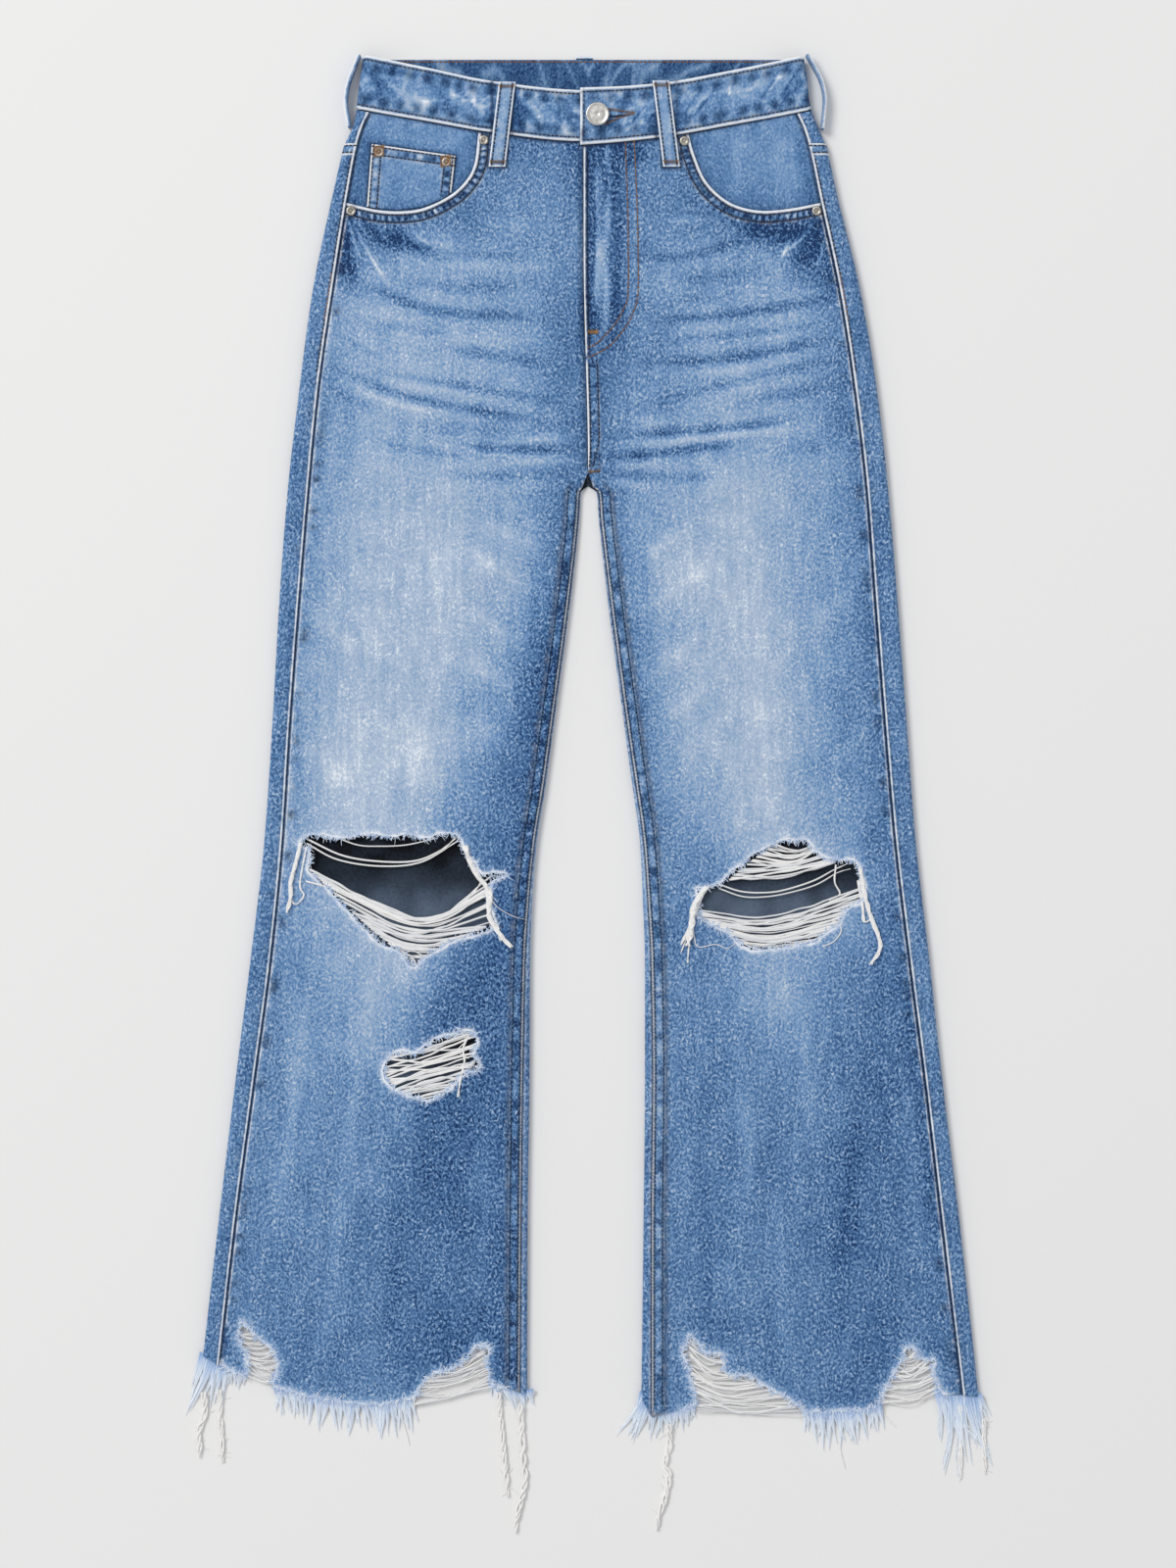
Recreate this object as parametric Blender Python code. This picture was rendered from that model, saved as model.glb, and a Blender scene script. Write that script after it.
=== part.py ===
"""Ripped straight-leg jeans, laid flat with the front up.

The frame is in metres with +Z up. The waist is towards +Y, the wearer's left is at +X, and the
garment rests on the plane z = 0. Along the garment, places are given by their drop, measured down
from the highest edge of the waist. Across it they are given by their reach, measured out from the
centre front on the wearer's left (side +1) or right (side -1).

Each leg is one flattened tube. Its front panel is the middle of the upper face. Its back panel is
the whole underside, and turns up round both side folds as far as the outseam and the inseam. The
panels are walls of one cloth's thickness, offset from the tube's outer face, and what is sewn on a
panel is made from the same face, moved out.
"""

import math
from typing import NamedTuple

import bpy
import numpy as np
from mathutils import Vector
from mathutils.geometry import delaunay_2d_cdt

RIGHT = -1
LEFT = 1
SIDE_NAMES = {RIGHT: "right", LEFT: "left"}

# Where the garment stands in its frame.
WAIST_Y = 0.5579
CENTRE_X = -0.0030

# Cloth and the gaps between pieces.
CLOTH = 0.0012
SEAM_GAP = 0.0003
LAYER_GAP = 0.0006
FACING_CLOTH = 0.0010
BAND_CLOTH = 0.0022
BAND_PROUD = 0.0010
FRINGE_CLOTH = 0.0010

# The hips' underside stands this far off the floor, on the back pockets and the loops.
HIP_LIFT = 0.0016
HIP_LIFT_ENDS = (0.285, 0.325)

# Soft edges: how far in from a side fold the tube is thicker than in its middle.
EDGE_REACH = 0.024

# The waistband's ends: the left lies on the right, so it rises a little and the right sinks.
LAP_RISE = 0.0012
LAP_RISE_WIDTH = 0.022
LAP_SINK = 0.0026
LAP_SINK_WIDTH = 0.026
WRAP_WIDTH = 0.008
BAND_WIDENS_FROM = 0.10

# Hardware and trims.
BUTTON_RADIUS = 0.0089
BUTTON_AT = (0.0071, 0.0455)
RIVET_RADIUS = 0.0037
LOOP_WIDTH = 0.0126
LOOP_CLOTH = 0.0013
SIDE_LOOP_CLOTH = 0.0018
SIDE_LOOP_HEIGHT = 0.0108
TASSEL_RADIUS = 0.0012
TRIM_LIFT = 0.0002
LOOP_UNDERLAP = 0.0011
# The centre back loop: drops of its top, of its bend over the edge and of its foot.
BACK_LOOP_DROPS = (0.0012, 0.0026, 0.0500)
BACK_LOOP_HEIGHTS = (0.0012, 0.0046)
BACK_LOOP_X = -0.0026
# Pockets, facings and hardware on the cloth.
POCKET_UNDERLAP = 0.008
POCKET_BEHIND_OUTSEAM = 0.002
COIN_POCKET_GAP = 0.0004
FLY_EDGE_BEYOND_STITCH = 0.003
FLY_FACING_FOOT = 0.2300
RIVET_BASE = 0.0005
BUTTON_SHANK_LIFT = 0.0006
BACK_POCKET_CLOTH = 0.0013


class OuterRow(NamedTuple):
    """Reach of the outer side fold and of the outseam, at one drop."""

    drop: float
    fold: float
    seam: float


class InnerRow(NamedTuple):
    """Reach of the inner side fold and of the inseam, at one drop."""

    drop: float
    fold: float
    seam: float


class HeightRow(NamedTuple):
    """Height of the upper face over the floor: mid leg, by the outer fold and by the inner fold."""

    drop: float
    middle: float
    outer: float
    inner: float


class EdgeRow(NamedTuple):
    """A point of an edge that is cut or folded: its reach and drop."""

    reach: float
    drop: float


class FoldRow(NamedTuple):
    """A soft fold in the front of a leg, from one place to another."""

    reach: float
    drop: float
    end_reach: float
    end_drop: float
    half_width: float
    height: float


OUTER_ROWS = {
    RIGHT: (
        OuterRow(0.0000, 0.1695, 0.1560),
        OuterRow(0.0400, 0.1745, 0.1630),
        OuterRow(0.0533, 0.1772, 0.1690),
        OuterRow(0.0670, 0.1832, 0.1733),
        OuterRow(0.1050, 0.1925, 0.1806),
        OuterRow(0.1790, 0.2079, 0.1925),
        OuterRow(0.2530, 0.2179, 0.2032),
        OuterRow(0.3270, 0.2264, 0.2105),
        OuterRow(0.4160, 0.2331, 0.2180),
        OuterRow(0.5050, 0.2381, 0.2246),
        OuterRow(0.5930, 0.2442, 0.2302),
        OuterRow(0.6820, 0.2546, 0.2392),
        OuterRow(0.7710, 0.2657, 0.2512),
        OuterRow(0.8820, 0.2790, 0.2660),
        OuterRow(1.0300, 0.2960, 0.2825),
    ),
    LEFT: (
        OuterRow(0.0000, 0.1622, 0.1490),
        OuterRow(0.0400, 0.1681, 0.1553),
        OuterRow(0.0558, 0.1740, 0.1620),
        OuterRow(0.0670, 0.1790, 0.1655),
        OuterRow(0.1050, 0.1878, 0.1737),
        OuterRow(0.1790, 0.2057, 0.1897),
        OuterRow(0.2530, 0.2180, 0.2012),
        OuterRow(0.3270, 0.2264, 0.2100),
        OuterRow(0.4160, 0.2338, 0.2169),
        OuterRow(0.5050, 0.2405, 0.2239),
        OuterRow(0.5930, 0.2472, 0.2316),
        OuterRow(0.6820, 0.2575, 0.2423),
        OuterRow(0.7710, 0.2671, 0.2538),
        OuterRow(0.8820, 0.2805, 0.2670),
        OuterRow(1.0300, 0.2966, 0.2846),
    ),
}

INNER_ROWS = {
    RIGHT: (
        InnerRow(0.3249, 0.0012, 0.0030),
        InnerRow(0.3290, 0.0054, 0.0064),
        InnerRow(0.3490, 0.0067, 0.0077),
        InnerRow(0.3715, 0.0089, 0.0099),
        InnerRow(0.4160, 0.0141, 0.0152),
        InnerRow(0.5050, 0.0259, 0.0272),
        InnerRow(0.5490, 0.0318, 0.0332),
        InnerRow(0.5930, 0.0385, 0.0402),
        InnerRow(0.6380, 0.0422, 0.0447),
        InnerRow(0.6820, 0.0437, 0.0474),
        InnerRow(0.7710, 0.0441, 0.0492),
        InnerRow(0.8820, 0.0455, 0.0505),
        InnerRow(1.0300, 0.0460, 0.0514),
    ),
    LEFT: (
        InnerRow(0.3249, 0.0012, 0.0030),
        InnerRow(0.3290, 0.0066, 0.0080),
        InnerRow(0.3490, 0.0081, 0.0096),
        InnerRow(0.3715, 0.0104, 0.0122),
        InnerRow(0.4160, 0.0155, 0.0176),
        InnerRow(0.5050, 0.0274, 0.0296),
        InnerRow(0.5490, 0.0333, 0.0360),
        InnerRow(0.5930, 0.0392, 0.0420),
        InnerRow(0.6380, 0.0414, 0.0452),
        InnerRow(0.6820, 0.0429, 0.0475),
        InnerRow(0.7710, 0.0429, 0.0488),
        InnerRow(0.8820, 0.0418, 0.0478),
        InnerRow(1.0300, 0.0400, 0.0478),
    ),
}

HEIGHT_ROWS = (
    HeightRow(0.000, 0.0103, 0.0104, 0.0103),
    HeightRow(0.045, 0.0098, 0.0102, 0.0098),
    HeightRow(0.100, 0.0080, 0.0096, 0.0082),
    HeightRow(0.200, 0.0066, 0.0090, 0.0068),
    HeightRow(0.300, 0.0060, 0.0085, 0.0056),
    HeightRow(0.329, 0.0056, 0.0083, 0.0050),
    HeightRow(0.420, 0.0052, 0.0080, 0.0068),
    HeightRow(0.600, 0.0052, 0.0078, 0.0074),
    HeightRow(0.800, 0.0050, 0.0075, 0.0072),
    HeightRow(1.030, 0.0048, 0.0066, 0.0062),
)

# The largest soft folds: drag from the crotch and the hip, slack over the knee, the flare's fall.
FOLD_ROWS = (
    FoldRow(0.035, 0.365, 0.120, 0.410, 0.016, 0.0011),
    FoldRow(0.190, 0.215, 0.090, 0.262, 0.015, 0.0010),
    FoldRow(0.195, 0.300, 0.075, 0.330, 0.015, 0.0009),
    FoldRow(0.060, 0.505, 0.140, 0.545, 0.018, 0.0009),
    FoldRow(0.090, 0.720, 0.130, 0.830, 0.020, 0.0010),
    FoldRow(0.200, 0.790, 0.215, 0.930, 0.020, 0.0010),
    FoldRow(0.120, 0.860, 0.100, 0.960, 0.018, 0.0009),
)

# The centre front seam leans a little to the wearer's right above the crotch; x, not reach.
CENTRE_SEAM_TOP = (0.067, -0.0034)
CROTCH_FRONT = 0.3145
CROTCH_BACK = 0.3249

# Upper and lower edges of the front waistband, from its end out to the side fold.
BAND_TOP_ROWS = {
    RIGHT: (EdgeRow(-0.0170, 0.0268), EdgeRow(0.0089, 0.0266), EdgeRow(0.0725, 0.0200),
            EdgeRow(0.1236, 0.0096), EdgeRow(0.1695, 0.0007)),
    LEFT: (EdgeRow(-0.0059, 0.0252), EdgeRow(0.0150, 0.0245), EdgeRow(0.0548, 0.0215),
           EdgeRow(0.1058, 0.0126), EdgeRow(0.1622, 0.0015)),
}
BAND_FOOT_ROWS = {
    RIGHT: (EdgeRow(-0.0170, 0.0651), EdgeRow(0.0059, 0.0651), EdgeRow(0.0725, 0.0585),
            EdgeRow(0.1236, 0.0496), EdgeRow(0.1761, 0.0400)),
    LEFT: (EdgeRow(-0.0059, 0.0681), EdgeRow(0.0150, 0.0665), EdgeRow(0.0548, 0.0622),
           EdgeRow(0.1058, 0.0533), EdgeRow(0.1691, 0.0407)),
}
BAND_LEFT_END = -0.0059
BAND_RIGHT_END = 0.0160
BAND_BACK_TOP = 0.0030
BAND_BACK_FOOT = 0.0390
YOKE_CLEARANCE = 0.0014

# The curved pocket openings, from under the waistband round to the outseam.
POCKET_CURVE_ROWS = {
    RIGHT: (EdgeRow(0.0825, 0.0600), EdgeRow(0.0860, 0.0840), EdgeRow(0.0952, 0.0986),
            EdgeRow(0.1085, 0.1086), EdgeRow(0.1257, 0.1159), EdgeRow(0.1430, 0.1179),
            EdgeRow(0.1601, 0.1166)),
    LEFT: (EdgeRow(0.0757, 0.0600), EdgeRow(0.0797, 0.0745), EdgeRow(0.0876, 0.0932),
           EdgeRow(0.0983, 0.1053), EdgeRow(0.1115, 0.1134), EdgeRow(0.1300, 0.1174),
           EdgeRow(0.1513, 0.1160)),
}
POCKET_AT_OUTSEAM = 0.1117

COIN_POCKET_ROWS = (
    EdgeRow(0.1628, 0.0673), EdgeRow(0.0999, 0.0762), EdgeRow(0.1030, 0.1000),
    EdgeRow(0.1095, 0.1050), EdgeRow(0.1260, 0.1110), EdgeRow(0.1430, 0.1130),
    EdgeRow(0.1605, 0.1118), EdgeRow(0.1665, 0.1108),
)

# The outer row of the J stitching, which the fly facing follows.
FLY_ROWS = (
    EdgeRow(0.0348, 0.0659), EdgeRow(0.0372, 0.1200), EdgeRow(0.0377, 0.1776),
    EdgeRow(0.0303, 0.2005), EdgeRow(0.0178, 0.2176), EdgeRow(-0.0007, 0.2279),
)

# Torn openings, listed round their edge.
KNEE_RIP_ROWS = {
    RIGHT: (
        EdgeRow(0.2110, 0.5880), EdgeRow(0.1480, 0.5885), EdgeRow(0.0960, 0.5905),
        EdgeRow(0.0840, 0.6085), EdgeRow(0.0640, 0.6172), EdgeRow(0.0690, 0.6560),
        EdgeRow(0.1006, 0.6675), EdgeRow(0.1317, 0.6860), EdgeRow(0.1554, 0.6719),
        EdgeRow(0.1894, 0.6350), EdgeRow(0.2110, 0.6150),
    ),
    LEFT: (
        EdgeRow(0.0844, 0.6275), EdgeRow(0.1132, 0.6142), EdgeRow(0.1399, 0.5972),
        EdgeRow(0.1635, 0.5913), EdgeRow(0.2020, 0.6095), EdgeRow(0.2072, 0.6394),
        EdgeRow(0.1872, 0.6549), EdgeRow(0.1524, 0.6734), EdgeRow(0.1236, 0.6749),
        EdgeRow(0.0844, 0.6497),
    ),
}
SHIN_RIP_ROWS = (
    EdgeRow(0.1510, 0.7681), EdgeRow(0.1465, 0.7518), EdgeRow(0.1206, 0.7452),
    EdgeRow(0.0836, 0.7356), EdgeRow(0.0799, 0.7585), EdgeRow(0.0992, 0.7718),
    EdgeRow(0.1206, 0.7859), EdgeRow(0.1465, 0.7770),
)

# The ragged raw hem of each front, from the outseam to the inseam.
FRONT_HEM_ROWS = {
    RIGHT: (
        EdgeRow(0.2575, 0.9946), EdgeRow(0.2575, 0.9761), EdgeRow(0.2649, 0.9650),
        EdgeRow(0.2627, 0.9539), EdgeRow(0.2553, 0.9598), EdgeRow(0.2368, 0.9746),
        EdgeRow(0.2353, 0.9857), EdgeRow(0.2368, 1.0034), EdgeRow(0.1931, 1.0145),
        EdgeRow(0.1635, 1.0175), EdgeRow(0.1302, 1.0131), EdgeRow(0.1325, 1.0071),
        EdgeRow(0.1228, 0.9968), EdgeRow(0.0940, 0.9872), EdgeRow(0.0770, 0.9731),
        EdgeRow(0.0762, 0.9872), EdgeRow(0.0733, 1.0020),
    ),
    LEFT: (
        EdgeRow(0.2635, 1.0085), EdgeRow(0.2605, 0.9842), EdgeRow(0.2472, 0.9805),
        EdgeRow(0.2427, 0.9738), EdgeRow(0.2353, 0.9820), EdgeRow(0.2235, 1.0116),
        EdgeRow(0.2079, 1.0190), EdgeRow(0.1791, 1.0219), EdgeRow(0.1621, 1.0205),
        EdgeRow(0.1406, 1.0071), EdgeRow(0.1036, 0.9938), EdgeRow(0.1021, 0.9783),
        EdgeRow(0.0866, 0.9746), EdgeRow(0.0777, 0.9650), EdgeRow(0.0710, 0.9775),
        EdgeRow(0.0814, 1.0116), EdgeRow(0.0784, 1.0190),
    ),
}


class HemEnds(NamedTuple):
    """Drops at which a leg's hem meets its folds and seams, and the back hem's highest run."""

    outer_fold: float
    outseam: float
    inner_fold: float
    inseam: float
    back_arch: float


HEM_ENDS = {
    RIGHT: HemEnds(0.9798, 0.9872, 1.0079, 1.0079, 0.9490),
    LEFT: HemEnds(1.0108, 1.0094, 1.0116, 1.0264, 0.9600),
}

# Upper and lower edges of each front hem's fringe, from the outer corner to the inner one.
FRINGE_ROOT_ROWS = {
    RIGHT: (
        EdgeRow(0.2908, 0.9802), EdgeRow(0.2775, 0.9878), EdgeRow(0.2575, 0.9951),
        EdgeRow(0.2368, 1.0039), EdgeRow(0.1931, 1.0150), EdgeRow(0.1635, 1.0180),
        EdgeRow(0.1302, 1.0136), EdgeRow(0.0733, 1.0026), EdgeRow(0.0514, 1.0084),
        EdgeRow(0.0420, 1.0084),
    ),
    LEFT: (
        EdgeRow(0.2955, 1.0112), EdgeRow(0.2831, 1.0100), EdgeRow(0.2635, 1.0090),
        EdgeRow(0.2235, 1.0121), EdgeRow(0.2079, 1.0195), EdgeRow(0.1791, 1.0224),
        EdgeRow(0.1621, 1.0210), EdgeRow(0.1406, 1.0140), EdgeRow(0.0826, 1.0170),
        EdgeRow(0.0784, 1.0195), EdgeRow(0.0480, 1.0270), EdgeRow(0.0390, 1.0122),
    ),
}
FRINGE_TIP_ROWS = {
    RIGHT: (
        EdgeRow(0.2953, 0.9931), EdgeRow(0.2923, 1.0168), EdgeRow(0.2723, 1.0116),
        EdgeRow(0.2575, 1.0020), EdgeRow(0.2368, 1.0085), EdgeRow(0.2294, 1.0227),
        EdgeRow(0.1998, 1.0338), EdgeRow(0.1628, 1.0404), EdgeRow(0.1302, 1.0390),
        EdgeRow(0.1273, 1.0197), EdgeRow(0.0740, 1.0064), EdgeRow(0.0710, 1.0168),
        EdgeRow(0.0392, 1.0182),
    ),
    LEFT: (
        EdgeRow(0.3012, 1.0153), EdgeRow(0.3012, 1.0301), EdgeRow(0.2849, 1.0301),
        EdgeRow(0.2642, 1.0227), EdgeRow(0.2635, 1.0150), EdgeRow(0.2235, 1.0168),
        EdgeRow(0.2190, 1.0330), EdgeRow(0.1990, 1.0450), EdgeRow(0.1791, 1.0500),
        EdgeRow(0.1640, 1.0480), EdgeRow(0.1606, 1.0300), EdgeRow(0.1310, 1.0305),
        EdgeRow(0.0826, 1.0225), EdgeRow(0.0700, 1.0400), EdgeRow(0.0560, 1.0380),
        EdgeRow(0.0222, 1.0440), EdgeRow(0.0300, 1.0200),
    ),
}
# The front fringe leaves the raw edge at this height, and reaches the floor this far down.
FRINGE_ROOT_HEIGHT = 0.0028
FRINGE_FALL = 0.020
BACK_FRINGE_REACH = 0.016
HEM_ARCH_REACH = 0.034

# Long loose threads that hang from the corners of the hems.
TASSEL_ROWS = {
    RIGHT: (
        (EdgeRow(0.2915, 1.0185), EdgeRow(0.2930, 1.0375), EdgeRow(0.2915, 1.0575)),
        (EdgeRow(0.2775, 1.0150), EdgeRow(0.2768, 1.0375), EdgeRow(0.2768, 1.0626)),
        (EdgeRow(0.0660, 1.0195), EdgeRow(0.0622, 1.0523), EdgeRow(0.0592, 1.0900)),
        (EdgeRow(0.0510, 1.0205), EdgeRow(0.0496, 1.0597), EdgeRow(0.0511, 1.0819),
         EdgeRow(0.0548, 1.1160)),
    ),
    LEFT: (
        (EdgeRow(0.0640, 1.0415), EdgeRow(0.0622, 1.0671), EdgeRow(0.0570, 1.0893),
         EdgeRow(0.0518, 1.1137)),
        (EdgeRow(0.2812, 1.0320), EdgeRow(0.2812, 1.0752)),
        (EdgeRow(0.2960, 1.0320), EdgeRow(0.2997, 1.0715)),
    ),
}

BACK_POCKET_ROWS = (
    EdgeRow(0.0320, 0.1330), EdgeRow(0.1640, 0.1240), EdgeRow(0.1580, 0.2420),
    EdgeRow(0.0990, 0.2740), EdgeRow(0.0390, 0.2500),
)

FRONT_LOOP_ENDS = {
    RIGHT: (EdgeRow(0.0607, 0.0210), EdgeRow(0.0685, 0.0844)),
    LEFT: (EdgeRow(0.0548, 0.0200), EdgeRow(0.0629, 0.0844)),
}


class LoopRow(NamedTuple):
    """How far a front belt loop stands off the cloth under it, at one part of its length."""

    part: float
    off: float


LOOP_ROWS = (
    LoopRow(0.00, 0.0015), LoopRow(0.20, 0.0019), LoopRow(0.45, 0.0021), LoopRow(0.65, 0.0019),
    LoopRow(0.80, 0.0014), LoopRow(0.92, 0.0006), LoopRow(1.00, 0.0004),
)

# The inner face of each side belt loop, which stands off the waistband for a belt.
SIDE_LOOP_ROWS = {
    RIGHT: (EdgeRow(0.1712, 0.0005), EdgeRow(0.1752, 0.0110), EdgeRow(0.1795, 0.0230),
            EdgeRow(0.1811, 0.0350), EdgeRow(0.1800, 0.0440), EdgeRow(0.1784, 0.0535)),
    LEFT: (EdgeRow(0.1640, 0.0005), EdgeRow(0.1690, 0.0090), EdgeRow(0.1745, 0.0200),
           EdgeRow(0.1770, 0.0317), EdgeRow(0.1766, 0.0411), EdgeRow(0.1752, 0.0555)),
}

RIVET_SPOTS = (
    ("rivet_pocket_right_inner", RIGHT, 0.0784, 0.0644, 0.0),
    ("rivet_pocket_right_outer", RIGHT, 0.1785, 0.1177, 0.0),
    ("rivet_pocket_left_inner", LEFT, 0.0725, 0.0651, 0.0),
    ("rivet_pocket_left_outer", LEFT, 0.1722, 0.1177, 0.0),
    ("rivet_coin_outer", RIGHT, 0.1573, 0.0733, -0.0005),
    ("rivet_coin_inner", RIGHT, 0.1066, 0.0807, -0.0005),
)

# Drops at which the panels that meet along a side seam both have a point.
STATIONS = (
    POCKET_AT_OUTSEAM, 0.150, 0.190, 0.230, 0.270, 0.300, 0.3244, 0.329, 0.349, 0.375, 0.416,
    0.460, 0.505, 0.549, 0.593, 0.638, 0.682, 0.727, 0.771, 0.825, 0.882, 0.930,
)
# Points round a back panel: round the outer fold, and then across the flat underside.
BEND_COLUMNS = 8
FLAT_COLUMNS = 6
# Above the crotch the last of them stand this close to the centre back seam.
CENTRE_BACK_STRIP = 0.004
# Places round a side fold, as parts of half the tube's height.
BENDS = (1.0, 0.45, 0.12)
YOKE_SEAM_SIDE = 0.0668
YOKE_SEAM_CENTRE = 0.1050

DENIM = (0.20, 0.33, 0.52)
DENIM_LIGHT = (0.30, 0.42, 0.58)
THREAD = (0.72, 0.75, 0.80)
SILVER = (0.55, 0.53, 0.50)


def line(rows, column, against="drop"):
    """A smooth function through one column of a table, with no overshoot between its rows."""
    at = np.array([getattr(row, against) for row in rows])
    value = np.array([getattr(row, column) for row in rows])
    step = np.diff(at)
    grade = np.diff(value) / step
    slope = np.zeros(len(at))
    slope[0], slope[-1] = grade[0], grade[-1]
    rising = grade[:-1] * grade[1:] > 0
    pair = grade[:-1] + grade[1:]
    slope[1:-1][rising] = (2 * grade[:-1] * grade[1:])[rising] / pair[rising]

    def value_at(place):
        place = np.clip(np.asarray(place, float), at[0], at[-1])
        k = np.clip(np.searchsorted(at, place) - 1, 0, len(step) - 1)
        t = (place - at[k]) / step[k]
        cubic = (2 * t**3 - 3 * t**2 + 1) * value[k] + (3 * t**2 - 2 * t**3) * value[k + 1]
        return cubic + step[k] * ((t**3 - 2 * t**2 + t) * slope[k] + (t**3 - t**2) * slope[k + 1])

    return value_at


def smoothstep(low, high, value):
    t = np.clip((np.asarray(value, float) - low) / (high - low), 0, 1)
    return t * t * (3 - 2 * t)


def centre_seam(drop):
    """x of the centre front seam, which leans away from x = 0 above the crotch."""
    top_drop, top_x = CENTRE_SEAM_TOP
    return top_x * (1 - smoothstep(top_drop + 0.08, CROTCH_FRONT, drop))


class Leg:
    """One half of the tube: its folds, seams and faces, by reach and drop."""

    def __init__(self, side):
        self.side = side
        self.fold_out = line(OUTER_ROWS[side], "fold")
        self.outseam = line(OUTER_ROWS[side], "seam")
        self.fold_in = line(INNER_ROWS[side], "fold")
        self.inseam = line(INNER_ROWS[side], "seam")
        self.heights = [line(HEIGHT_ROWS, column) for column in ("middle", "outer", "inner")]

    def height(self, reach, drop):
        """Height of the upper face, without the rounding of the side folds."""
        middle, outer, inner = [height(drop) for height in self.heights]
        to_outer = (self.fold_out(drop) - reach) / EDGE_REACH
        to_inner = (reach - self.fold_in(drop)) / EDGE_REACH
        z = middle + (outer - middle) * np.exp(-to_outer**2) + (inner - middle) * np.exp(-to_inner**2)
        for fold in FOLD_ROWS:
            run = (fold.end_reach - fold.reach, fold.end_drop - fold.drop)
            length = math.hypot(*run)
            along = ((reach - fold.reach) * run[0] + (drop - fold.drop) * run[1]) / length**2
            off = ((reach - fold.reach) * run[1] - (drop - fold.drop) * run[0]) / length
            swell = smoothstep(-0.2, 0.3, along) * (1 - smoothstep(0.7, 1.2, along))
            z = z + fold.height * swell * np.exp(-((off / fold.half_width) ** 2))
        return z

    def rounding(self, reach, drop):
        """From 0 at a side fold to 1 where the face is flat, and half the height there."""
        half = 0.5 * self.height(reach, drop)
        outer = np.clip((self.fold_out(drop) - reach) / half, 0, 1)
        inner = np.clip((reach - self.fold_in(drop)) / half, 0, 1)
        inner = np.where(drop < CROTCH_BACK, 1.0, inner)
        return np.sqrt(1 - (1 - outer) ** 2) * np.sqrt(1 - (1 - inner) ** 2), half

    def place(self, reach, drop, z):
        return np.stack([CENTRE_X + self.side * reach, WAIST_Y - drop, z], axis=-1)

    def upper(self, reach, drop):
        """Points of the upper face."""
        part, half = self.rounding(reach, drop)
        return self.place(reach, drop, half + half * part)

    def ring(self, along, drop):
        """Points of the underside and, past each fold, of the upper face beyond it.

        along is the reach on the underside, and carries on past a fold by as much as the reach
        turns back from it.
        """
        fold_out, fold_in = self.fold_out(drop), self.fold_in(drop)
        reach = np.where(along > fold_out, 2 * fold_out - along, along)
        turned_in = (along < fold_in) & (drop > CROTCH_BACK)
        reach = np.where(turned_in, 2 * fold_in - along, reach)
        part, half = self.rounding(reach, drop)
        above = (along > fold_out) | turned_in
        floor = HIP_LIFT * (1 - smoothstep(*HIP_LIFT_ENDS, drop))
        low = half - (half - floor) * part
        return self.place(reach, drop, np.where(above, half + half * part, low))

    def sunk(self, face, across, drop, depth):
        """Points of a face moved in by a depth, at right angles to it."""
        across = np.asarray(across, float)
        drop = np.asarray(drop, float)
        step = 0.0004
        run = face(across + step, drop) - face(across - step, drop)
        fall = face(across, drop + step) - face(across, drop - step)
        out = np.cross(run, fall) * (-self.side if face == self.upper else self.side)
        out = out / np.linalg.norm(out, axis=-1, keepdims=True)
        return face(across, drop) - out * np.asarray(depth, float)[..., None]


def material(name, colour, roughness=0.9, metallic=0.0):
    made = bpy.data.materials.get(name) or bpy.data.materials.new(name)
    made.use_nodes = True
    shader = made.node_tree.nodes["Principled BSDF"]
    shader.inputs["Base Color"].default_value = (*colour, 1.0)
    shader.inputs["Roughness"].default_value = roughness
    shader.inputs["Metallic"].default_value = metallic
    return made


def add_solid(name, points, faces, finish):
    """A mesh object of a closed solid, with its faces turned outwards."""
    points = np.asarray(points, float)
    corners = [[face[0], face[k], face[k + 1]] for face in faces for k in range(1, len(face) - 1)]
    volume = np.linalg.det(points[np.array(corners)]).sum()
    if volume < 0:
        faces = [face[::-1] for face in faces]
    mesh = bpy.data.meshes.new(name)
    mesh.from_pydata([tuple(point) for point in points], [], [list(map(int, face)) for face in faces])
    mesh.materials.append(finish)
    solid = bpy.data.objects.new(name, mesh)
    bpy.context.scene.collection.objects.link(solid)
    return solid


def wall_from_grid(name, outer, inner, finish):
    """A wall between two grids of points of the same size."""
    rows, columns = outer.shape[:2]
    number = np.arange(rows * columns).reshape(rows, columns)
    under = number + rows * columns
    faces = []
    for j in range(rows - 1):
        for k in range(columns - 1):
            faces.append((number[j, k], number[j, k + 1], number[j + 1, k + 1], number[j + 1, k]))
            faces.append((under[j, k], under[j + 1, k], under[j + 1, k + 1], under[j, k + 1]))
    for j in range(rows - 1):
        faces.append((number[j, 0], number[j + 1, 0], under[j + 1, 0], under[j, 0]))
        faces.append((number[j + 1, -1], number[j, -1], under[j, -1], under[j + 1, -1]))
    for k in range(columns - 1):
        faces.append((number[0, k + 1], number[0, k], under[0, k], under[0, k + 1]))
        faces.append((number[-1, k], number[-1, k + 1], under[-1, k + 1], under[-1, k]))
    points = np.concatenate([outer.reshape(-1, 3), inner.reshape(-1, 3)])
    return add_solid(name, points, faces, finish)


def inside(loop, points):
    """Which points lie inside a closed loop."""
    x, y = points[:, 0, None], points[:, 1, None]
    ends = np.roll(loop, -1, axis=0)
    over = (loop[:, 1] > y) != (ends[:, 1] > y)
    rise = np.where(ends[:, 1] == loop[:, 1], 1.0, ends[:, 1] - loop[:, 1])
    cross = x < (ends[:, 0] - loop[:, 0]) * (y - loop[:, 1]) / rise + loop[:, 0]
    return (over & cross).sum(axis=1) % 2 == 1


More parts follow.
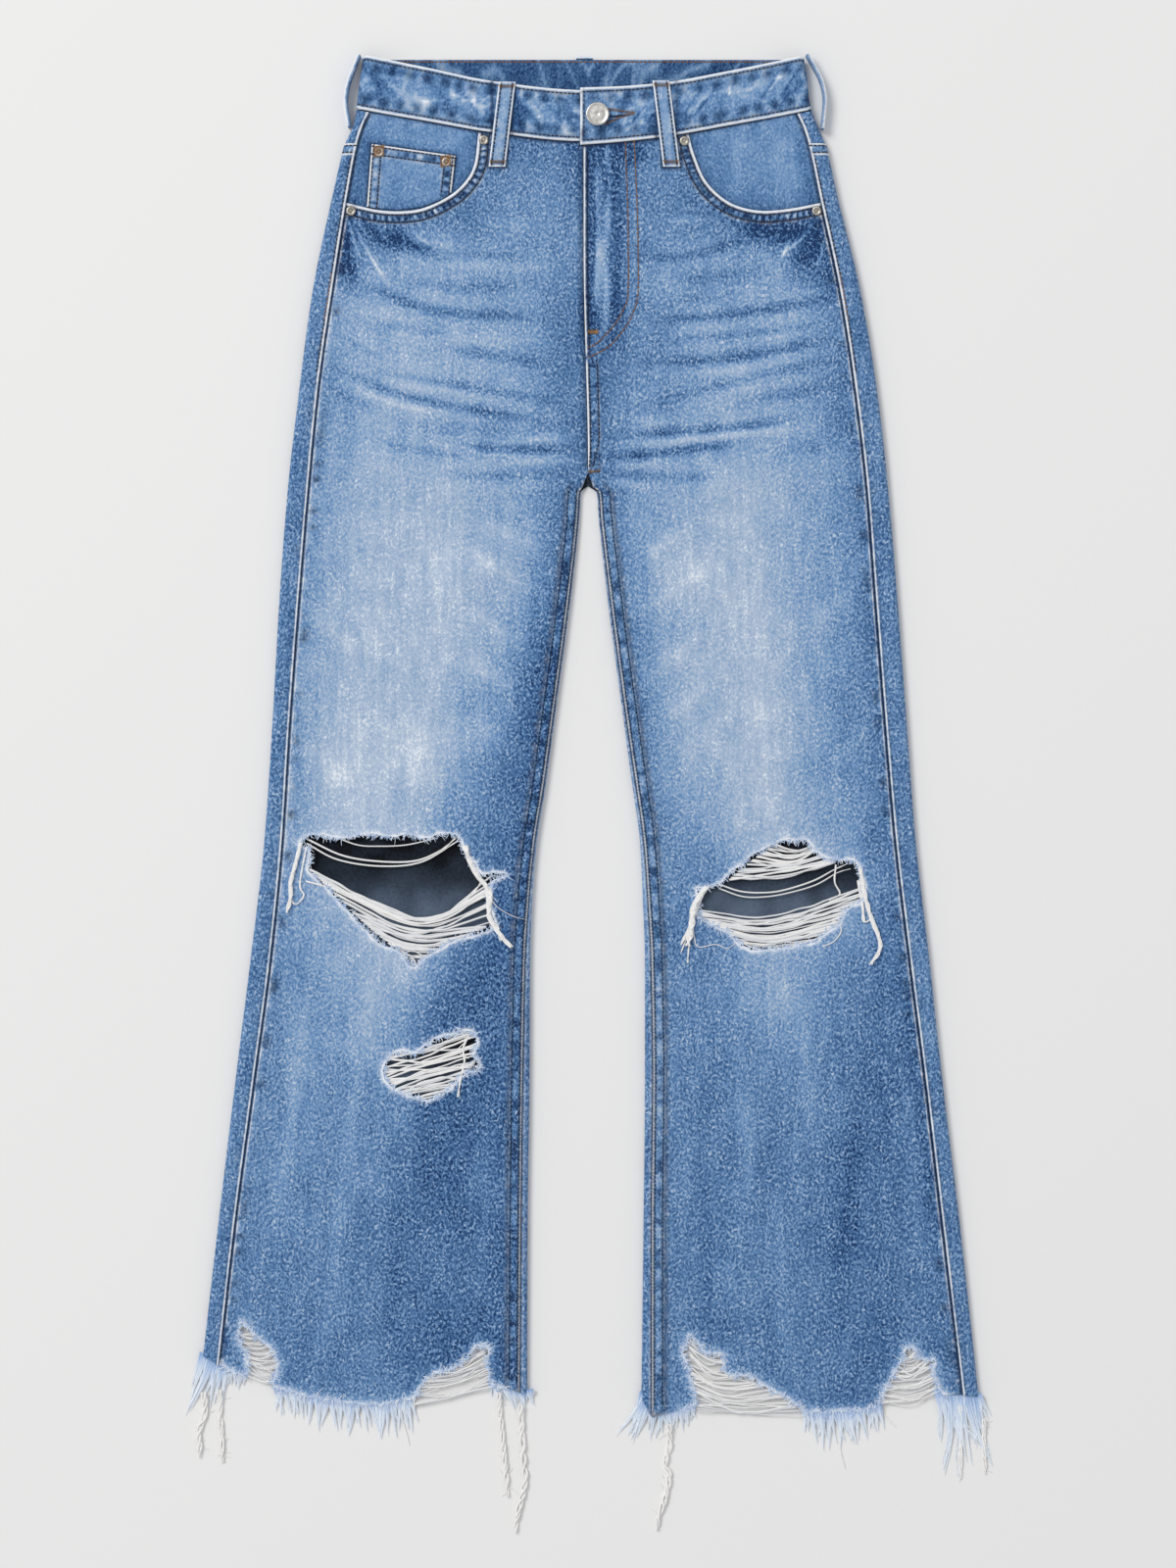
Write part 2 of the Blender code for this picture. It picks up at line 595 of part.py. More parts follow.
def clearance(loop, points):
    """Distance of each point from a closed loop."""
    run = np.roll(loop, -1, axis=0) - loop
    off = points[:, None] - loop
    t = np.clip((off * run).sum(axis=2) / (run**2).sum(axis=1), 0, 1)
    return np.linalg.norm(off - t[..., None] * run, axis=2).min(axis=1)


def wall_from_outline(name, loops, spacing, faces_at, finish):
    """A wall cut to an outline and its holes, in reach and drop.

    faces_at gives the outer and inner points for arrays of reach and drop.
    """
    loops = [np.array(loop, float) for loop in loops]
    low, high = loops[0].min(axis=0), loops[0].max(axis=0)
    rows = np.arange(low[1], high[1], spacing * 0.87)
    lattice = [
        (low[0] + (k + 0.5 * (j % 2)) * spacing, drop)
        for j, drop in enumerate(rows)
        for k in range(int((high[0] - low[0]) / spacing) + 2)
    ]
    lattice = np.array(lattice)
    keep = inside(loops[0], lattice)
    for loop in loops[1:]:
        keep &= ~inside(loop, lattice)
    for loop in loops:
        keep &= clearance(loop, lattice) > 0.45 * spacing
    places = np.concatenate([*loops, lattice[keep]])
    edges = []
    start = 0
    for loop in loops:
        count = len(loop)
        edges += [(start + k, start + (k + 1) % count) for k in range(count)]
        start += count
    found = delaunay_2d_cdt([Vector(place) for place in places], edges, [], 0, 1e-7)
    flat = np.array([tuple(point) for point in found[0]])
    cells = np.array([tuple(cell) for cell in found[2]])
    middles = flat[cells].mean(axis=1)
    kept = inside(loops[0], middles)
    for loop in loops[1:]:
        kept &= ~inside(loop, middles)
    cells = cells[kept]
    a, b, c = flat[cells[:, 0]], flat[cells[:, 1]], flat[cells[:, 2]]
    turn = (b[:, 0] - a[:, 0]) * (c[:, 1] - a[:, 1]) - (b[:, 1] - a[:, 1]) * (c[:, 0] - a[:, 0])
    cells = np.where((turn > 0)[:, None], cells, cells[:, ::-1])
    used, cells = np.unique(cells, return_inverse=True)
    cells = cells.reshape(-1, 3)
    outer, inner = faces_at(flat[used, 0], flat[used, 1])
    total = len(used)
    sides = {(cell[k], cell[(k + 1) % 3]) for cell in cells for k in range(3)}
    faces = [tuple(cell) for cell in cells]
    faces += [tuple(cell[::-1] + total) for cell in cells]
    rim = sorted(side for side in sides if side[::-1] not in sides)
    faces += [(end, start, start + total, end + total) for start, end in rim]
    return add_solid(name, np.concatenate([outer, inner]), faces, finish)


def layer(leg, depth, thickness):
    """Outer and inner points of a layer that lies a depth below the upper face."""

    def faces_at(reach, drop):
        top = np.zeros_like(reach) + depth
        return leg.sunk(leg.upper, reach, drop, top), leg.sunk(leg.upper, reach, drop, top + thickness)

    return faces_at


def subdivided(rows, longest):
    """Points along a run of edge rows, with none further apart than longest."""
    points = []
    for row, following in zip(rows, rows[1:]):
        start, end = np.array(row), np.array(following)
        count = max(1, math.ceil(np.linalg.norm(end - start) / longest))
        points += [tuple(start + (end - start) * k / count) for k in range(count)]
    return points + [tuple(rows[-1])]


def outer_corner(leg, drop):
    return leg.outseam(drop) - SEAM_GAP / 2


def build_front(leg):
    """A front panel with its leg, cut away at the pocket and torn at the knee, shin and hem."""
    side = leg.side
    foot = line(BAND_FOOT_ROWS[side], "drop", against="reach")
    band_end_foot = BAND_FOOT_ROWS[LEFT][0].drop + SEAM_GAP
    centre_drops = np.linspace(band_end_foot, CROTCH_FRONT, 9)[::-1]
    outline = [(side * centre_seam(drop) + SEAM_GAP / 2, drop) for drop in centre_drops]
    if side == RIGHT:
        outline.append((SEAM_GAP - BAND_LEFT_END, band_end_foot))
    curve = POCKET_CURVE_ROWS[side]
    start = curve[0].reach
    top_start = SEAM_GAP - BAND_LEFT_END if side == RIGHT else 0.015
    outline += [(reach, foot(reach) + SEAM_GAP) for reach in np.linspace(top_start, start, 4)]
    outline += list(curve[1:])
    outline += [(outer_corner(leg, drop), drop) for drop in STATIONS]
    ends = HEM_ENDS[side]
    outline.append((outer_corner(leg, ends.outseam), ends.outseam))
    outline += list(FRONT_HEM_ROWS[side])
    inner_drops = [ends.inseam] + [drop for drop in STATIONS[::-1] if drop > CROTCH_BACK]
    outline += [(leg.inseam(drop) + SEAM_GAP / 2, drop) for drop in inner_drops]
    holes = [KNEE_RIP_ROWS[side]]
    if side == RIGHT:
        holes.append(SHIN_RIP_ROWS)
    finish = material("washed_denim", DENIM)
    name = f"front_{SIDE_NAMES[side]}"
    return wall_from_outline(name, [outline, *holes], 0.027, layer(leg, 0.0, CLOTH), finish)


def ring_columns(leg, drop, inner_turn):
    """Places round the ring from the outseam to the inner edge, at one drop.

    inner_turn is 0 where the panel ends flat at the centre back, and 1 where it turns up round the
    inner fold to the inseam.
    """
    fold_out = float(leg.fold_out(drop))
    fold_in = float(leg.fold_in(drop))
    radius = 0.5 * float(leg.height(fold_out, drop))
    seam = fold_out - float(leg.outseam(drop)) - SEAM_GAP / 2
    columns = [fold_out + seam]
    columns += [fold_out + radius * bend for bend in BENDS]
    columns.append(fold_out)
    columns += [fold_out - radius * bend for bend in BENDS[::-1]]
    inner_radius = 0.5 * float(leg.height(fold_in, drop))
    centre_strip = SEAM_GAP / 2 + CENTRE_BACK_STRIP
    flat_end = centre_strip + (fold_in + inner_radius - centre_strip) * inner_turn
    start = fold_out - radius
    columns += [start + (flat_end - start) * k / FLAT_COLUMNS for k in range(1, FLAT_COLUMNS + 1)]
    turned = [fold_in + inner_radius * bend for bend in BENDS[1:]]
    turned.append(fold_in)
    inseam = float(leg.inseam(drop)) - fold_in - SEAM_GAP / 2
    turned += [fold_in - inseam * part for part in (0.3, 1.0)]
    resting = np.linspace(flat_end, SEAM_GAP / 2, len(turned) + 1)[1:]
    columns += [rest + (turn - rest) * inner_turn for rest, turn in zip(resting, turned)]
    return columns


def places_round(leg, drops, inner_turn):
    """Place round the ring of each column, where each column has a drop of its own."""
    return np.array([ring_columns(leg, drop, inner_turn)[k] for k, drop in enumerate(drops)])


def ring_grid(leg, drops_of, inner_turns, depth, thickness):
    """Outer and inner grids of a back piece.

    drops_of gives, for one row, a function from a place round the ring to its drop.
    """
    outer = []
    inner = []
    for drop_of, (guide, inner_turn) in zip(drops_of, inner_turns):
        columns = np.array(ring_columns(leg, guide, inner_turn))
        drops = np.array([float(drop_of(column, guide)) for column in columns])
        around = places_round(leg, drops, inner_turn)
        outer.append(leg.sunk(leg.ring, around, drops, np.full(len(drops), depth)))
        inner.append(leg.sunk(leg.ring, around, drops, np.full(len(drops), depth + thickness)))
    return np.array(outer), np.array(inner)


def yoke_seam(leg, along, shift):
    """Drop of the seam between the yoke and the back panel."""
    side = float(leg.outseam(YOKE_SEAM_SIDE))
    across = smoothstep(0.0, 1.0, 1 - np.clip(along, 0, side) / side)
    return YOKE_SEAM_SIDE + (YOKE_SEAM_CENTRE - YOKE_SEAM_SIDE) * across + shift


def back_hem(leg, along):
    """Drop of the back's raw hem, which arches up between the two folds."""
    ends = HEM_ENDS[leg.side]
    fold_out = float(leg.fold_out(ends.outer_fold))
    fold_in = float(leg.fold_in(ends.inner_fold))
    if along > fold_out:
        part = (along - fold_out) / (fold_out - float(leg.outseam(ends.outseam)))
        return ends.outer_fold + (ends.outseam - ends.outer_fold) * min(part, 1.0)
    if along < fold_in:
        part = (fold_in - along) / (float(leg.inseam(ends.inseam)) - fold_in)
        return ends.inner_fold + (ends.inseam - ends.inner_fold) * min(part, 1.0)
    outer = float(smoothstep(0.0, HEM_ARCH_REACH, fold_out - along))
    inner = float(smoothstep(0.0, HEM_ARCH_REACH, along - fold_in))
    if along > 0.5 * (fold_out + fold_in):
        return ends.outer_fold + (ends.back_arch - ends.outer_fold) * outer
    return ends.inner_fold + (ends.back_arch - ends.inner_fold) * inner


def build_back(leg):
    """A back panel with its leg, from the yoke seam to the arched raw hem."""
    side = leg.side
    turns = {drop: float(drop > CROTCH_BACK) for drop in STATIONS}
    drops_of = [lambda along, guide: yoke_seam(leg, along, SEAM_GAP / 2)]
    guides = [(YOKE_SEAM_SIDE, 0.0)]
    for drop in STATIONS:
        drops_of.append(lambda along, guide: guide)
        guides.append((drop, turns[drop]))
    drops_of.append(lambda along, guide: back_hem(leg, along))
    guides.append((HEM_ENDS[side].outer_fold, 1.0))
    outer, inner = ring_grid(leg, drops_of, guides, 0.0, CLOTH)
    return wall_from_grid(f"back_{SIDE_NAMES[side]}", outer, inner, material("washed_denim", DENIM))


def build_yoke(leg):
    """A back yoke, from the waistband's foot to the yoke seam."""
    side = leg.side
    foot = line(BAND_FOOT_ROWS[side], "drop", against="reach")

    def top(along, guide):
        fold = float(leg.fold_out(BAND_BACK_FOOT))
        if along > fold:
            return float(foot(2 * fold - along)) + YOKE_CLEARANCE
        return BAND_BACK_FOOT + YOKE_CLEARANCE

    def middle(along, guide):
        return 0.5 * (top(along, guide) + yoke_seam(leg, along, 0.0))

    drops_of = [top, middle, lambda along, guide: yoke_seam(leg, along, -SEAM_GAP / 2)]
    guides = [(BAND_BACK_FOOT + YOKE_CLEARANCE, 0.0), (0.0540, 0.0), (YOKE_SEAM_SIDE, 0.0)]
    outer, inner = ring_grid(leg, drops_of, guides, 0.0, CLOTH)
    return wall_from_grid(f"yoke_{SIDE_NAMES[side]}", outer, inner, material("washed_denim", DENIM))


def band_columns(leg, front_end):
    """Places round half the waistband, from its front end to the centre back."""
    mid_band = 0.5 * (BAND_BACK_TOP + BAND_BACK_FOOT)
    fold = float(leg.fold_out(mid_band))
    radius = 0.5 * float(leg.height(fold, mid_band))
    front = np.linspace(front_end, fold - radius, 9)
    columns = [(2 * fold - reach) for reach in front]
    columns += [fold + radius * bend for bend in BENDS[1:]]
    columns.append(fold)
    columns += [fold - radius * bend for bend in BENDS[::-1]]
    start = columns[-1]
    columns += [start * (1 - k / 4) for k in range(1, 5)]
    return columns, fold


def lap_offset(side, x):
    """How far the waistband moves out where its left end lies on its right end."""
    if side == LEFT:
        return LAP_RISE * math.exp(-(((x - BAND_LEFT_END) / LAP_RISE_WIDTH) ** 2))
    return -LAP_SINK * float(smoothstep(0.0, LAP_SINK_WIDTH, x - BAND_LEFT_END + BAND_RIGHT_END))


def band_half(leg, front_end, rows):
    """Outer and inner grids of half the waistband, with its front end first."""
    top = line(BAND_TOP_ROWS[leg.side], "drop", against="reach")
    foot = line(BAND_FOOT_ROWS[leg.side], "drop", against="reach")
    columns, fold = band_columns(leg, front_end)
    outer = []
    inner = []
    for part in np.linspace(0, 1, rows):
        drops = []
        proud = []
        around = []
        for along in columns:
            on_front = along > fold
            reach = 2 * fold - along if on_front else along
            wrap = float(smoothstep(-0.5, 0.5, (along - fold) / WRAP_WIDTH))
            low = BAND_BACK_TOP + (float(top(reach)) - BAND_BACK_TOP) * wrap
            high = BAND_BACK_FOOT + (float(foot(reach)) - BAND_BACK_FOOT) * wrap
            drop = low + (high - low) * part
            drops.append(drop)
            here = float(leg.fold_out(drop))
            widening = here / fold
            rise = BAND_PROUD * wrap
            if on_front:
                reach *= 1 + (widening - 1) * float(smoothstep(BAND_WIDENS_FROM, fold, reach))
                around.append(2 * here - reach)
                rise += lap_offset(leg.side, leg.side * reach)
            else:
                around.append(here + (along - fold) * widening)
            proud.append(rise)
        drops, proud, around = np.array(drops), np.array(proud), np.array(around)
        outer.append(leg.sunk(leg.ring, around, drops, -proud))
        inner.append(leg.sunk(leg.ring, around, drops, BAND_CLOTH - proud))
    return np.array(outer), np.array(inner)


def build_waistband(legs):
    """The waistband, one strip from its left front end round the back to its right front end."""
    left_outer, left_inner = band_half(legs[LEFT], BAND_LEFT_END, 4)
    right_outer, right_inner = band_half(legs[RIGHT], -BAND_RIGHT_END, 4)
    outer = np.concatenate([left_outer, right_outer[:, ::-1][:, 1:]], axis=1)
    inner = np.concatenate([left_inner, right_inner[:, ::-1][:, 1:]], axis=1)
    return wall_from_grid("waistband", outer, inner, material("washed_denim", DENIM))


def build_pocket_facing(leg):
    """The hip piece inside a pocket opening, which carries on under the front panel."""
    side = leg.side
    foot = line(BAND_FOOT_ROWS[side], "drop", against="reach")
    curve = np.array([tuple(row) for row in POCKET_CURVE_ROWS[side]] + [
        (float(leg.outseam(POCKET_AT_OUTSEAM)), POCKET_AT_OUTSEAM)
    ])
    run = np.gradient(curve, axis=0)
    run = run / np.linalg.norm(run, axis=1, keepdims=True)
    under = curve + POCKET_UNDERLAP * np.stack([-run[:, 1], run[:, 0]], axis=1)
    under[-1] = (curve[-1, 0] + POCKET_BEHIND_OUTSEAM, curve[-1, 1] + POCKET_UNDERLAP)
    side_top = float(leg.outseam(BAND_FOOT_ROWS[side][-1].drop)) + POCKET_BEHIND_OUTSEAM
    outline = [(reach, float(foot(reach)) + SEAM_GAP) for reach in np.linspace(under[0, 0], side_top, 7)]
    for drop in (YOKE_SEAM_SIDE, 0.5 * (YOKE_SEAM_SIDE + POCKET_AT_OUTSEAM)):
        outline.append((float(leg.outseam(drop)) + POCKET_BEHIND_OUTSEAM, drop))
    outline += [tuple(point) for point in under[::-1][:-1]]
    depth = CLOTH + LAYER_GAP
    name = f"pocket_facing_{SIDE_NAMES[side]}"
    faces_at = layer(leg, depth, FACING_CLOTH)
    return wall_from_outline(name, [outline], 0.015, faces_at, material("washed_denim", DENIM))


def build_coin_pocket(leg):
    """The small pocket on the right facing, whose foot goes in behind the pocket's edge."""
    outline = subdivided([*COIN_POCKET_ROWS, COIN_POCKET_ROWS[0]], 0.016)[:-1]
    depth = CLOTH + LAYER_GAP - COIN_POCKET_GAP - FACING_CLOTH
    faces_at = layer(leg, depth, FACING_CLOTH)
    return wall_from_outline("coin_pocket", [outline], 0.014, faces_at, material("washed_denim", DENIM))


def build_fly_facing(leg):
    """The facing behind the left front, out to the J stitching."""
    foot = line(BAND_FOOT_ROWS[LEFT], "drop", against="reach")
    edge = [(row.reach + FLY_EDGE_BEYOND_STITCH, row.drop) for row in FLY_ROWS[1:-1]]
    tops = np.linspace(0.0, FLY_ROWS[0].reach, 4)
    outline = [(reach, float(foot(reach)) + SEAM_GAP) for reach in tops]
    outline += edge
    outline += [(SEAM_GAP, drop) for drop in np.linspace(FLY_FACING_FOOT, FLY_ROWS[1].drop, 4)]
    faces_at = layer(leg, CLOTH + LAYER_GAP, FACING_CLOTH)
    return wall_from_outline("fly_facing", [outline], 0.020, faces_at, material("washed_denim", DENIM))


def build_back_pocket(side):
    """A plain patch pocket, flat on the floor under the hips."""
    corners = [(CENTRE_X + side * row.reach, WAIST_Y - row.drop) for row in BACK_POCKET_ROWS]
    points = [(x, y, z) for z in (0.0, BACK_POCKET_CLOTH) for x, y in corners]
    count = len(corners)
    faces = [tuple(range(count)), tuple(range(2 * count - 1, count - 1, -1))]
    for k in range(count):
        following = (k + 1) % count
        faces.append((k, k + count, following + count, following))
    return add_solid(f"back_pocket_{SIDE_NAMES[side]}", points, faces, material("washed_denim", DENIM))


def build_front_loop(leg):
    """A belt loop over the front waistband, tacked down above and below it."""
    top, foot = FRONT_LOOP_ENDS[leg.side]
    off = line(LOOP_ROWS, "off", against="part")
    parts = np.array([row.part for row in LOOP_ROWS])
    drops = top.drop + (foot.drop - top.drop) * parts
    middles = top.reach + (foot.reach - top.reach) * parts
    proud = BAND_PROUD * (1 - smoothstep(0.60, 0.75, parts))
    outer = []
    inner = []
    for across in (-0.5, 0.5):
        reach = middles + across * LOOP_WIDTH
        inner.append(leg.sunk(leg.upper, reach, drops, -(proud + off(parts) - LOOP_UNDERLAP * (proud > 0))))
        outer.append(leg.sunk(leg.upper, reach, drops, -(proud + off(parts) + LOOP_CLOTH)))
    name = f"belt_loop_front_{SIDE_NAMES[leg.side]}"
    finish = material("washed_denim_light", DENIM_LIGHT)
    return wall_from_grid(name, np.array(outer), np.array(inner), finish)


def build_side_loop(leg):
    """A belt loop at the hip, standing on edge round the side fold."""
    inner_line = np.array(SIDE_LOOP_ROWS[leg.side])
    run = np.gradient(inner_line, axis=0)
    run = run / np.linalg.norm(run, axis=1, keepdims=True)
    outer_line = inner_line + SIDE_LOOP_CLOTH * np.stack([run[:, 1], -run[:, 0]], axis=1)
    grids = []
    for path in (outer_line, inner_line):
        rows = [leg.place(path[:, 0], path[:, 1], np.full(len(path), z)) for z in (0.0, SIDE_LOOP_HEIGHT)]
        grids.append(np.array(rows))
    name = f"belt_loop_side_{SIDE_NAMES[leg.side]}"
    return wall_from_grid(name, grids[0], grids[1], material("washed_denim_light", DENIM_LIGHT))


def build_back_loop():
    """The centre back loop, flat under the waistband, its top end turned up over the edge."""
    top, bend, foot = BACK_LOOP_DROPS
    thick, rise = BACK_LOOP_HEIGHTS
    profile = ((top, 0.0), (foot, 0.0), (foot, thick), (bend, thick), (bend, rise), (top, rise))
    points = []
    for across in (-0.5, 0.5):
        x = CENTRE_X + BACK_LOOP_X + across * LOOP_WIDTH
        points += [(x, WAIST_Y - drop, z) for drop, z in profile]
    count = len(profile)
    faces = [tuple(range(count)), tuple(range(2 * count - 1, count - 1, -1))]
    for k in range(count):
        following = (k + 1) % count
        faces.append((k, k + count, following + count, following))
    return add_solid("belt_loop_back", points, faces, material("washed_denim_light", DENIM_LIGHT))


def turned(name, profile, steps, base, axis, finish):
    """A solid of revolution from a profile of (radius, height), closed at both ends of its axis."""
    turn = Vector(axis).to_track_quat("Z", "Y")
    points = []
    rings = []
    for radius, height in profile:
        if radius == 0:
            rings.append([len(points)])
            points.append(Vector(base) + turn @ Vector((0, 0, height)))
            continue
        rings.append(list(range(len(points), len(points) + steps)))
        for k in range(steps):
            angle = 2 * math.pi * k / steps
            spot = Vector((radius * math.cos(angle), radius * math.sin(angle), height))
            points.append(Vector(base) + turn @ spot)
    faces = []
    for low, high in zip(rings, rings[1:]):
        for k in range(steps):
            following = (k + 1) % steps
            if len(low) == 1:
                faces.append((low[0], high[following], high[k]))
            elif len(high) == 1:
                faces.append((low[k], low[following], high[0]))
            else:
                faces.append((low[k], low[following], high[following], high[k]))
    solid = add_solid(name, [tuple(point) for point in points], faces, finish)
    solid.data.shade_smooth()
    solid.data.set_sharp_from_angle(angle=math.radians(40))
    return solid


def build_rivet(leg, name, reach, drop, off):
    """A domed burr rivet with a raised nipple in a dished centre."""
    spot = np.array([reach]), np.array([drop])
    base = leg.sunk(leg.upper, *spot, np.array([-(off + RIVET_BASE)]))[0]
    ahead = leg.sunk(leg.upper, *spot, np.array([-(off + 3 * RIVET_BASE)]))[0]
    r = RIVET_RADIUS
    profile = ((0, 0), (0.95 * r, 0), (r, 0.0004), (0.8 * r, 0.0011), (0.5 * r, 0.0010),
               (0.3 * r, 0.0006), (0.18 * r, 0.0013), (0, 0.0015))
    return turned(name, profile, 12, base, ahead - base, material("aged_nickel", SILVER, 0.4, 1.0))


def build_button(leg):
    """The waist button: a plain dished disc with a rolled rim, on its shank."""
    reach, drop = BUTTON_AT
    spot = np.array([reach]), np.array([drop])
    rise = BAND_PROUD + LAP_RISE + BUTTON_SHANK_LIFT
    base = leg.sunk(leg.upper, *spot, np.array([-rise]))[0]
    r = BUTTON_RADIUS
    profile = ((0, 0), (0.42 * r, 0), (0.42 * r, 0.0007), (0.94 * r, 0.0007), (r, 0.0014),
               (0.98 * r, 0.0023), (0.88 * r, 0.0028), (0.74 * r, 0.0025), (0.12 * r, 0.0022),
               (0, 0.0019))
    return turned("waist_button", profile, 24, base, (0, 0, 1), material("aged_nickel", SILVER, 0.4, 1.0))


def build_front_fringe(leg):
    """The reach of a front hem's fray, from the raw edge down to the floor."""
    side = leg.side
    root = FRINGE_ROOT_ROWS[side]
    hem = line(root[::-1], "drop", against="reach")
    outline = subdivided([*root, *FRINGE_TIP_ROWS[side][::-1], root[0]], 0.030)[:-1]

    def faces_at(reach, drop):
        fallen = smoothstep(0.0, FRINGE_FALL, drop - hem(reach))
        low = FRINGE_ROOT_HEIGHT + (TRIM_LIFT - FRINGE_ROOT_HEIGHT) * fallen
        return leg.place(reach, drop, low + FRINGE_CLOTH), leg.place(reach, drop, low)

    name = f"hem_fringe_front_{SIDE_NAMES[side]}"
    return wall_from_outline(name, [outline], 0.030, faces_at, material("frayed_cotton", THREAD))


def build_back_fringe(leg):
    """The reach of a back hem's fray, flat on the floor under the front."""
    columns = ring_columns(leg, HEM_ENDS[leg.side].outer_fold, 1.0)
    hem = np.array([back_hem(leg, column) for column in columns])
    around = places_round(leg, hem, 1.0)
    arched = slice(BEND_COLUMNS, BEND_COLUMNS + FLAT_COLUMNS - 1)
    reach = around[arched]
    root = hem[arched] + SEAM_GAP
    grids = []
    for z in (FRINGE_CLOTH, 0.0):
        level = np.full(len(reach), z)
        grids.append(np.array([
            leg.place(reach, root, level),
            leg.place(reach, root + BACK_FRINGE_REACH, level),
        ]))
    name = f"hem_fringe_back_{SIDE_NAMES[leg.side]}"
    return wall_from_grid(name, grids[0], grids[1], material("frayed_cotton", THREAD))


def build_tassel(leg, number, rows):
    """A long loose thread, as a flat-lying square rod."""
    path = np.array([tuple(row) for row in rows])
    run = np.gradient(path, axis=0)
    run = run / np.linalg.norm(run, axis=1, keepdims=True)
    across = TASSEL_RADIUS * np.stack([run[:, 1], -run[:, 0]], axis=1)
    grids = []
    for z in (TRIM_LIFT + 2 * TASSEL_RADIUS, TRIM_LIFT):
        level = np.full(len(path), z)
        sides = [leg.place(*(path + sign * across).T, level) for sign in (-1, 1)]
        grids.append(np.array(sides))
    name = f"hem_tassel_{SIDE_NAMES[leg.side]}_{number}"
    return wall_from_grid(name, grids[0], grids[1], material("loose_thread", THREAD))


def main():
    for old in list(bpy.data.objects):
        bpy.data.objects.remove(old)
    legs = {side: Leg(side) for side in (RIGHT, LEFT)}
    for side, leg in legs.items():
        build_front(leg)
        build_back(leg)
        build_yoke(leg)
        build_pocket_facing(leg)
        build_back_pocket(side)
        build_front_loop(leg)
        build_side_loop(leg)
        build_front_fringe(leg)
        build_back_fringe(leg)
        for number, rows in enumerate(TASSEL_ROWS[side], start=1):
            build_tassel(leg, number, rows)
    build_waistband(legs)
    build_fly_facing(legs[LEFT])
    build_coin_pocket(legs[RIGHT])
    build_back_loop()
    build_button(legs[LEFT])
    for name, side, reach, drop, off in RIVET_SPOTS:
        build_rivet(legs[side], name, reach, drop, off)


main()
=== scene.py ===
"""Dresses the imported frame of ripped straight-leg jeans that lie flat with the front up.

Lengths are in metres in the frame's own axes: +Z up, +Y from the hems to the waist, +X to the
wearer's left. Places on the garment are given by reach, out from the centre front on one side, and
drop, down from the highest edge of the waist. Tables that say so are in millimetres.
"""

from __future__ import annotations

import logging
import math
from dataclasses import dataclass
from enum import Enum
from functools import partial
from typing import Callable, Iterable, NamedTuple, Sequence

import bpy
import numpy as np
from bpy.types import Material, Mesh, Node, NodeSocket, NodeTree, Object
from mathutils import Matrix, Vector
from mathutils.geometry import delaunay_2d_cdt
from mathutils.kdtree import KDTree


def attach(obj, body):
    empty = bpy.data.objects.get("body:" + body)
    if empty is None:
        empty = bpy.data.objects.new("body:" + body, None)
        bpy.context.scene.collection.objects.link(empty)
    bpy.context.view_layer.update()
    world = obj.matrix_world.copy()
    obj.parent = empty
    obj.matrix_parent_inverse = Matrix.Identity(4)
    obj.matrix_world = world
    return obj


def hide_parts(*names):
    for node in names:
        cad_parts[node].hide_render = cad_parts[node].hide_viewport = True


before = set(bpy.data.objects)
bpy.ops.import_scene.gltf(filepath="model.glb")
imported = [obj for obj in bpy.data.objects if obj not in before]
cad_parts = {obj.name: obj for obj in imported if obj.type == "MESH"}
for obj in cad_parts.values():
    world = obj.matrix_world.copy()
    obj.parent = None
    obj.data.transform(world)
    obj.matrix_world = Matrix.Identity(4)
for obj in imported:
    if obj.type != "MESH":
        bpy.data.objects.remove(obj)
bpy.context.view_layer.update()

LOG = logging.getLogger("jeans")
Array = np.ndarray
MM = 0.001

WAIST_Y = 0.5579
CENTRE_X = -0.0030

CLOTH = 0.0012
SEAM_GAP = 0.0003
LAYER_GAP = 0.0006
FACING_CLOTH = 0.0010
COIN_POCKET_GAP = 0.0004
BAND_CLOTH = 0.0022
BAND_PROUD = 0.0010
HIP_LIFT = 0.0016
HIP_LIFT_ENDS = (0.285, 0.325)
EDGE_REACH = 0.024


class Side(Enum):
    """The wearer's right or left, with the sign of x there."""

    RIGHT = -1
    LEFT = 1

    @property
    def word(self) -> str:
        """The side's name as the frame's nodes write it."""
        return self.name.lower()


class SideRow(NamedTuple):
    """Reach of a side fold and of the seam beside it, at one drop."""

    drop: float
    fold: float
    seam: float


def rows(kind: type, *values: tuple) -> tuple:
    """A table of one kind of row, from the values in its named columns."""
    return tuple(kind(*value) for value in values)


class HeightRow(NamedTuple):
    """Height of the upper face over the floor: mid leg, by the outer fold and by the inner fold."""

    drop: float
    middle: float
    outer: float
    inner: float


class EdgeRow(NamedTuple):
    """A point of an edge, by reach and drop."""

    reach: float
    drop: float


class FoldRow(NamedTuple):
    """A soft fold in the front of a leg, from one place to another."""

    reach: float
    drop: float
    end_reach: float
    end_drop: float
    half_width: float
    height: float


class WashRow(NamedTuple):
    """How far the wash has faded the front at one drop, from the inner edge out to the outseam."""

    drop: float
    inner: float
    inner_mid: float
    middle: float
    outer_mid: float
    outer: float


class Whisker(NamedTuple):
    """A worn line through three places, in mm, with its half width and how much lighter it is."""

    reach: float
    drop: float
    mid_reach: float
    mid_drop: float
    end_reach: float
    end_drop: float
    half_width: float
    lighter: float


class WashSpot(NamedTuple):
    """A soft patch that is lighter or darker, in mm."""

    reach: float
    drop: float
    half_width: float
    half_length: float
    lighter: float


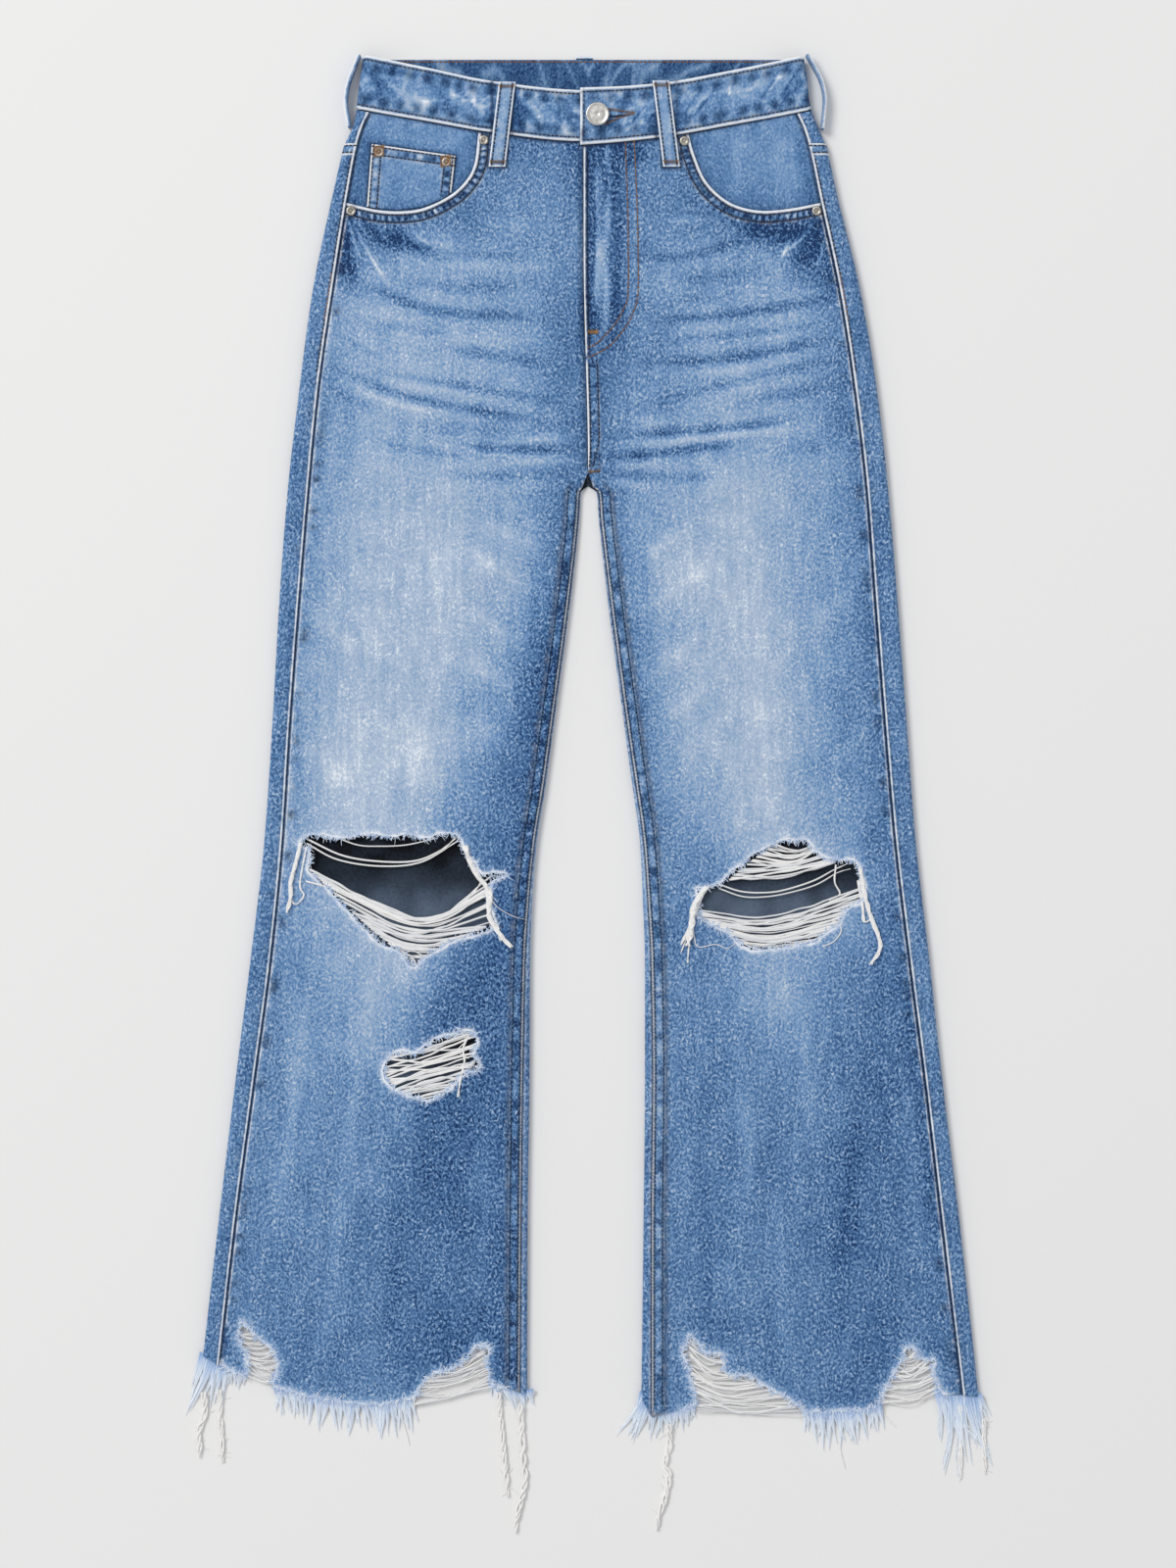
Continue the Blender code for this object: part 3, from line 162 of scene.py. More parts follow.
OUTER_ROWS = {
    Side.RIGHT: rows(SideRow,
        (0.0, 0.1695, 0.156), (0.04, 0.1745, 0.163), (0.0533, 0.1772, 0.169), (0.067, 0.1832, 0.1733),
        (0.105, 0.1925, 0.1806), (0.179, 0.2079, 0.1925), (0.253, 0.2179, 0.2032), (0.327, 0.2264, 0.2105),
        (0.416, 0.2331, 0.218), (0.505, 0.2381, 0.2246), (0.593, 0.2442, 0.2302), (0.682, 0.2546, 0.2392),
        (0.771, 0.2657, 0.2512), (0.882, 0.279, 0.266), (1.03, 0.296, 0.2825)),
    Side.LEFT: rows(SideRow,
        (0.0, 0.1622, 0.149), (0.04, 0.1681, 0.1553), (0.0558, 0.174, 0.162), (0.067, 0.179, 0.1655),
        (0.105, 0.1878, 0.1737), (0.179, 0.2057, 0.1897), (0.253, 0.218, 0.2012), (0.327, 0.2264, 0.21),
        (0.416, 0.2338, 0.2169), (0.505, 0.2405, 0.2239), (0.593, 0.2472, 0.2316), (0.682, 0.2575, 0.2423),
        (0.771, 0.2671, 0.2538), (0.882, 0.2805, 0.267), (1.03, 0.2966, 0.2846)),
}

INNER_ROWS = {
    Side.RIGHT: rows(SideRow,
        (0.3249, 0.0012, 0.003), (0.329, 0.0054, 0.0064), (0.349, 0.0067, 0.0077), (0.3715, 0.0089, 0.0099),
        (0.416, 0.0141, 0.0152), (0.505, 0.0259, 0.0272), (0.549, 0.0318, 0.0332), (0.593, 0.0385, 0.0402),
        (0.638, 0.0422, 0.0447), (0.682, 0.0437, 0.0474), (0.771, 0.0441, 0.0492), (0.882, 0.0455, 0.0505),
        (1.03, 0.046, 0.0514)),
    Side.LEFT: rows(SideRow,
        (0.3249, 0.0012, 0.003), (0.329, 0.0066, 0.008), (0.349, 0.0081, 0.0096), (0.3715, 0.0104, 0.0122),
        (0.416, 0.0155, 0.0176), (0.505, 0.0274, 0.0296), (0.549, 0.0333, 0.036), (0.593, 0.0392, 0.042),
        (0.638, 0.0414, 0.0452), (0.682, 0.0429, 0.0475), (0.771, 0.0429, 0.0488), (0.882, 0.0418, 0.0478),
        (1.03, 0.04, 0.0478)),
}

HEIGHT_ROWS = rows(HeightRow,
    (0.0, 0.0103, 0.0104, 0.0103), (0.045, 0.0098, 0.0102, 0.0098), (0.1, 0.008, 0.0096, 0.0082),
    (0.2, 0.0066, 0.009, 0.0068), (0.3, 0.006, 0.0085, 0.0056), (0.329, 0.0056, 0.0083, 0.005),
    (0.42, 0.0052, 0.008, 0.0068), (0.6, 0.0052, 0.0078, 0.0074), (0.8, 0.005, 0.0075, 0.0072),
    (1.03, 0.0048, 0.0066, 0.0062))

# The largest soft folds, as the solids have them.
FOLD_ROWS = rows(FoldRow,
    (0.035, 0.365, 0.12, 0.41, 0.016, 0.0011), (0.19, 0.215, 0.09, 0.262, 0.015, 0.001),
    (0.195, 0.3, 0.075, 0.33, 0.015, 0.0009), (0.06, 0.505, 0.14, 0.545, 0.018, 0.0009),
    (0.09, 0.72, 0.13, 0.83, 0.02, 0.001), (0.2, 0.79, 0.215, 0.93, 0.02, 0.001),
    (0.12, 0.86, 0.1, 0.96, 0.018, 0.0009))

# Smaller creases that only the cloth itself has: short slanting ones on the inner
# thigh, slack round the knees and long shallow ones down the shins.
CREASE_ROWS = {
    Side.RIGHT: rows(FoldRow,
        (0.036, 0.372, 0.078, 0.352, 0.0045, 0.0004), (0.04, 0.405, 0.092, 0.372, 0.005, 0.00036),
        (0.05, 0.446, 0.088, 0.418, 0.0045, 0.00034), (0.056, 0.48, 0.092, 0.455, 0.0055, 0.0004),
        (0.06, 0.52, 0.086, 0.498, 0.005, 0.0003), (0.205, 0.42, 0.172, 0.452, 0.006, 0.00034),
        (0.212, 0.52, 0.18, 0.548, 0.006, 0.0003), (0.11, 0.715, 0.12, 0.8, 0.007, -0.00046),
        (0.165, 0.7, 0.185, 0.85, 0.007, 0.00036), (0.215, 0.72, 0.232, 0.88, 0.006, 0.00034),
        (0.14, 0.83, 0.15, 0.985, 0.0065, -0.00032), (0.18, 0.84, 0.205, 1.0, 0.0055, 0.00036),
        (0.075, 0.79, 0.082, 0.93, 0.006, 0.00032)),
    Side.LEFT: rows(FoldRow,
        (0.038, 0.38, 0.074, 0.358, 0.0045, 0.00036), (0.044, 0.418, 0.09, 0.386, 0.005, 0.0004),
        (0.052, 0.462, 0.095, 0.43, 0.005, 0.00034), (0.058, 0.5, 0.088, 0.476, 0.0045, 0.00036),
        (0.2, 0.4, 0.17, 0.43, 0.006, 0.0003), (0.215, 0.5, 0.186, 0.535, 0.0055, 0.00034),
        (0.205, 0.78, 0.19, 0.93, 0.0075, -0.0005), (0.112, 0.735, 0.125, 0.86, 0.0065, 0.00036),
        (0.16, 0.72, 0.172, 0.82, 0.007, 0.00032), (0.238, 0.76, 0.25, 0.9, 0.0055, 0.00032),
        (0.085, 0.83, 0.092, 0.96, 0.006, -0.0003), (0.142, 0.86, 0.15, 0.99, 0.006, 0.00034)),
}

CENTRE_SEAM_TOP = (0.067, -0.0034)
CROTCH_FRONT = 0.3145
CROTCH_BACK = 0.3249

BAND_TOP_ROWS = {
    Side.RIGHT: rows(EdgeRow,
        (-0.017, 0.0268), (0.0089, 0.0266), (0.0725, 0.02), (0.1236, 0.0096), (0.1695, 0.0007)),
    Side.LEFT: rows(EdgeRow,
        (-0.0059, 0.0252), (0.015, 0.0245), (0.0548, 0.0215), (0.1058, 0.0126), (0.1622, 0.0015)),
}
BAND_FOOT_ROWS = {
    Side.RIGHT: rows(EdgeRow,
        (-0.017, 0.0651), (0.0059, 0.0651), (0.0725, 0.0585), (0.1236, 0.0496), (0.1761, 0.04)),
    Side.LEFT: rows(EdgeRow,
        (-0.0059, 0.0681), (0.015, 0.0665), (0.0548, 0.0622), (0.1058, 0.0533), (0.1691, 0.0407)),
}
BAND_LEFT_END = -0.0059
BAND_RIGHT_END = 0.0160
BAND_BACK_TOP = 0.0030
BAND_BACK_FOOT = 0.0390
LAP_RISE = 0.0012
LAP_RISE_WIDTH = 0.022
LAP_SINK = 0.0026
LAP_SINK_WIDTH = 0.026
WRAP_WIDTH = 0.008
BAND_WIDENS_FROM = 0.10
YOKE_CLEARANCE = 0.0014
YOKE_SEAM_SIDE = 0.0668
YOKE_SEAM_CENTRE = 0.1050

POCKET_CURVE_ROWS = {
    Side.RIGHT: rows(EdgeRow,
        (0.0825, 0.06), (0.086, 0.084), (0.0952, 0.0986), (0.1085, 0.1086), (0.1257, 0.1159), (0.143, 0.1179),
        (0.1601, 0.1166)),
    Side.LEFT: rows(EdgeRow,
        (0.0757, 0.06), (0.0797, 0.0745), (0.0876, 0.0932), (0.0983, 0.1053), (0.1115, 0.1134), (0.13, 0.1174),
        (0.1513, 0.116)),
}
POCKET_AT_OUTSEAM = 0.1117
POCKET_UNDERLAP = 0.008
POCKET_BEHIND_OUTSEAM = 0.002

COIN_POCKET_ROWS = rows(EdgeRow,
    (0.1628, 0.0673), (0.0999, 0.0762), (0.103, 0.1), (0.1095, 0.105), (0.126, 0.111), (0.143, 0.113),
    (0.1605, 0.1118), (0.1665, 0.1108))

FLY_OUTER_ROWS = rows(EdgeRow,
    (0.0348, 0.0659), (0.0372, 0.12), (0.0377, 0.1776), (0.034, 0.1935), (0.0285, 0.2045), (0.0178, 0.2176),
    (0.0085, 0.224), (-0.0005, 0.2279))
FLY_INNER_ROWS = rows(EdgeRow,
    (0.0281, 0.0659), (0.03, 0.12), (0.0303, 0.1776), (0.0268, 0.191), (0.0215, 0.201), (0.012, 0.212),
    (0.006, 0.2175), (-0.0005, 0.2205))
FLY_EDGE_BEYOND_STITCH = 0.003
FLY_FACING_FOOT = 0.2300

# Torn edges, in mm, listed round each opening.
KNEE_TEAR_MM = {
    Side.RIGHT: (
        (219, 594), (214, 588), (200, 587), (184, 590), (170, 586), (150, 589), (138, 587),
        (122, 590), (108, 586), (96, 591), (93, 600), (85, 609), (80, 617), (70, 615), (61, 618),
        (72, 622), (74, 630), (73, 645), (69, 657), (80, 662), (92, 664), (102, 668), (112, 674),
        (122, 679), (132, 687), (143, 676), (155, 671), (166, 661), (176, 652), (189, 636),
        (200, 625), (208, 618), (211, 612), (209, 600), (214, 597),
    ),
    Side.LEFT: (
        (82, 628), (98, 624), (108, 615), (115, 611), (124, 602), (132, 598), (141, 593),
        (156, 591), (164, 591), (172, 600), (180, 605), (190, 606), (199, 607), (206, 614),
        (208, 630), (206, 638), (196, 643), (190, 655), (180, 661), (170, 669), (158, 671),
        (140, 674), (126, 675), (114, 670), (106, 662), (95, 655), (84, 650), (83, 640),
    ),
}
SHIN_TEAR_MM = (
    (155, 764), (150, 755), (141, 750), (130, 752), (121, 745), (112, 740), (104, 738), (96, 735),
    (87, 736), (83, 742), (86, 752), (80, 762), (90, 767), (98, 771), (104, 779), (112, 784),
    (122, 787), (132, 785), (142, 781), (150, 776), (154, 770),
)
HEM_EDGE_MM = {
    Side.RIGHT: (
        (277, 986), (268, 992), (258, 993.5), (257, 984), (260, 972), (264, 966), (262, 955),
        (256, 959), (250, 966), (243, 972), (236.5, 978), (234, 989), (237, 1000), (236, 1003),
        (225, 1007), (215, 1010), (200, 1013), (185, 1015), (170, 1016.5), (157, 1016),
        (145, 1014), (133, 1012.5), (126, 1004), (121, 997), (116, 993), (103, 990), (94, 984),
        (88, 978), (81, 972), (75, 975), (77, 986), (75, 994), (72, 1001.5), (62, 1004),
    ),
    Side.LEFT: (
        (270, 1009.5), (266, 1008), (262, 998), (259, 990), (261, 984), (250, 982), (246, 975),
        (240, 974), (237, 984), (230, 994), (225, 1003), (221, 1013), (219, 1018), (205, 1021),
        (190, 1022), (176, 1022.5), (164, 1021.5), (160, 1018), (150, 1012), (140, 1007),
        (130, 1002), (124, 996), (104, 993), (102, 984), (101, 979), (88, 978), (82, 970),
        (77, 965), (75, 970), (72, 977), (76, 990), (79, 1003), (81, 1012), (80, 1018), (70, 1021),
    ),
}


class HemEnds(NamedTuple):
    """Drops at which a leg's hem meets its folds and seams, and the back hem's highest run."""

    outer_fold: float
    outseam: float
    inner_fold: float
    inseam: float
    back_arch: float


HEM_ENDS = {
    Side.RIGHT: HemEnds(0.9798, 0.9872, 1.0079, 1.0079, 0.9490),
    Side.LEFT: HemEnds(1.0108, 1.0094, 1.0116, 1.0264, 0.9600),
}
HEM_ARCH_REACH = 0.034

# The wash: 0 is raw indigo, 1 is worn white.
WASH_ROWS = {
    Side.RIGHT: rows(WashRow,
        (0.066, 0.44, 0.44, 0.46, 0.6, 0.54), (0.12, 0.52, 0.56, 0.46, 0.5, 0.44),
        (0.16, 0.5, 0.62, 0.66, 0.7, 0.53), (0.2, 0.42, 0.66, 0.73, 0.74, 0.66),
        (0.27, 0.46, 0.64, 0.72, 0.74, 0.6),
        (0.34, 0.4, 0.7, 0.8, 0.78, 0.65), (0.416, 0.27, 0.74, 0.85, 0.82, 0.7),
        (0.49, 0.18, 0.62, 0.85, 0.81, 0.66), (0.564, 0.27, 0.5, 0.82, 0.86, 0.71),
        (0.64, 0.27, 0.44, 0.78, 0.7, 0.65), (0.712, 0.34, 0.32, 0.72, 0.66, 0.55),
        (0.79, 0.35, 0.24, 0.52, 0.53, 0.55), (0.87, 0.36, 0.32, 0.46, 0.46, 0.55),
        (1.02, 0.32, 0.28, 0.46, 0.46, 0.38)),
    Side.LEFT: rows(WashRow,
        (0.066, 0.34, 0.4, 0.46, 0.6, 0.42), (0.12, 0.44, 0.54, 0.48, 0.4, 0.3),
        (0.16, 0.46, 0.58, 0.68, 0.58, 0.34), (0.2, 0.3, 0.54, 0.68, 0.7, 0.48),
        (0.27, 0.44, 0.62, 0.68, 0.68, 0.48), (0.34, 0.46, 0.7, 0.82, 0.7, 0.48),
        (0.416, 0.48, 0.78, 0.87, 0.68, 0.47), (0.49, 0.46, 0.76, 0.84, 0.64, 0.44),
        (0.564, 0.46, 0.72, 0.84, 0.62, 0.46), (0.64, 0.56, 0.48, 0.74, 0.72, 0.42),
        (0.712, 0.58, 0.46, 0.64, 0.46, 0.4), (0.79, 0.56, 0.42, 0.49, 0.41, 0.34),
        (0.87, 0.53, 0.42, 0.47, 0.34, 0.38), (1.02, 0.44, 0.43, 0.45, 0.34, 0.5)),
}

# Whiskers: nearly level worn lines across the hips, dark where the cloth lay in a trough.
WHISKERS = {
    Side.RIGHT: rows(Whisker,
        (148, 166, 104, 175, 36, 173, 5.0, -0.07), (170, 172, 118, 192, 36, 198, 4.6, -0.17),
        (160, 202, 125, 208, 102, 211, 3.2, -0.07), (192, 209, 174, 219, 158, 228, 3.2, -0.07),
        (104, 222, 74, 226, 30, 233, 5.0, -0.12), (192, 235, 133, 258, 30, 277, 4.0, -0.17),
        (163, 238, 104, 248, 22, 261, 4.0, -0.11), (192, 251, 176, 262, 160, 266, 3.4, -0.06),
        (148, 275, 118, 281, 44, 284, 7.0, -0.06), (104, 292, 74, 296, 11, 298, 3.4, -0.14),
        (163, 291, 118, 299, 81, 303, 3.6, -0.06), (111, 315, 81, 317, 15, 315, 4.0, -0.06),
        (104, 150, 74, 151, 52, 152, 3.6, -0.06), (96, 127, 74, 126, 30, 131, 5.0, 0.07),
        (135, 139, 111, 142, 95, 144, 4.5, 0.1), (118, 158, 67, 160, 28, 159, 4.5, 0.08),
        (185, 184, 163, 194, 148, 200, 7.0, 0.08), (133, 212, 81, 214, 30, 214, 5.5, 0.06),
        (185, 246, 148, 262, 104, 270, 3.2, 0.1), (133, 250, 104, 253, 60, 262, 3.0, 0.06),
        (59, 290, 30, 289, 8, 289, 3.6, 0.13), (59, 306, 30, 305, 8, 305, 3.6, 0.12),
        (81, 328, 52, 326, 30, 324, 4.5, 0.06)),
    Side.LEFT: rows(Whisker,
        (40, 152, 74, 152, 122, 138, 4.0, -0.12), (66, 168, 96, 167, 126, 163, 6.0, -0.07),
        (67, 184, 85, 184, 100, 183, 4.5, -0.05), (48, 200, 111, 195, 181, 184, 4.4, -0.16),
        (67, 214, 118, 210, 181, 202, 3.2, -0.09), (44, 232, 118, 227, 181, 214, 5.4, -0.17),
        (37, 266, 96, 250, 192, 227, 4.6, -0.1), (107, 263, 140, 257, 185, 249, 5.4, -0.08),
        (15, 287, 104, 281, 159, 274, 3.8, -0.15), (11, 303, 52, 300, 118, 292, 3.8, -0.15),
        (15, 316, 67, 318, 104, 318, 4.0, -0.08), (141, 298, 159, 296, 178, 294, 6.5, -0.05),
        (52, 125, 78, 125, 104, 124, 3.6, 0.1), (126, 146, 140, 158, 148, 168, 5.5, 0.12),
        (148, 181, 167, 179, 185, 176, 4.5, 0.08), (60, 206, 78, 207, 100, 204, 4.5, 0.07),
        (52, 240, 96, 238, 170, 226, 4.0, 0.06), (37, 277, 56, 276, 67, 272, 4.0, 0.08),
        (11, 295, 74, 290, 170, 280, 3.4, 0.12), (15, 309, 37, 309, 52, 308, 3.2, 0.11),
        (11, 321, 30, 322, 40, 325, 3.2, 0.1)),
}

# Sharp short creases that fan out of the pocket corners, with the raw indigo between them.
POCKET_CREASES = {
    Side.RIGHT: rows(Whisker,
        (180, 124, 177, 138, 172, 152, 1.2, 0.34), (178, 125, 167, 146, 150, 174, 1.7, 0.3),
        (175, 124, 169, 132, 163, 140, 1.0, 0.26), (160, 127, 155, 135, 148, 141, 1.0, 0.26),
        (140, 134, 138, 144, 138, 152, 0.9, 0.22), (186, 150, 183, 158, 180, 168, 1.1, 0.34),
        (134, 129, 127, 138, 116, 145, 1.0, 0.2), (120, 124, 112, 133, 104, 138, 0.9, 0.16),
        (178, 127, 148, 139, 114, 149, 8.5, -0.36), (184, 126, 184, 150, 177, 170, 6.0, -0.34),
        (150, 132, 135, 142, 112, 152, 5.0, -0.14)),
    Side.LEFT: rows(Whisker,
        (170, 125, 163, 136, 146, 151, 1.4, 0.36), (154, 136, 149, 146, 145, 156, 1.2, 0.3),
        (173, 126, 177, 143, 172, 163, 1.1, 0.34), (148, 151, 151, 158, 155, 166, 0.9, 0.26),
        (103, 123, 108, 129, 112, 136, 0.9, 0.22), (111, 121, 115, 129, 117, 136, 0.9, 0.22),
        (143, 126, 144, 132, 139, 141, 0.9, 0.2), (128, 126, 130, 134, 134, 142, 0.9, 0.18),
        (112, 127, 144, 135, 172, 130, 8.0, -0.36), (172, 127, 169, 144, 158, 160, 8.0, -0.3),
        (96, 118, 108, 128, 122, 134, 5.0, -0.12)),
}

# Soft patches: raw indigo under the pockets and by the fly, pale patches over thighs and knees.
WASH_SPOTS = {
    Side.RIGHT: rows(WashSpot,
        (178, 160, 6, 26, -0.1), (192, 156, 7, 12, -0.12), (157, 141, 7, 6, -0.12), (155, 165, 7, 6, 0.1),
        (0, 196, 9, 20, -0.2), (24, 205, 12, 26, -0.06), (128, 680, 46, 22, 0.08), (165, 520, 60, 60, 0.03),
        (122, 830, 9, 48, -0.08), (70, 690, 22, 40, -0.08), (214, 640, 12, 40, -0.05)),
    Side.LEFT: rows(WashSpot,
        (176, 168, 8, 22, -0.08), (187, 156, 6, 9, -0.22), (140, 131, 26, 5, -0.08), (32, 76, 13, 8, -0.2),
        (20, 200, 8, 18, -0.12), (126, 700, 50, 26, 0.09), (150, 520, 60, 60, 0.03), (200, 870, 12, 60, -0.07),
        (64, 660, 22, 40, -0.08), (218, 650, 12, 40, -0.05)),
}


def linear(code: str) -> tuple[float, float, float, float]:
    """Turns an sRGB hex colour to linear values.

    Args:
        code: The colour, as "#RRGGBB".

    Returns:
        Red, green, blue and an alpha of 1.
    """
    parts = [int(code[k:k + 2], 16) / 255 for k in (1, 3, 5)]
    red, green, blue = [c / 12.92 if c <= 0.04045 else ((c + 0.055) / 1.055) ** 2.4 for c in parts]
    return red, green, blue, 1.0


def line(rows: Sequence[NamedTuple], column: str, against: str = "drop") -> Callable:
    """A smooth function through one column of a table, with no overshoot between its rows.

    Args:
        rows: The table.
        column: The column that the function gives.
        against: The column that it is a function of.

    Returns:
        A function of one number or array, held level beyond the table's ends.
    """
    at = np.array([getattr(row, against) for row in rows])
    value = np.array([getattr(row, column) for row in rows])
    step = np.diff(at)
    grade = np.diff(value) / step
    slope = np.zeros(len(at))
    slope[0], slope[-1] = grade[0], grade[-1]
    rising = grade[:-1] * grade[1:] > 0
    pair = grade[:-1] + grade[1:]
    slope[1:-1][rising] = (2 * grade[:-1] * grade[1:])[rising] / pair[rising]

    def value_at(place: Array) -> Array:
        """The column's value at a place or places.

        Args:
            place: The place or places.

        Returns:
            The values.
        """
        place = np.clip(np.asarray(place, float), at[0], at[-1])
        k = np.clip(np.searchsorted(at, place) - 1, 0, len(step) - 1)
        t = (place - at[k]) / step[k]
        cubic = (2 * t**3 - 3 * t**2 + 1) * value[k] + (3 * t**2 - 2 * t**3) * value[k + 1]
        return cubic + step[k] * ((t**3 - 2 * t**2 + t) * slope[k] + (t**3 - t**2) * slope[k + 1])

    return value_at


def smoothstep(low: float, high: float, value: Array) -> Array:
    """A smooth rise from 0 at low to 1 at high."""
    t = np.clip((np.asarray(value, float) - low) / (high - low), 0, 1)
    return t * t * (3 - 2 * t)


def bell(value: Array, width: float) -> Array:
    """1 at 0, falling smoothly to either side over the width."""
    return np.exp(-((np.asarray(value, float) / width) ** 2))


def centre_seam(drop: Array) -> Array:
    """x of the centre front seam from the centre line, which leans away above the crotch."""
    top_drop, top_x = CENTRE_SEAM_TOP
    return top_x * (1 - smoothstep(top_drop + 0.08, CROTCH_FRONT, drop))


def metres(places: Iterable[tuple[float, float]]) -> Array:
    """An array of (reach, drop) in metres from places in millimetres."""
    return np.array([tuple(place) for place in places], float) * MM


def resampled(path: Array, step: float) -> Array:
    """A smooth run of points through those given.

    Args:
        path: The points to pass through, one row each.
        step: The most that the new points may be apart.

    Returns:
        The points of a Catmull-Rom curve, the first and last given points included.
    """
    path = np.asarray(path, float)
    before = np.concatenate([[2 * path[0] - path[1]], path[:-1]])
    after = np.concatenate([path[1:], [2 * path[-1] - path[-2]]])
    points = []
    for k in range(len(path) - 1):
        p0, p1, p2, p3 = before[k], path[k], path[k + 1], after[k + 1]
        count = max(1, math.ceil(np.linalg.norm(p2 - p1) / step))
        t = (np.arange(count) / count)[:, None]
        points.append(0.5 * (2 * p1 + (p2 - p0) * t + (2 * p0 - 5 * p1 + 4 * p2 - p3) * t**2
                             + (3 * p1 - p0 - 3 * p2 + p3) * t**3))
    return np.concatenate([*points, path[-1:]])


def evenly(path: Array, step: float) -> Array:
    """Points at even distances along straight runs, no further apart than the step.

    Args:
        path: The corners of the runs, one row each.
        step: The most that two points may be apart.

    Returns:
        The points, with both ends kept.
    """
    length = np.concatenate([[0], np.cumsum(np.linalg.norm(np.diff(path, axis=0), axis=1))])
    count = max(2, math.ceil(length[-1] / step) + 1)
    at = np.linspace(0, length[-1], count)
    return np.stack([np.interp(at, length, path[:, k]) for k in range(path.shape[1])], axis=1)


def nearest_on(path: Array, reach: Array, drop: Array) -> tuple[Array, Array]:
    """How far places are from a run of straight lines.

    Args:
        path: The run's corners, as reach and drop.
        reach: The places' reaches.
        drop: The places' drops.

    Returns:
        The distance of each place, and how far along the run its nearest point is.
    """
    best = np.full(len(reach), np.inf)
    along = np.zeros(len(reach))
    start = 0.0
    for (r0, d0), (r1, d1) in zip(path[:-1], path[1:]):
        length = math.hypot(r1 - r0, d1 - d0)
        if length == 0:
            continue
        ur, ud = (r1 - r0) / length, (d1 - d0) / length
        t = np.clip((reach - r0) * ur + (drop - d0) * ud, 0, length)
        gap = np.hypot(reach - r0 - t * ur, drop - d0 - t * ud)
        closer = gap < best
        best = np.where(closer, gap, best)
        along = np.where(closer, start + t, along)
        start += length
    return best, along


def beside(path: Array, offset: float) -> Array:
    """The same run of points moved sideways, to the left of its travel for a positive offset.

    Args:
        path: Reach and drop along the path.
        offset: How far beside it, in metres.

    Returns:
        The points.
    """
    run = np.gradient(path, axis=0)
    run /= np.linalg.norm(run, axis=1, keepdims=True)
    return path + offset * np.stack([-run[:, 1], run[:, 0]], axis=1)


class Lumps:
    """Smooth random values between -1 and 1, the same in every run."""

    def __init__(self, seed: int, spacing: float) -> None:
        """Draws the values.

        Args:
            seed: Which set of random values it is.
            spacing: How far apart the lumps are, in metres.
        """
        self.values = np.random.default_rng(seed).uniform(-1, 1, (97, 89))
        self.spacing = spacing

    def __call__(self, u: Array, v: Array = 0.0) -> Array:
        """The value at a place or places, along one line or over an area.

        Args:
            u: Places along the first line.
            v: Places along the second, or None for one line alone.

        Returns:
            Values from about -1 to 1.
        """
        u = np.asarray(u, float) / self.spacing + 31.7
        v = np.asarray(v, float) / self.spacing + 17.3
        u, v = np.broadcast_arrays(u, v)
        i, j = np.floor(u).astype(int), np.floor(v).astype(int)
        s, t = smoothstep(0, 1, u - i), smoothstep(0, 1, v - j)
        rows, columns = self.values.shape
        low = self.values[i % rows, j % columns] * (1 - s) + self.values[(i + 1) % rows, j % columns] * s
        high = self.values[i % rows, (j + 1) % columns] * (1 - s)
        high = high + self.values[(i + 1) % rows, (j + 1) % columns] * s
        return low * (1 - t) + high * t


def ragged(loop: Array, seed: int, whole: bool) -> Array:
    """A torn edge: the same run with the small bites and teeth of broken yarns.

    Args:
        loop: The edge's corners.
        seed: Which random teeth it gets.
        whole: Whether its end joins its start.

    Returns:
        Points about 1.5 mm apart.
    """
    path = closed(loop) if whole else loop
    path = evenly(resampled(path, 2.0 * MM), 1.5 * MM)
    tooth, bite = Lumps(seed, 1.6 * MM), Lumps(seed + 1, 5.0 * MM)
    s = np.arange(len(path)) * 1.5 * MM
    push = 0.55 * MM * tooth(s) + 0.8 * MM * bite(s)
    taper = np.ones(len(path)) if whole else np.clip(np.minimum(s, s[::-1]) / (4 * MM), 0, 1)
    if whole:
        path, push, taper = path[:-1], push[:-1], taper[:-1]
    return path + (push * taper)[:, None] * (beside(path, 1.0) - path)


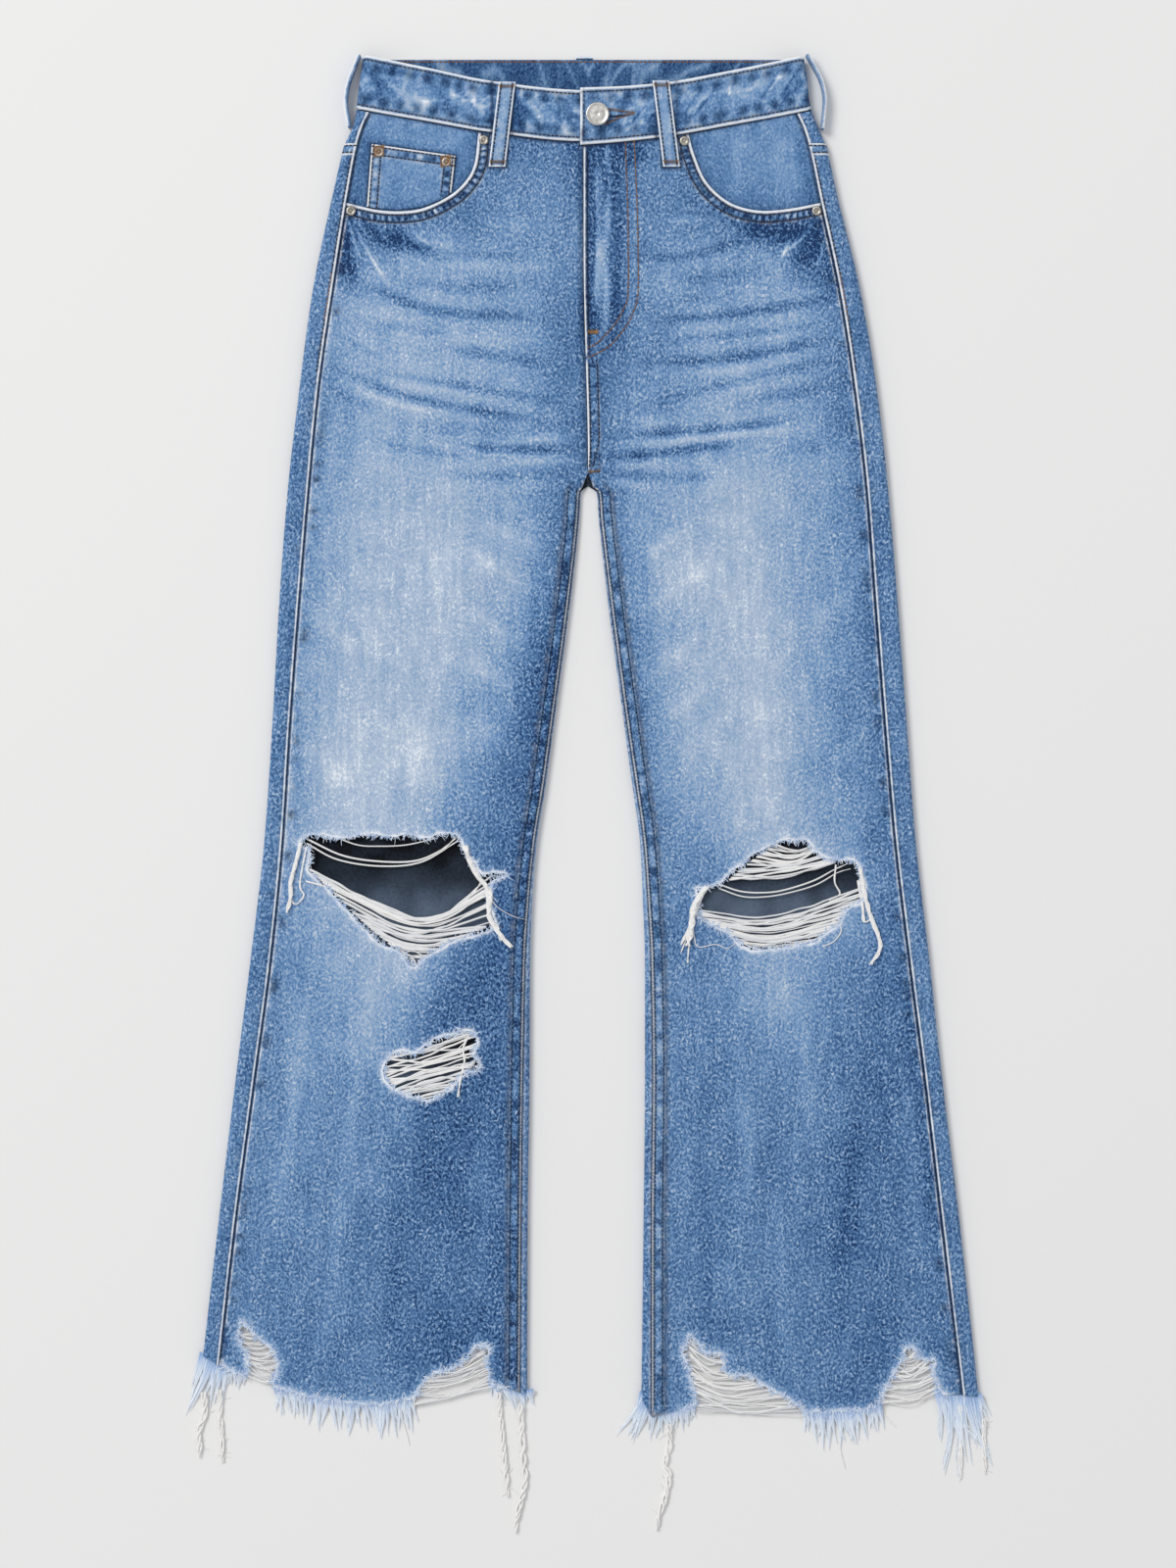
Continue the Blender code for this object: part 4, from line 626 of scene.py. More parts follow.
@dataclass
class Dressing:
    """What the wash, seams and wear do at each point of a piece.

    relief is in metres above the plain form; fade runs from raw indigo at 0 to white at 1; wear is
    how far the blue has rubbed off an edge, and shade how far the colour is darkened: indigo left in
    grooves and hollows, and painted shade under overlapping edges, beside loops and on the wrong side.
    """

    relief: Array
    fade: Array
    wear: Array
    shade: Array

    @classmethod
    def plain(cls, like: Array, fade: float = 0.45) -> Dressing:
        """Even cloth, for as many points as the array given has."""
        zero = np.zeros(len(like))
        return cls(zero.copy(), zero + fade, zero.copy(), zero.copy())

    def dye_and_shade(self, amount: Array) -> None:
        """Darkens the cloth at least as much as an amount, from 0 to 1: indigo left in hollows, and painted shade
        beside overlapping edges and loops.
        """
        self.shade = np.maximum(self.shade, amount)

    def worn(self, gap: Array, width: float, amount: Array) -> None:
        """Rubs an edge white over a width each side of gap 0."""
        self.wear = np.maximum(self.wear, amount * bell(gap, width))

    def grooved(self, gap: Array, width: float, depth: float, dark: Array) -> None:
        """Presses a groove in at gap 0 and darkens it, with dye and painted shade.

        Args:
            gap: Distance from the line.
            width: How wide.
            depth: How deep.
            dark: How much dye and painted shade darken it.
        """
        hollow = bell(gap, width)
        self.relief -= depth * hollow
        self.dye_and_shade(dark * hollow)

    def puckered(self, window: Array, lump: Array, height: float, lighter: float) -> None:
        """Gathers the cloth into lumps whose tops are lighter and hollows darker."""
        self.relief += height * lump * window
        self.fade += lighter * lump * window

    def felled(self, gap: Array, along: Array, width: float, rows: Sequence[float],
               seed: int, period: float = 8.0 * MM, strength: Array = 1.0, contrast: float = 1.0) -> None:
        """A folded double seam or hem that lies beside an edge.

        Args:
            gap: Distance from the edge, into the piece.
            along: Distance along the edge.
            width: How wide the folded strip is.
            rows: Distances of its stitch rows from the edge.
            seed: Which random puckers it gets.
            period: How far apart the puckers are.
            strength: From 0 to 1 where the strip fades out.
            contrast: How much lighter and darker its puckers are than usual.
        """
        on = smoothstep(-0.2 * MM, 0.9 * MM, gap) * (1 - smoothstep(width - 0.8 * MM, width + 0.6 * MM, gap))
        self.relief += 0.55 * MM * on * strength
        lump = Lumps(seed, 0.5 * period)(along, gap * 0.4)
        window = bell(gap - 0.5 * (rows[0] + rows[-1]), 0.34 * width) * strength
        self.puckered(window, lump, 0.28 * MM, 0.26 * contrast)
        # Pucker hollows darkened, with indigo left in them and painted shade.
        self.dye_and_shade(0.70 * contrast * window * np.clip(-lump - 0.05, 0, 1))
        for row in rows:
            self.grooved(gap - row, 0.75 * MM, 0.32 * MM, 0.50 * strength)
        self.worn(gap - 0.6 * MM, 0.95 * MM, 1.0 * strength)
        self.worn(gap - width, 0.9 * MM, 0.40 * strength * (0.75 + 0.25 * Lumps(seed + 3, 6 * MM)(along)))


class LegForm:
    """One half of the flattened tube: its folds, seams and faces, as the solids have them."""

    def __init__(self, side: Side) -> None:
        """Prepares the smooth functions of one side.

        Args:
            side: Which side.
        """
        self.side = side
        self.sign = side.value
        self.fold_out = line(OUTER_ROWS[side], "fold")
        self.outseam = line(OUTER_ROWS[side], "seam")
        self.fold_in = line(INNER_ROWS[side], "fold")
        self.inseam = line(INNER_ROWS[side], "seam")
        self.heights = [line(HEIGHT_ROWS, column) for column in ("middle", "outer", "inner")]

    def height(self, reach: Array, drop: Array) -> Array:
        """Height of the upper face, without the rounding of the side folds.

        Args:
            reach: The places' reaches.
            drop: The places' drops.

        Returns:
            The heights.
        """
        middle, outer, inner = [height(drop) for height in self.heights]
        z = middle + (outer - middle) * bell(self.fold_out(drop) - reach, EDGE_REACH)
        z = z + (inner - middle) * bell(reach - self.fold_in(drop), EDGE_REACH)
        return z + folded(FOLD_ROWS, reach, drop)

    def rounding(self, reach: Array, drop: Array) -> tuple[Array, Array]:
        """From 0 at a side fold to 1 where the face is flat, and half the height there.

        Args:
            reach: The places' reaches.
            drop: The places' drops.

        Returns:
            The share and half the height, for each place.
        """
        half = 0.5 * self.height(reach, drop)
        outer = np.clip((self.fold_out(drop) - reach) / half, 0, 1)
        inner = np.clip((reach - self.fold_in(drop)) / half, 0, 1)
        inner = np.where(drop < CROTCH_BACK, 1.0, inner)
        return np.sqrt(1 - (1 - outer) ** 2) * np.sqrt(1 - (1 - inner) ** 2), half

    def place(self, reach: Array, drop: Array, z: Array) -> Array:
        """Points in the frame."""
        reach, drop, z = np.broadcast_arrays(reach, drop, z)
        return np.stack([CENTRE_X + self.sign * reach, WAIST_Y - drop, z], axis=-1)

    def upper(self, reach: Array, drop: Array) -> Array:
        """Points of the upper face."""
        part, half = self.rounding(reach, drop)
        return self.place(reach, drop, half + half * part)

    def ring(self, along: Array, drop: Array) -> Array:
        """Points of the underside and, past each fold, of the upper face beyond it.

        Args:
            along: The reach on the underside, which carries on past a fold by as much as the reach
                turns back from it.
            drop: The places' drops.

        Returns:
            Points in the frame.
        """
        fold_out, fold_in = self.fold_out(drop), self.fold_in(drop)
        reach = np.where(along > fold_out, 2 * fold_out - along, along)
        turned_in = (along < fold_in) & (drop > CROTCH_BACK)
        reach = np.where(turned_in, 2 * fold_in - along, reach)
        part, half = self.rounding(reach, drop)
        above = (along > fold_out) | turned_in
        floor = HIP_LIFT * (1 - smoothstep(*HIP_LIFT_ENDS, drop))
        low = half - (half - floor) * part
        return self.place(reach, drop, np.where(above, half + half * part, low))

    def outward(self, face: Callable, across: Array, drop: Array) -> Array:
        """Unit directions out of a face.

        Args:
            face: This form's upper or ring method.
            across: Reach or place round the ring.
            drop: The places' drops.

        Returns:
            One direction for each place.
        """
        step = 0.0004
        run = face(across + step, drop) - face(across - step, drop)
        fall = face(across, drop + step) - face(across, drop - step)
        out = np.cross(run, fall) * (-self.sign if face == self.upper else self.sign)
        return out / np.linalg.norm(out, axis=-1, keepdims=True)

    def sunk(self, face: Callable, across: Array, drop: Array, depth: Array) -> Array:
        """Points of a face moved in by a depth, at right angles to it.

        Args:
            face: This form's upper or ring method.
            across: Reaches, or places round the ring.
            drop: The places' drops.
            depth: How deep.

        Returns:
            The points.
        """
        across, drop = np.asarray(across, float), np.asarray(drop, float)
        depth = np.asarray(depth, float) + np.zeros(across.shape)
        return face(across, drop) - self.outward(face, across, drop) * depth[..., None]


def folded(rows: Sequence[FoldRow], reach: Array, drop: Array) -> Array:
    """Height that a table of soft folds adds at places on the front.

    Args:
        rows: The folds.
        reach: The places' reaches.
        drop: The places' drops.

    Returns:
        The heights.
    """
    z = np.zeros(np.broadcast(reach, drop).shape)
    for fold in rows:
        run = (fold.end_reach - fold.reach, fold.end_drop - fold.drop)
        length = math.hypot(*run)
        along = ((reach - fold.reach) * run[0] + (drop - fold.drop) * run[1]) / length**2
        off = ((reach - fold.reach) * run[1] - (drop - fold.drop) * run[0]) / length
        swell = smoothstep(-0.2, 0.3, along) * (1 - smoothstep(0.7, 1.2, along))
        z = z + fold.height * swell * bell(off, fold.half_width)
    return z


def inside(loop: Array, points: Array) -> Array:
    """Which points lie inside a closed loop.

    Args:
        loop: The loop's points.
        points: The points, as reach and drop.

    Returns:
        True for each point inside.
    """
    ends = np.roll(loop, -1, axis=0)
    count = np.zeros(len(points), int)
    x, y = points[:, 0], points[:, 1]
    for (x0, y0), (x1, y1) in zip(loop, ends):
        if y0 == y1:
            continue
        over = (y0 > y) != (y1 > y)
        count += over & (x < (x1 - x0) * (y - y0) / (y1 - y0) + x0)
    return count % 2 == 1


def cut_cells(loops: Sequence[Array], rows: Sequence[Array],
              lattices: Sequence[tuple[float, float, float]]) -> tuple[Array, Array]:
    """Triangles that fill an outline, less its holes.

    Args:
        loops: The outline, and then each hole, as reach and drop.
        rows: Runs of points that the triangles must also use, such as lines beside a seam.
        lattices: From which drop to which drop, and how far apart, points fill the rest.

    Returns:
        The points used, as reach and drop, and the triangles as rows of three numbers.
    """
    fixed = np.concatenate(loops)
    tree = KDTree(len(fixed) + sum(len(row) for row in rows))
    for k, point in enumerate(fixed):
        tree.insert((*point, 0), k)
    tree.balance()
    taken = [fixed]

    def within(points: Array) -> Array:
        """Which points are on the cloth.

        Args:
            points: The points, as reach and drop.

        Returns:
            True for each point on the cloth.
        """
        keep = inside(loops[0], points)
        for hole in loops[1:]:
            keep &= ~inside(hole, points)
        return keep

    def far(points: Array, gap: float) -> Array:
        """Which points are at least a gap from those in the tree."""
        return np.array([tree.find((*point, 0))[2] > gap for point in points], bool)

    extra = np.concatenate(rows)
    extra = extra[within(extra)]
    extra = extra[far(extra, 0.35 * MM)]
    taken.append(extra)
    tree = KDTree(len(fixed) + len(extra))
    for k, point in enumerate(np.concatenate(taken)):
        tree.insert((*point, 0), k)
    tree.balance()
    low, high = loops[0].min(axis=0), loops[0].max(axis=0)
    for top, foot, spacing in lattices:
        drops = np.arange(max(top, low[1]), min(foot, high[1]), spacing * 0.87)
        across = np.arange(low[0], high[0] + spacing, spacing)
        grid = np.stack(np.meshgrid(across, drops), axis=-1)
        grid[1::2, :, 0] += 0.5 * spacing
        grid = grid.reshape(-1, 2)
        grid = grid[within(grid)]
        taken.append(grid[far(grid, 0.55 * spacing)])
    places = np.concatenate(taken)
    edges, start = [], 0
    for loop in loops:
        edges += [(start + k, start + (k + 1) % len(loop)) for k in range(len(loop))]
        start += len(loop)
    found = delaunay_2d_cdt([Vector(place) for place in places], edges, [], 0, 1e-7)
    flat = np.array([tuple(point) for point in found[0]])
    cells = np.array([tuple(cell) for cell in found[2]])
    cells = cells[within(flat[cells].mean(axis=1))]
    a, b, c = flat[cells[:, 0]], flat[cells[:, 1]], flat[cells[:, 2]]
    turn = (b[:, 0] - a[:, 0]) * (c[:, 1] - a[:, 1]) - (b[:, 1] - a[:, 1]) * (c[:, 0] - a[:, 0])
    cells = np.where((turn > 0)[:, None], cells, cells[:, ::-1])
    used, cells = np.unique(cells, return_inverse=True)
    return flat[used], cells.reshape(-1, 3)


def closed(loop: Array) -> Array:
    """An edge with its first point again at the end."""
    return np.concatenate([loop, loop[:1]])


def stepped(corners: Array, step: float) -> Array:
    """A closed edge through corners, with points a step apart along each side."""
    loop = closed(corners)
    return np.concatenate([evenly(loop[k:k + 2], step)[:-1] for k in range(len(corners))])


def grid_cells(rows: int, columns: int) -> Array:
    """Four-sided cells of a grid of points numbered row by row.

    Args:
        rows: The folds.
        columns: Its places round the ring.

    Returns:
        Four corners a face.
    """
    number = np.arange(rows * columns).reshape(rows, columns)
    cells = np.stack([number[:-1, :-1], number[:-1, 1:], number[1:, 1:], number[1:, :-1]], axis=-1)
    return cells.reshape(-1, 4)


def new_object(name: str, points: Array, faces: Sequence, edges: Sequence = ()) -> Object:
    """A mesh object at the origin, linked to the scene.

    Args:
        name: The piece's name.
        points: Its points in the frame.
        faces: Its faces, as lists of point numbers.
        edges: Its loose edges.

    Returns:
        The object.
    """
    mesh = bpy.data.meshes.new(name)
    mesh.from_pydata(np.asarray(points, float).tolist(), list(edges), faces)
    made = bpy.data.objects.new(name, mesh)
    bpy.context.scene.collection.objects.link(made)
    return made


def set_field(mesh: Mesh, name: str, values: Array) -> None:
    """Stores a number or a direction for each point of a mesh.

    Args:
        mesh: The mesh.
        name: The attribute's name.
        values: A number or a direction for each point.
    """
    values = np.asarray(values, np.float32)
    kind, key = ("FLOAT", "value") if values.ndim == 1 else ("FLOAT_VECTOR", "vector")
    mesh.attributes.new(name, kind, "POINT").data.foreach_set(key, values.ravel())


def cloth_wall(name: str, outer: Array, inner: Array, cells: Array, dressing: Dressing,
               finish: Material, lining: Material,
               gloom: Array | None = None, under_fade: Array | None = None) -> Object:
    """A closed thin wall of cloth.

    Args:
        name: The piece's name.
        outer: Points of its right side.
        inner: Points of its wrong side, one under each.
        cells: Faces of the right side.
        dressing: Fade, wear and shade of the right side.
        finish: Material of the right side and the edges.
        lining: Material of the wrong side.
        gloom: Painted shade of the wrong side, or None for a little.
        under_fade: Fade of the wrong side, or None for that of the right side.

    Returns:
        The object.
    """
    total = len(outer)
    points = np.concatenate([outer, inner])
    a, b, c = outer[cells[:, 0]], outer[cells[:, 1]], outer[cells[:, 2]]
    off = outer[cells[:, 0]] - inner[cells[:, 0]]
    if (np.cross(b - a, c - a) * off).sum() < 0:
        cells = cells[:, ::-1]
    sides = np.stack([cells, np.roll(cells, -1, axis=1)], axis=-1).reshape(-1, 2)
    key = np.sort(sides, axis=1)
    key = key[:, 0].astype(np.int64) * total + key[:, 1]
    _, place, count = np.unique(key, return_index=True, return_counts=True)
    rim = sides[np.sort(place[count == 1])]
    faces = cells.tolist() + (cells[:, ::-1] + total).tolist()
    faces += np.stack([rim[:, 1], rim[:, 0], rim[:, 0] + total, rim[:, 1] + total], axis=1).tolist()
    made = new_object(name, points, faces)
    mesh = made.data
    # The wrong side gets painted shade, 0.12 unless given.
    under = np.zeros(total) + 0.12 if gloom is None else gloom
    set_field(mesh, "fade", np.concatenate([dressing.fade, dressing.fade if under_fade is None else under_fade]))
    set_field(mesh, "wear", np.concatenate([dressing.wear, 0 * dressing.wear]))
    set_field(mesh, "shade", np.concatenate([dressing.shade, under]))
    mesh.materials.append(finish)
    mesh.materials.append(lining)
    slots = np.zeros(len(faces), np.int32)
    slots[len(cells):2 * len(cells)] = 1
    mesh.polygons.foreach_set("material_index", slots)
    mesh.shade_smooth()
    mesh.set_sharp_from_angle(angle=math.radians(55))
    return made


def feed(node: Node, inputs: dict | Sequence) -> None:
    """Sets a node's inputs to values or links them to sockets.

    Args:
        node: The node.
        inputs: Values and sockets for its inputs, in order or by name or number.
    """
    for key, value in (inputs.items() if isinstance(inputs, dict) else enumerate(inputs)):
        if isinstance(value, NodeSocket):
            node.id_data.links.new(value, node.inputs[key])
        else:
            node.inputs[key].default_value = value


def add_node(tree: NodeTree, kind: str, inputs: dict | Sequence = (), out: int | str = 0,
             **settings: object) -> NodeSocket:
    """Adds a node with its settings and links.

    Args:
        tree: The tree that it goes in.
        kind: Its type's name, ShaderNode left off, with a sum's operation after a colon.
        inputs: Values and sockets for its inputs, in order or by name or number.
        out: The output that is wanted, by number or name.
        settings: Values by attribute name; stops are a ramp's places and colours.

    Returns:
        The output.
    """
    kind, _, operation = kind.partition(":")
    node = tree.nodes.new(kind if "Node" in kind else "ShaderNode" + kind)
    if operation:
        node.operation = operation
    stops = settings.pop("stops", ())
    for key, value in settings.items():
        setattr(node, key, value)
    if stops:
        elements = node.color_ramp.elements
        while len(elements) < len(stops):
            elements.new(0.5)
        for element, (at, _) in zip(elements, stops):
            element.position = at
        for element, (at, code) in zip(elements, stops):
            element.position, element.color = at, linear(code)
    feed(node, inputs)
    return node.outputs[out]


def started(name: str) -> tuple[Material, Callable, Node]:
    """A new material, the way to add nodes to it, and its Principled shader.

    Args:
        name: The material's name.

    Returns:
        The three.
    """
    made = bpy.data.materials.new(name)
    made.use_nodes = True
    return made, partial(add_node, made.node_tree), made.node_tree.nodes["Principled BSDF"]


@dataclass(frozen=True)
class WashedDenim:
    """Stone-washed indigo denim: blue warp over white weft, so rubbed places show white.

    Scales are counts in a metre. The weave's slubs are waves 2.1 and 3.5 mm apart with hairs of 3 mm,
    coarser than the real 0.5 mm thread, so that they show. 760 is a grain of 1.3 mm, 230 a mottle of
    4 mm, 260 drawn out ten times down the leg a warp streak of 4 by 38 mm, and 95 clouds of 10 mm.
    """

    name: str
    lift: float = 0.0
    slub: float = 1.0
    streak: float = 0.26
    mottle: float = 0.11
    tones: tuple = ((0.0, "#14335F"), (0.10, "#274E80"), (0.29, "#416794"), (0.47, "#5C84B3"), (0.60, "#769AC5"),
                    (0.72, "#92ADCD"), (0.83, "#A9BCD5"), (0.93, "#C0CEE0"), (1.0, "#E2E9F2"))
    rubbed: str = "#EEF1F6"
    # Deep indigo that the shade attribute mixes in: dye left in grooves, and painted shade.
    dyed: str = "#0D2244"

    def build(self) -> Material:
        """Builds the material.

        Returns:
            The material, which reads the cloth's fade, wear and shade.
        """
        made, add, shader = started(self.name)
        place = add("TexCoord", out="Object")
        fade, wear, shade = [add("Attribute", out="Fac", attribute_name=word) for word in ("fade", "wear", "shade")]
        bent = add("TexNoise", {"Vector": place, "Scale": 210.0, "Detail": 2.0, "Roughness": 0.6}, "Color")
        bent = add("VectorMath:ADD", (place, add("VectorMath:SCALE", {0: bent, "Scale": 0.0042})))
        waves = []
        for scale, shift in ((250.0, 0.0), (150.0, 7.3)):
            moved = add("Mapping", {"Vector": bent, "Location": (shift, 0.0, 0.0), "Scale": (1.0, 0.68, 1.0)})
            waves.append(add("TexGabor", {"Vector": moved, "Scale": scale, "Frequency": 1.9, "Anisotropy": 0.0}))
        tall = add("Mapping", {"Vector": place, "Scale": (1.0, 0.10, 1.0)})
        patchy, hairs, grain, streaks, clouds = [
            add("TexNoise", {"Vector": at, "Scale": scale, "Detail": detail, "Roughness": rough})
            for at, scale, detail, rough in (
                (place, 230.0, 1.0, 0.5), (bent, 330.0, 2.0, 0.5), (place, 760.0, 2.0, 0.7),
                (tall, 260.0, 2.0, 0.6), (place, 95.0, 3.0, 0.6))]
        hairs = add("Math:ABSOLUTE", (add("Math:MULTIPLY_ADD", (hairs, 2.0, -1.0)),))
        hairs = add("Math:MAXIMUM", (add("Math:MULTIPLY_ADD", (hairs, -9.0, 1.0)), 0.0))
        strokes = add("Math:MULTIPLY_ADD", (waves[0], 1.0, add("Math:MULTIPLY", (waves[1], 0.85))))
        strokes = add("Math:MULTIPLY_ADD", (hairs, 0.34, add("Math:ADD", (strokes, 0.13))))
        pale = add("Math:MAXIMUM", (add("Math:MULTIPLY_ADD", (fade, -1.6, 1.62)), 0.22))
        strokes = add("Math:MINIMUM", (add("Math:SUBTRACT", (strokes, 1.15)), 0.36))
        strokes = add("Math:MULTIPLY", (add("Math:MAXIMUM", (strokes, -0.26)), pale))
        strokes = add("Math:MULTIPLY", (strokes, add("Math:MULTIPLY_ADD", (clouds, 1.3, 0.35))))
        tone = add("Math:ADD", (fade, self.lift))
        for part, share in ((strokes, self.slub), (grain, 0.12), (patchy, 0.15), (streaks, self.streak),
                            (clouds, self.mottle)):
            tone = add("Math:MULTIPLY_ADD", (part, share, tone))
        tone = add("Math:SUBTRACT", (tone, 0.115 + 0.5 * (self.streak + self.mottle)), use_clamp=True)
        bare = add("Math:MULTIPLY_ADD", (patchy, 1.3, add("Math:SUBTRACT", (wear, 0.62))))
        bare = add("Math:MULTIPLY", (add("Math:MULTIPLY", (bare, wear), use_clamp=True), 1.6), use_clamp=True)
        # Darkens towards deep indigo by the shade attribute: dye in grooves, and painted shade.
        dark = add("Math:MULTIPLY", (shade, add("Math:MULTIPLY_ADD", (grain, 0.5, 0.75))), use_clamp=True)
        colour = add("ValToRGB", (tone,), stops=self.tones)
        for amount, code in ((bare, self.rubbed), (dark, self.dyed)):
            colour = add("Mix", {0: amount, 6: colour, 7: linear(code)}, 2, data_type="RGBA")
        height = add("Math:ADD", (add("Math:MULTIPLY", (strokes, 0.6)), add("Math:MULTIPLY", (grain, 0.5))))
        feed(shader, {"Base Color": colour, "Roughness": 0.88, "Specular IOR Level": 0.2, "Sheen Weight": 0.12,
                      "Sheen Roughness": 0.5,
                      "Normal": add("Bump", {"Height": height, "Strength": 0.6, "Distance": 0.0008})})
        return made


@dataclass(frozen=True)
class DenimWrongSide:
    """The wrong side of denim, where the undyed weft lies over the warp: pale grey blue.

    The grain of scale 520 is 2 mm, which is four real threads, so that it shows.
    """

    name: str
    # The shade attribute runs it from pale grey blue to near black: painted shade, darkest in the tears' openings.
    tones: tuple = ((0.0, "#8C98A8"), (0.25, "#66758A"), (0.7, "#36404E"), (1.0, "#12151B"))

    def build(self) -> Material:
        """Builds the material.

        Returns:
            The material, which reads the cloth's shade.
        """
        made, add, shader = started(self.name)
        place = add("TexCoord", out="Object")
        shade = add("Attribute", out="Fac", attribute_name="shade")
        grain = add("TexNoise", {"Vector": place, "Scale": 520.0, "Detail": 3.0, "Roughness": 0.65})
        level = add("Math:MULTIPLY_ADD", (grain, 0.30, add("Math:SUBTRACT", (shade, 0.15))), use_clamp=True)
        feed(shader, {"Base Color": add("ValToRGB", (level,), stops=self.tones), "Roughness": 0.95,
                      "Specular IOR Level": 0.1,
                      "Normal": add("Bump", {"Height": grain, "Strength": 0.3, "Distance": 0.0005})})
        return made


@dataclass(frozen=True)
class CottonYarn:
    """Spun cotton yarn, matt and slightly fuzzy; tint 0 is its dyed colour and 1 its bare one.

    The patches of scale 900 are 1.1 mm across.
    """

    name: str
    dyed: str
    bare: str
    fuzz: float = 0.3
    glow: float = 0.06

    def build(self) -> Material:
        """Builds the material.

        Returns:
            The material, which reads the yarn's tint.
        """
        made, add, shader = started(self.name)
        place = add("TexCoord", out="Object")
        tint = add("Attribute", out="Fac", attribute_name="tint")
        twist = add("TexNoise", {"Vector": place, "Scale": 900.0, "Detail": 2.0, "Roughness": 0.6})
        level = add("Math:MULTIPLY_ADD", (twist, 0.35, add("Math:SUBTRACT", (tint, 0.17))), use_clamp=True)
        colour = add("ValToRGB", (level,), stops=((0.0, self.dyed), (1.0, self.bare)))
        # The faint glow in its own colour is painted light: an emission that stands in for the light that thin fluff
        # scatters on to its shaded side.
        feed(shader, {"Base Color": colour, "Roughness": 0.9, "Specular IOR Level": 0.15, "Sheen Weight": self.fuzz,
                      "Emission Color": colour, "Emission Strength": self.glow,
                      "Normal": add("Bump", {"Height": twist, "Strength": 0.35, "Distance": 0.0003})})
        return made


@dataclass(frozen=True)
class AgedMetal:
    """Cast zinc with a worn nickel plate: soft gloss on top, darker where polish doesn't reach.

    The stains of scale 420 are 2.4 mm.
    """

    name: str
    bright: str
    dull: str
    roughness: float

    def build(self) -> Material:
        """Builds the material.

        Returns:
            The material.
        """
        made, add, shader = started(self.name)
        place = add("TexCoord", out="Object")
        spots = add("TexNoise", {"Vector": place, "Scale": 420.0, "Detail": 4.0, "Roughness": 0.7})
        feed(shader, {"Base Color": add("ValToRGB", (spots,), stops=((0.30, self.dull), (0.62, self.bright))),
                      "Metallic": 1.0,
                      "Roughness": add("Math:MULTIPLY_ADD", (spots, 0.25, self.roughness - 0.12)),
                      "Normal": add("Bump", {"Height": spots, "Strength": 0.25, "Distance": 0.0002})})
        return made


def node_group(name: str, inputs: dict[str, str]) -> tuple[NodeTree, Callable, dict]:
    """A new Geometry Nodes tree with a geometry input and output.

    Args:
        name: The tree's name.
        inputs: Socket types of its other inputs, by name.

    Returns:
        The tree, the way to add nodes to it, and its input sockets by name.
    """
    tree = bpy.data.node_groups.new(name, "GeometryNodeTree")
    for label, kind in {"Geometry": "Geometry", **inputs}.items():
        tree.interface.new_socket(label, in_out="INPUT", socket_type="NodeSocket" + kind)
    tree.interface.new_socket("Geometry", in_out="OUTPUT", socket_type="NodeSocketGeometry")
    add = partial(add_node, tree)
    return tree, add, {socket.name: socket for socket in add("NodeGroupInput").node.outputs if socket.name}


def ended(add: Callable, geometry: NodeSocket, finish: NodeSocket) -> None:
    """Realizes what a tree has made, gives it its material and smooth faces, and puts it out.

    Args:
        add: The way to add nodes to the tree.
        geometry: What the tree has made.
        finish: The material.
    """
    smooth = add("GeometryNodeSetShadeSmooth", (add("GeometryNodeRealizeInstances", (geometry,)),))
    dressed = add("GeometryNodeSetMaterial", {"Geometry": smooth, "Material": finish})
    feed(dressed.id_data.nodes.new("NodeGroupOutput"), (dressed,))


def thread_tubes() -> NodeTree:
    """Turns lines into round yarns, as thick as each point's girth attribute says.

    Returns:
        The tree.
    """
    tree, add, entry = node_group("thread_tubes", {"Sides": "Int", "Finish": "Material"})
    curve = add("GeometryNodeMeshToCurve", {"Mesh": entry["Geometry"]})
    girth = add("GeometryNodeInputNamedAttribute", {"Name": "girth"}, data_type="FLOAT")
    sized = add("GeometryNodeSetCurveRadius", {"Curve": curve, "Radius": girth})
    ring = add("GeometryNodeCurvePrimitiveCircle", {"Radius": 1.0, "Resolution": entry["Sides"]})
    tube = add("GeometryNodeCurveToMesh", {"Curve": sized, "Profile Curve": ring, "Fill Caps": True})
    if "Scale" in tube.node.inputs:
        feed(tube.node, {"Scale": girth})
    ended(add, tube, entry["Finish"])
    return tree


def stitch_row() -> NodeTree:
    """Sets a stitch at each pitch along lines, lying on the cloth.

    Returns:
        The tree.
    """
    tree, add, entry = node_group("stitch_row", {"Pitch": "Float", "Thickness": "Float", "Finish": "Material"})
    curve = add("GeometryNodeMeshToCurve", {"Mesh": entry["Geometry"]})
    spaced = add("GeometryNodeResampleCurve", {"Curve": curve, "Length": entry["Pitch"]}, mode="LENGTH")
    upright = add("GeometryNodeInputNamedAttribute", {"Name": "up"}, data_type="FLOAT_VECTOR")
    turn = add("FunctionNodeAlignRotationToVector", {"Vector": add("GeometryNodeInputTangent")}, axis="Z")
    turn = add("FunctionNodeAlignRotationToVector", {"Rotation": turn, "Vector": upright}, axis="X", pivot_axis="Z")
    bead = add("GeometryNodeMeshUVSphere", {"Segments": 6, "Rings": 4, "Radius": 1.0})
    size = add("CombineXYZ", (add("Math:MULTIPLY", (entry["Thickness"], 0.75)), entry["Thickness"],
                              add("Math:MULTIPLY", (entry["Pitch"], 0.44))))
    placed = add("GeometryNodeInstanceOnPoints", {"Points": spaced, "Instance": bead, "Rotation": turn,
                                                  "Scale": size})
    ended(add, placed, entry["Finish"])
    return tree


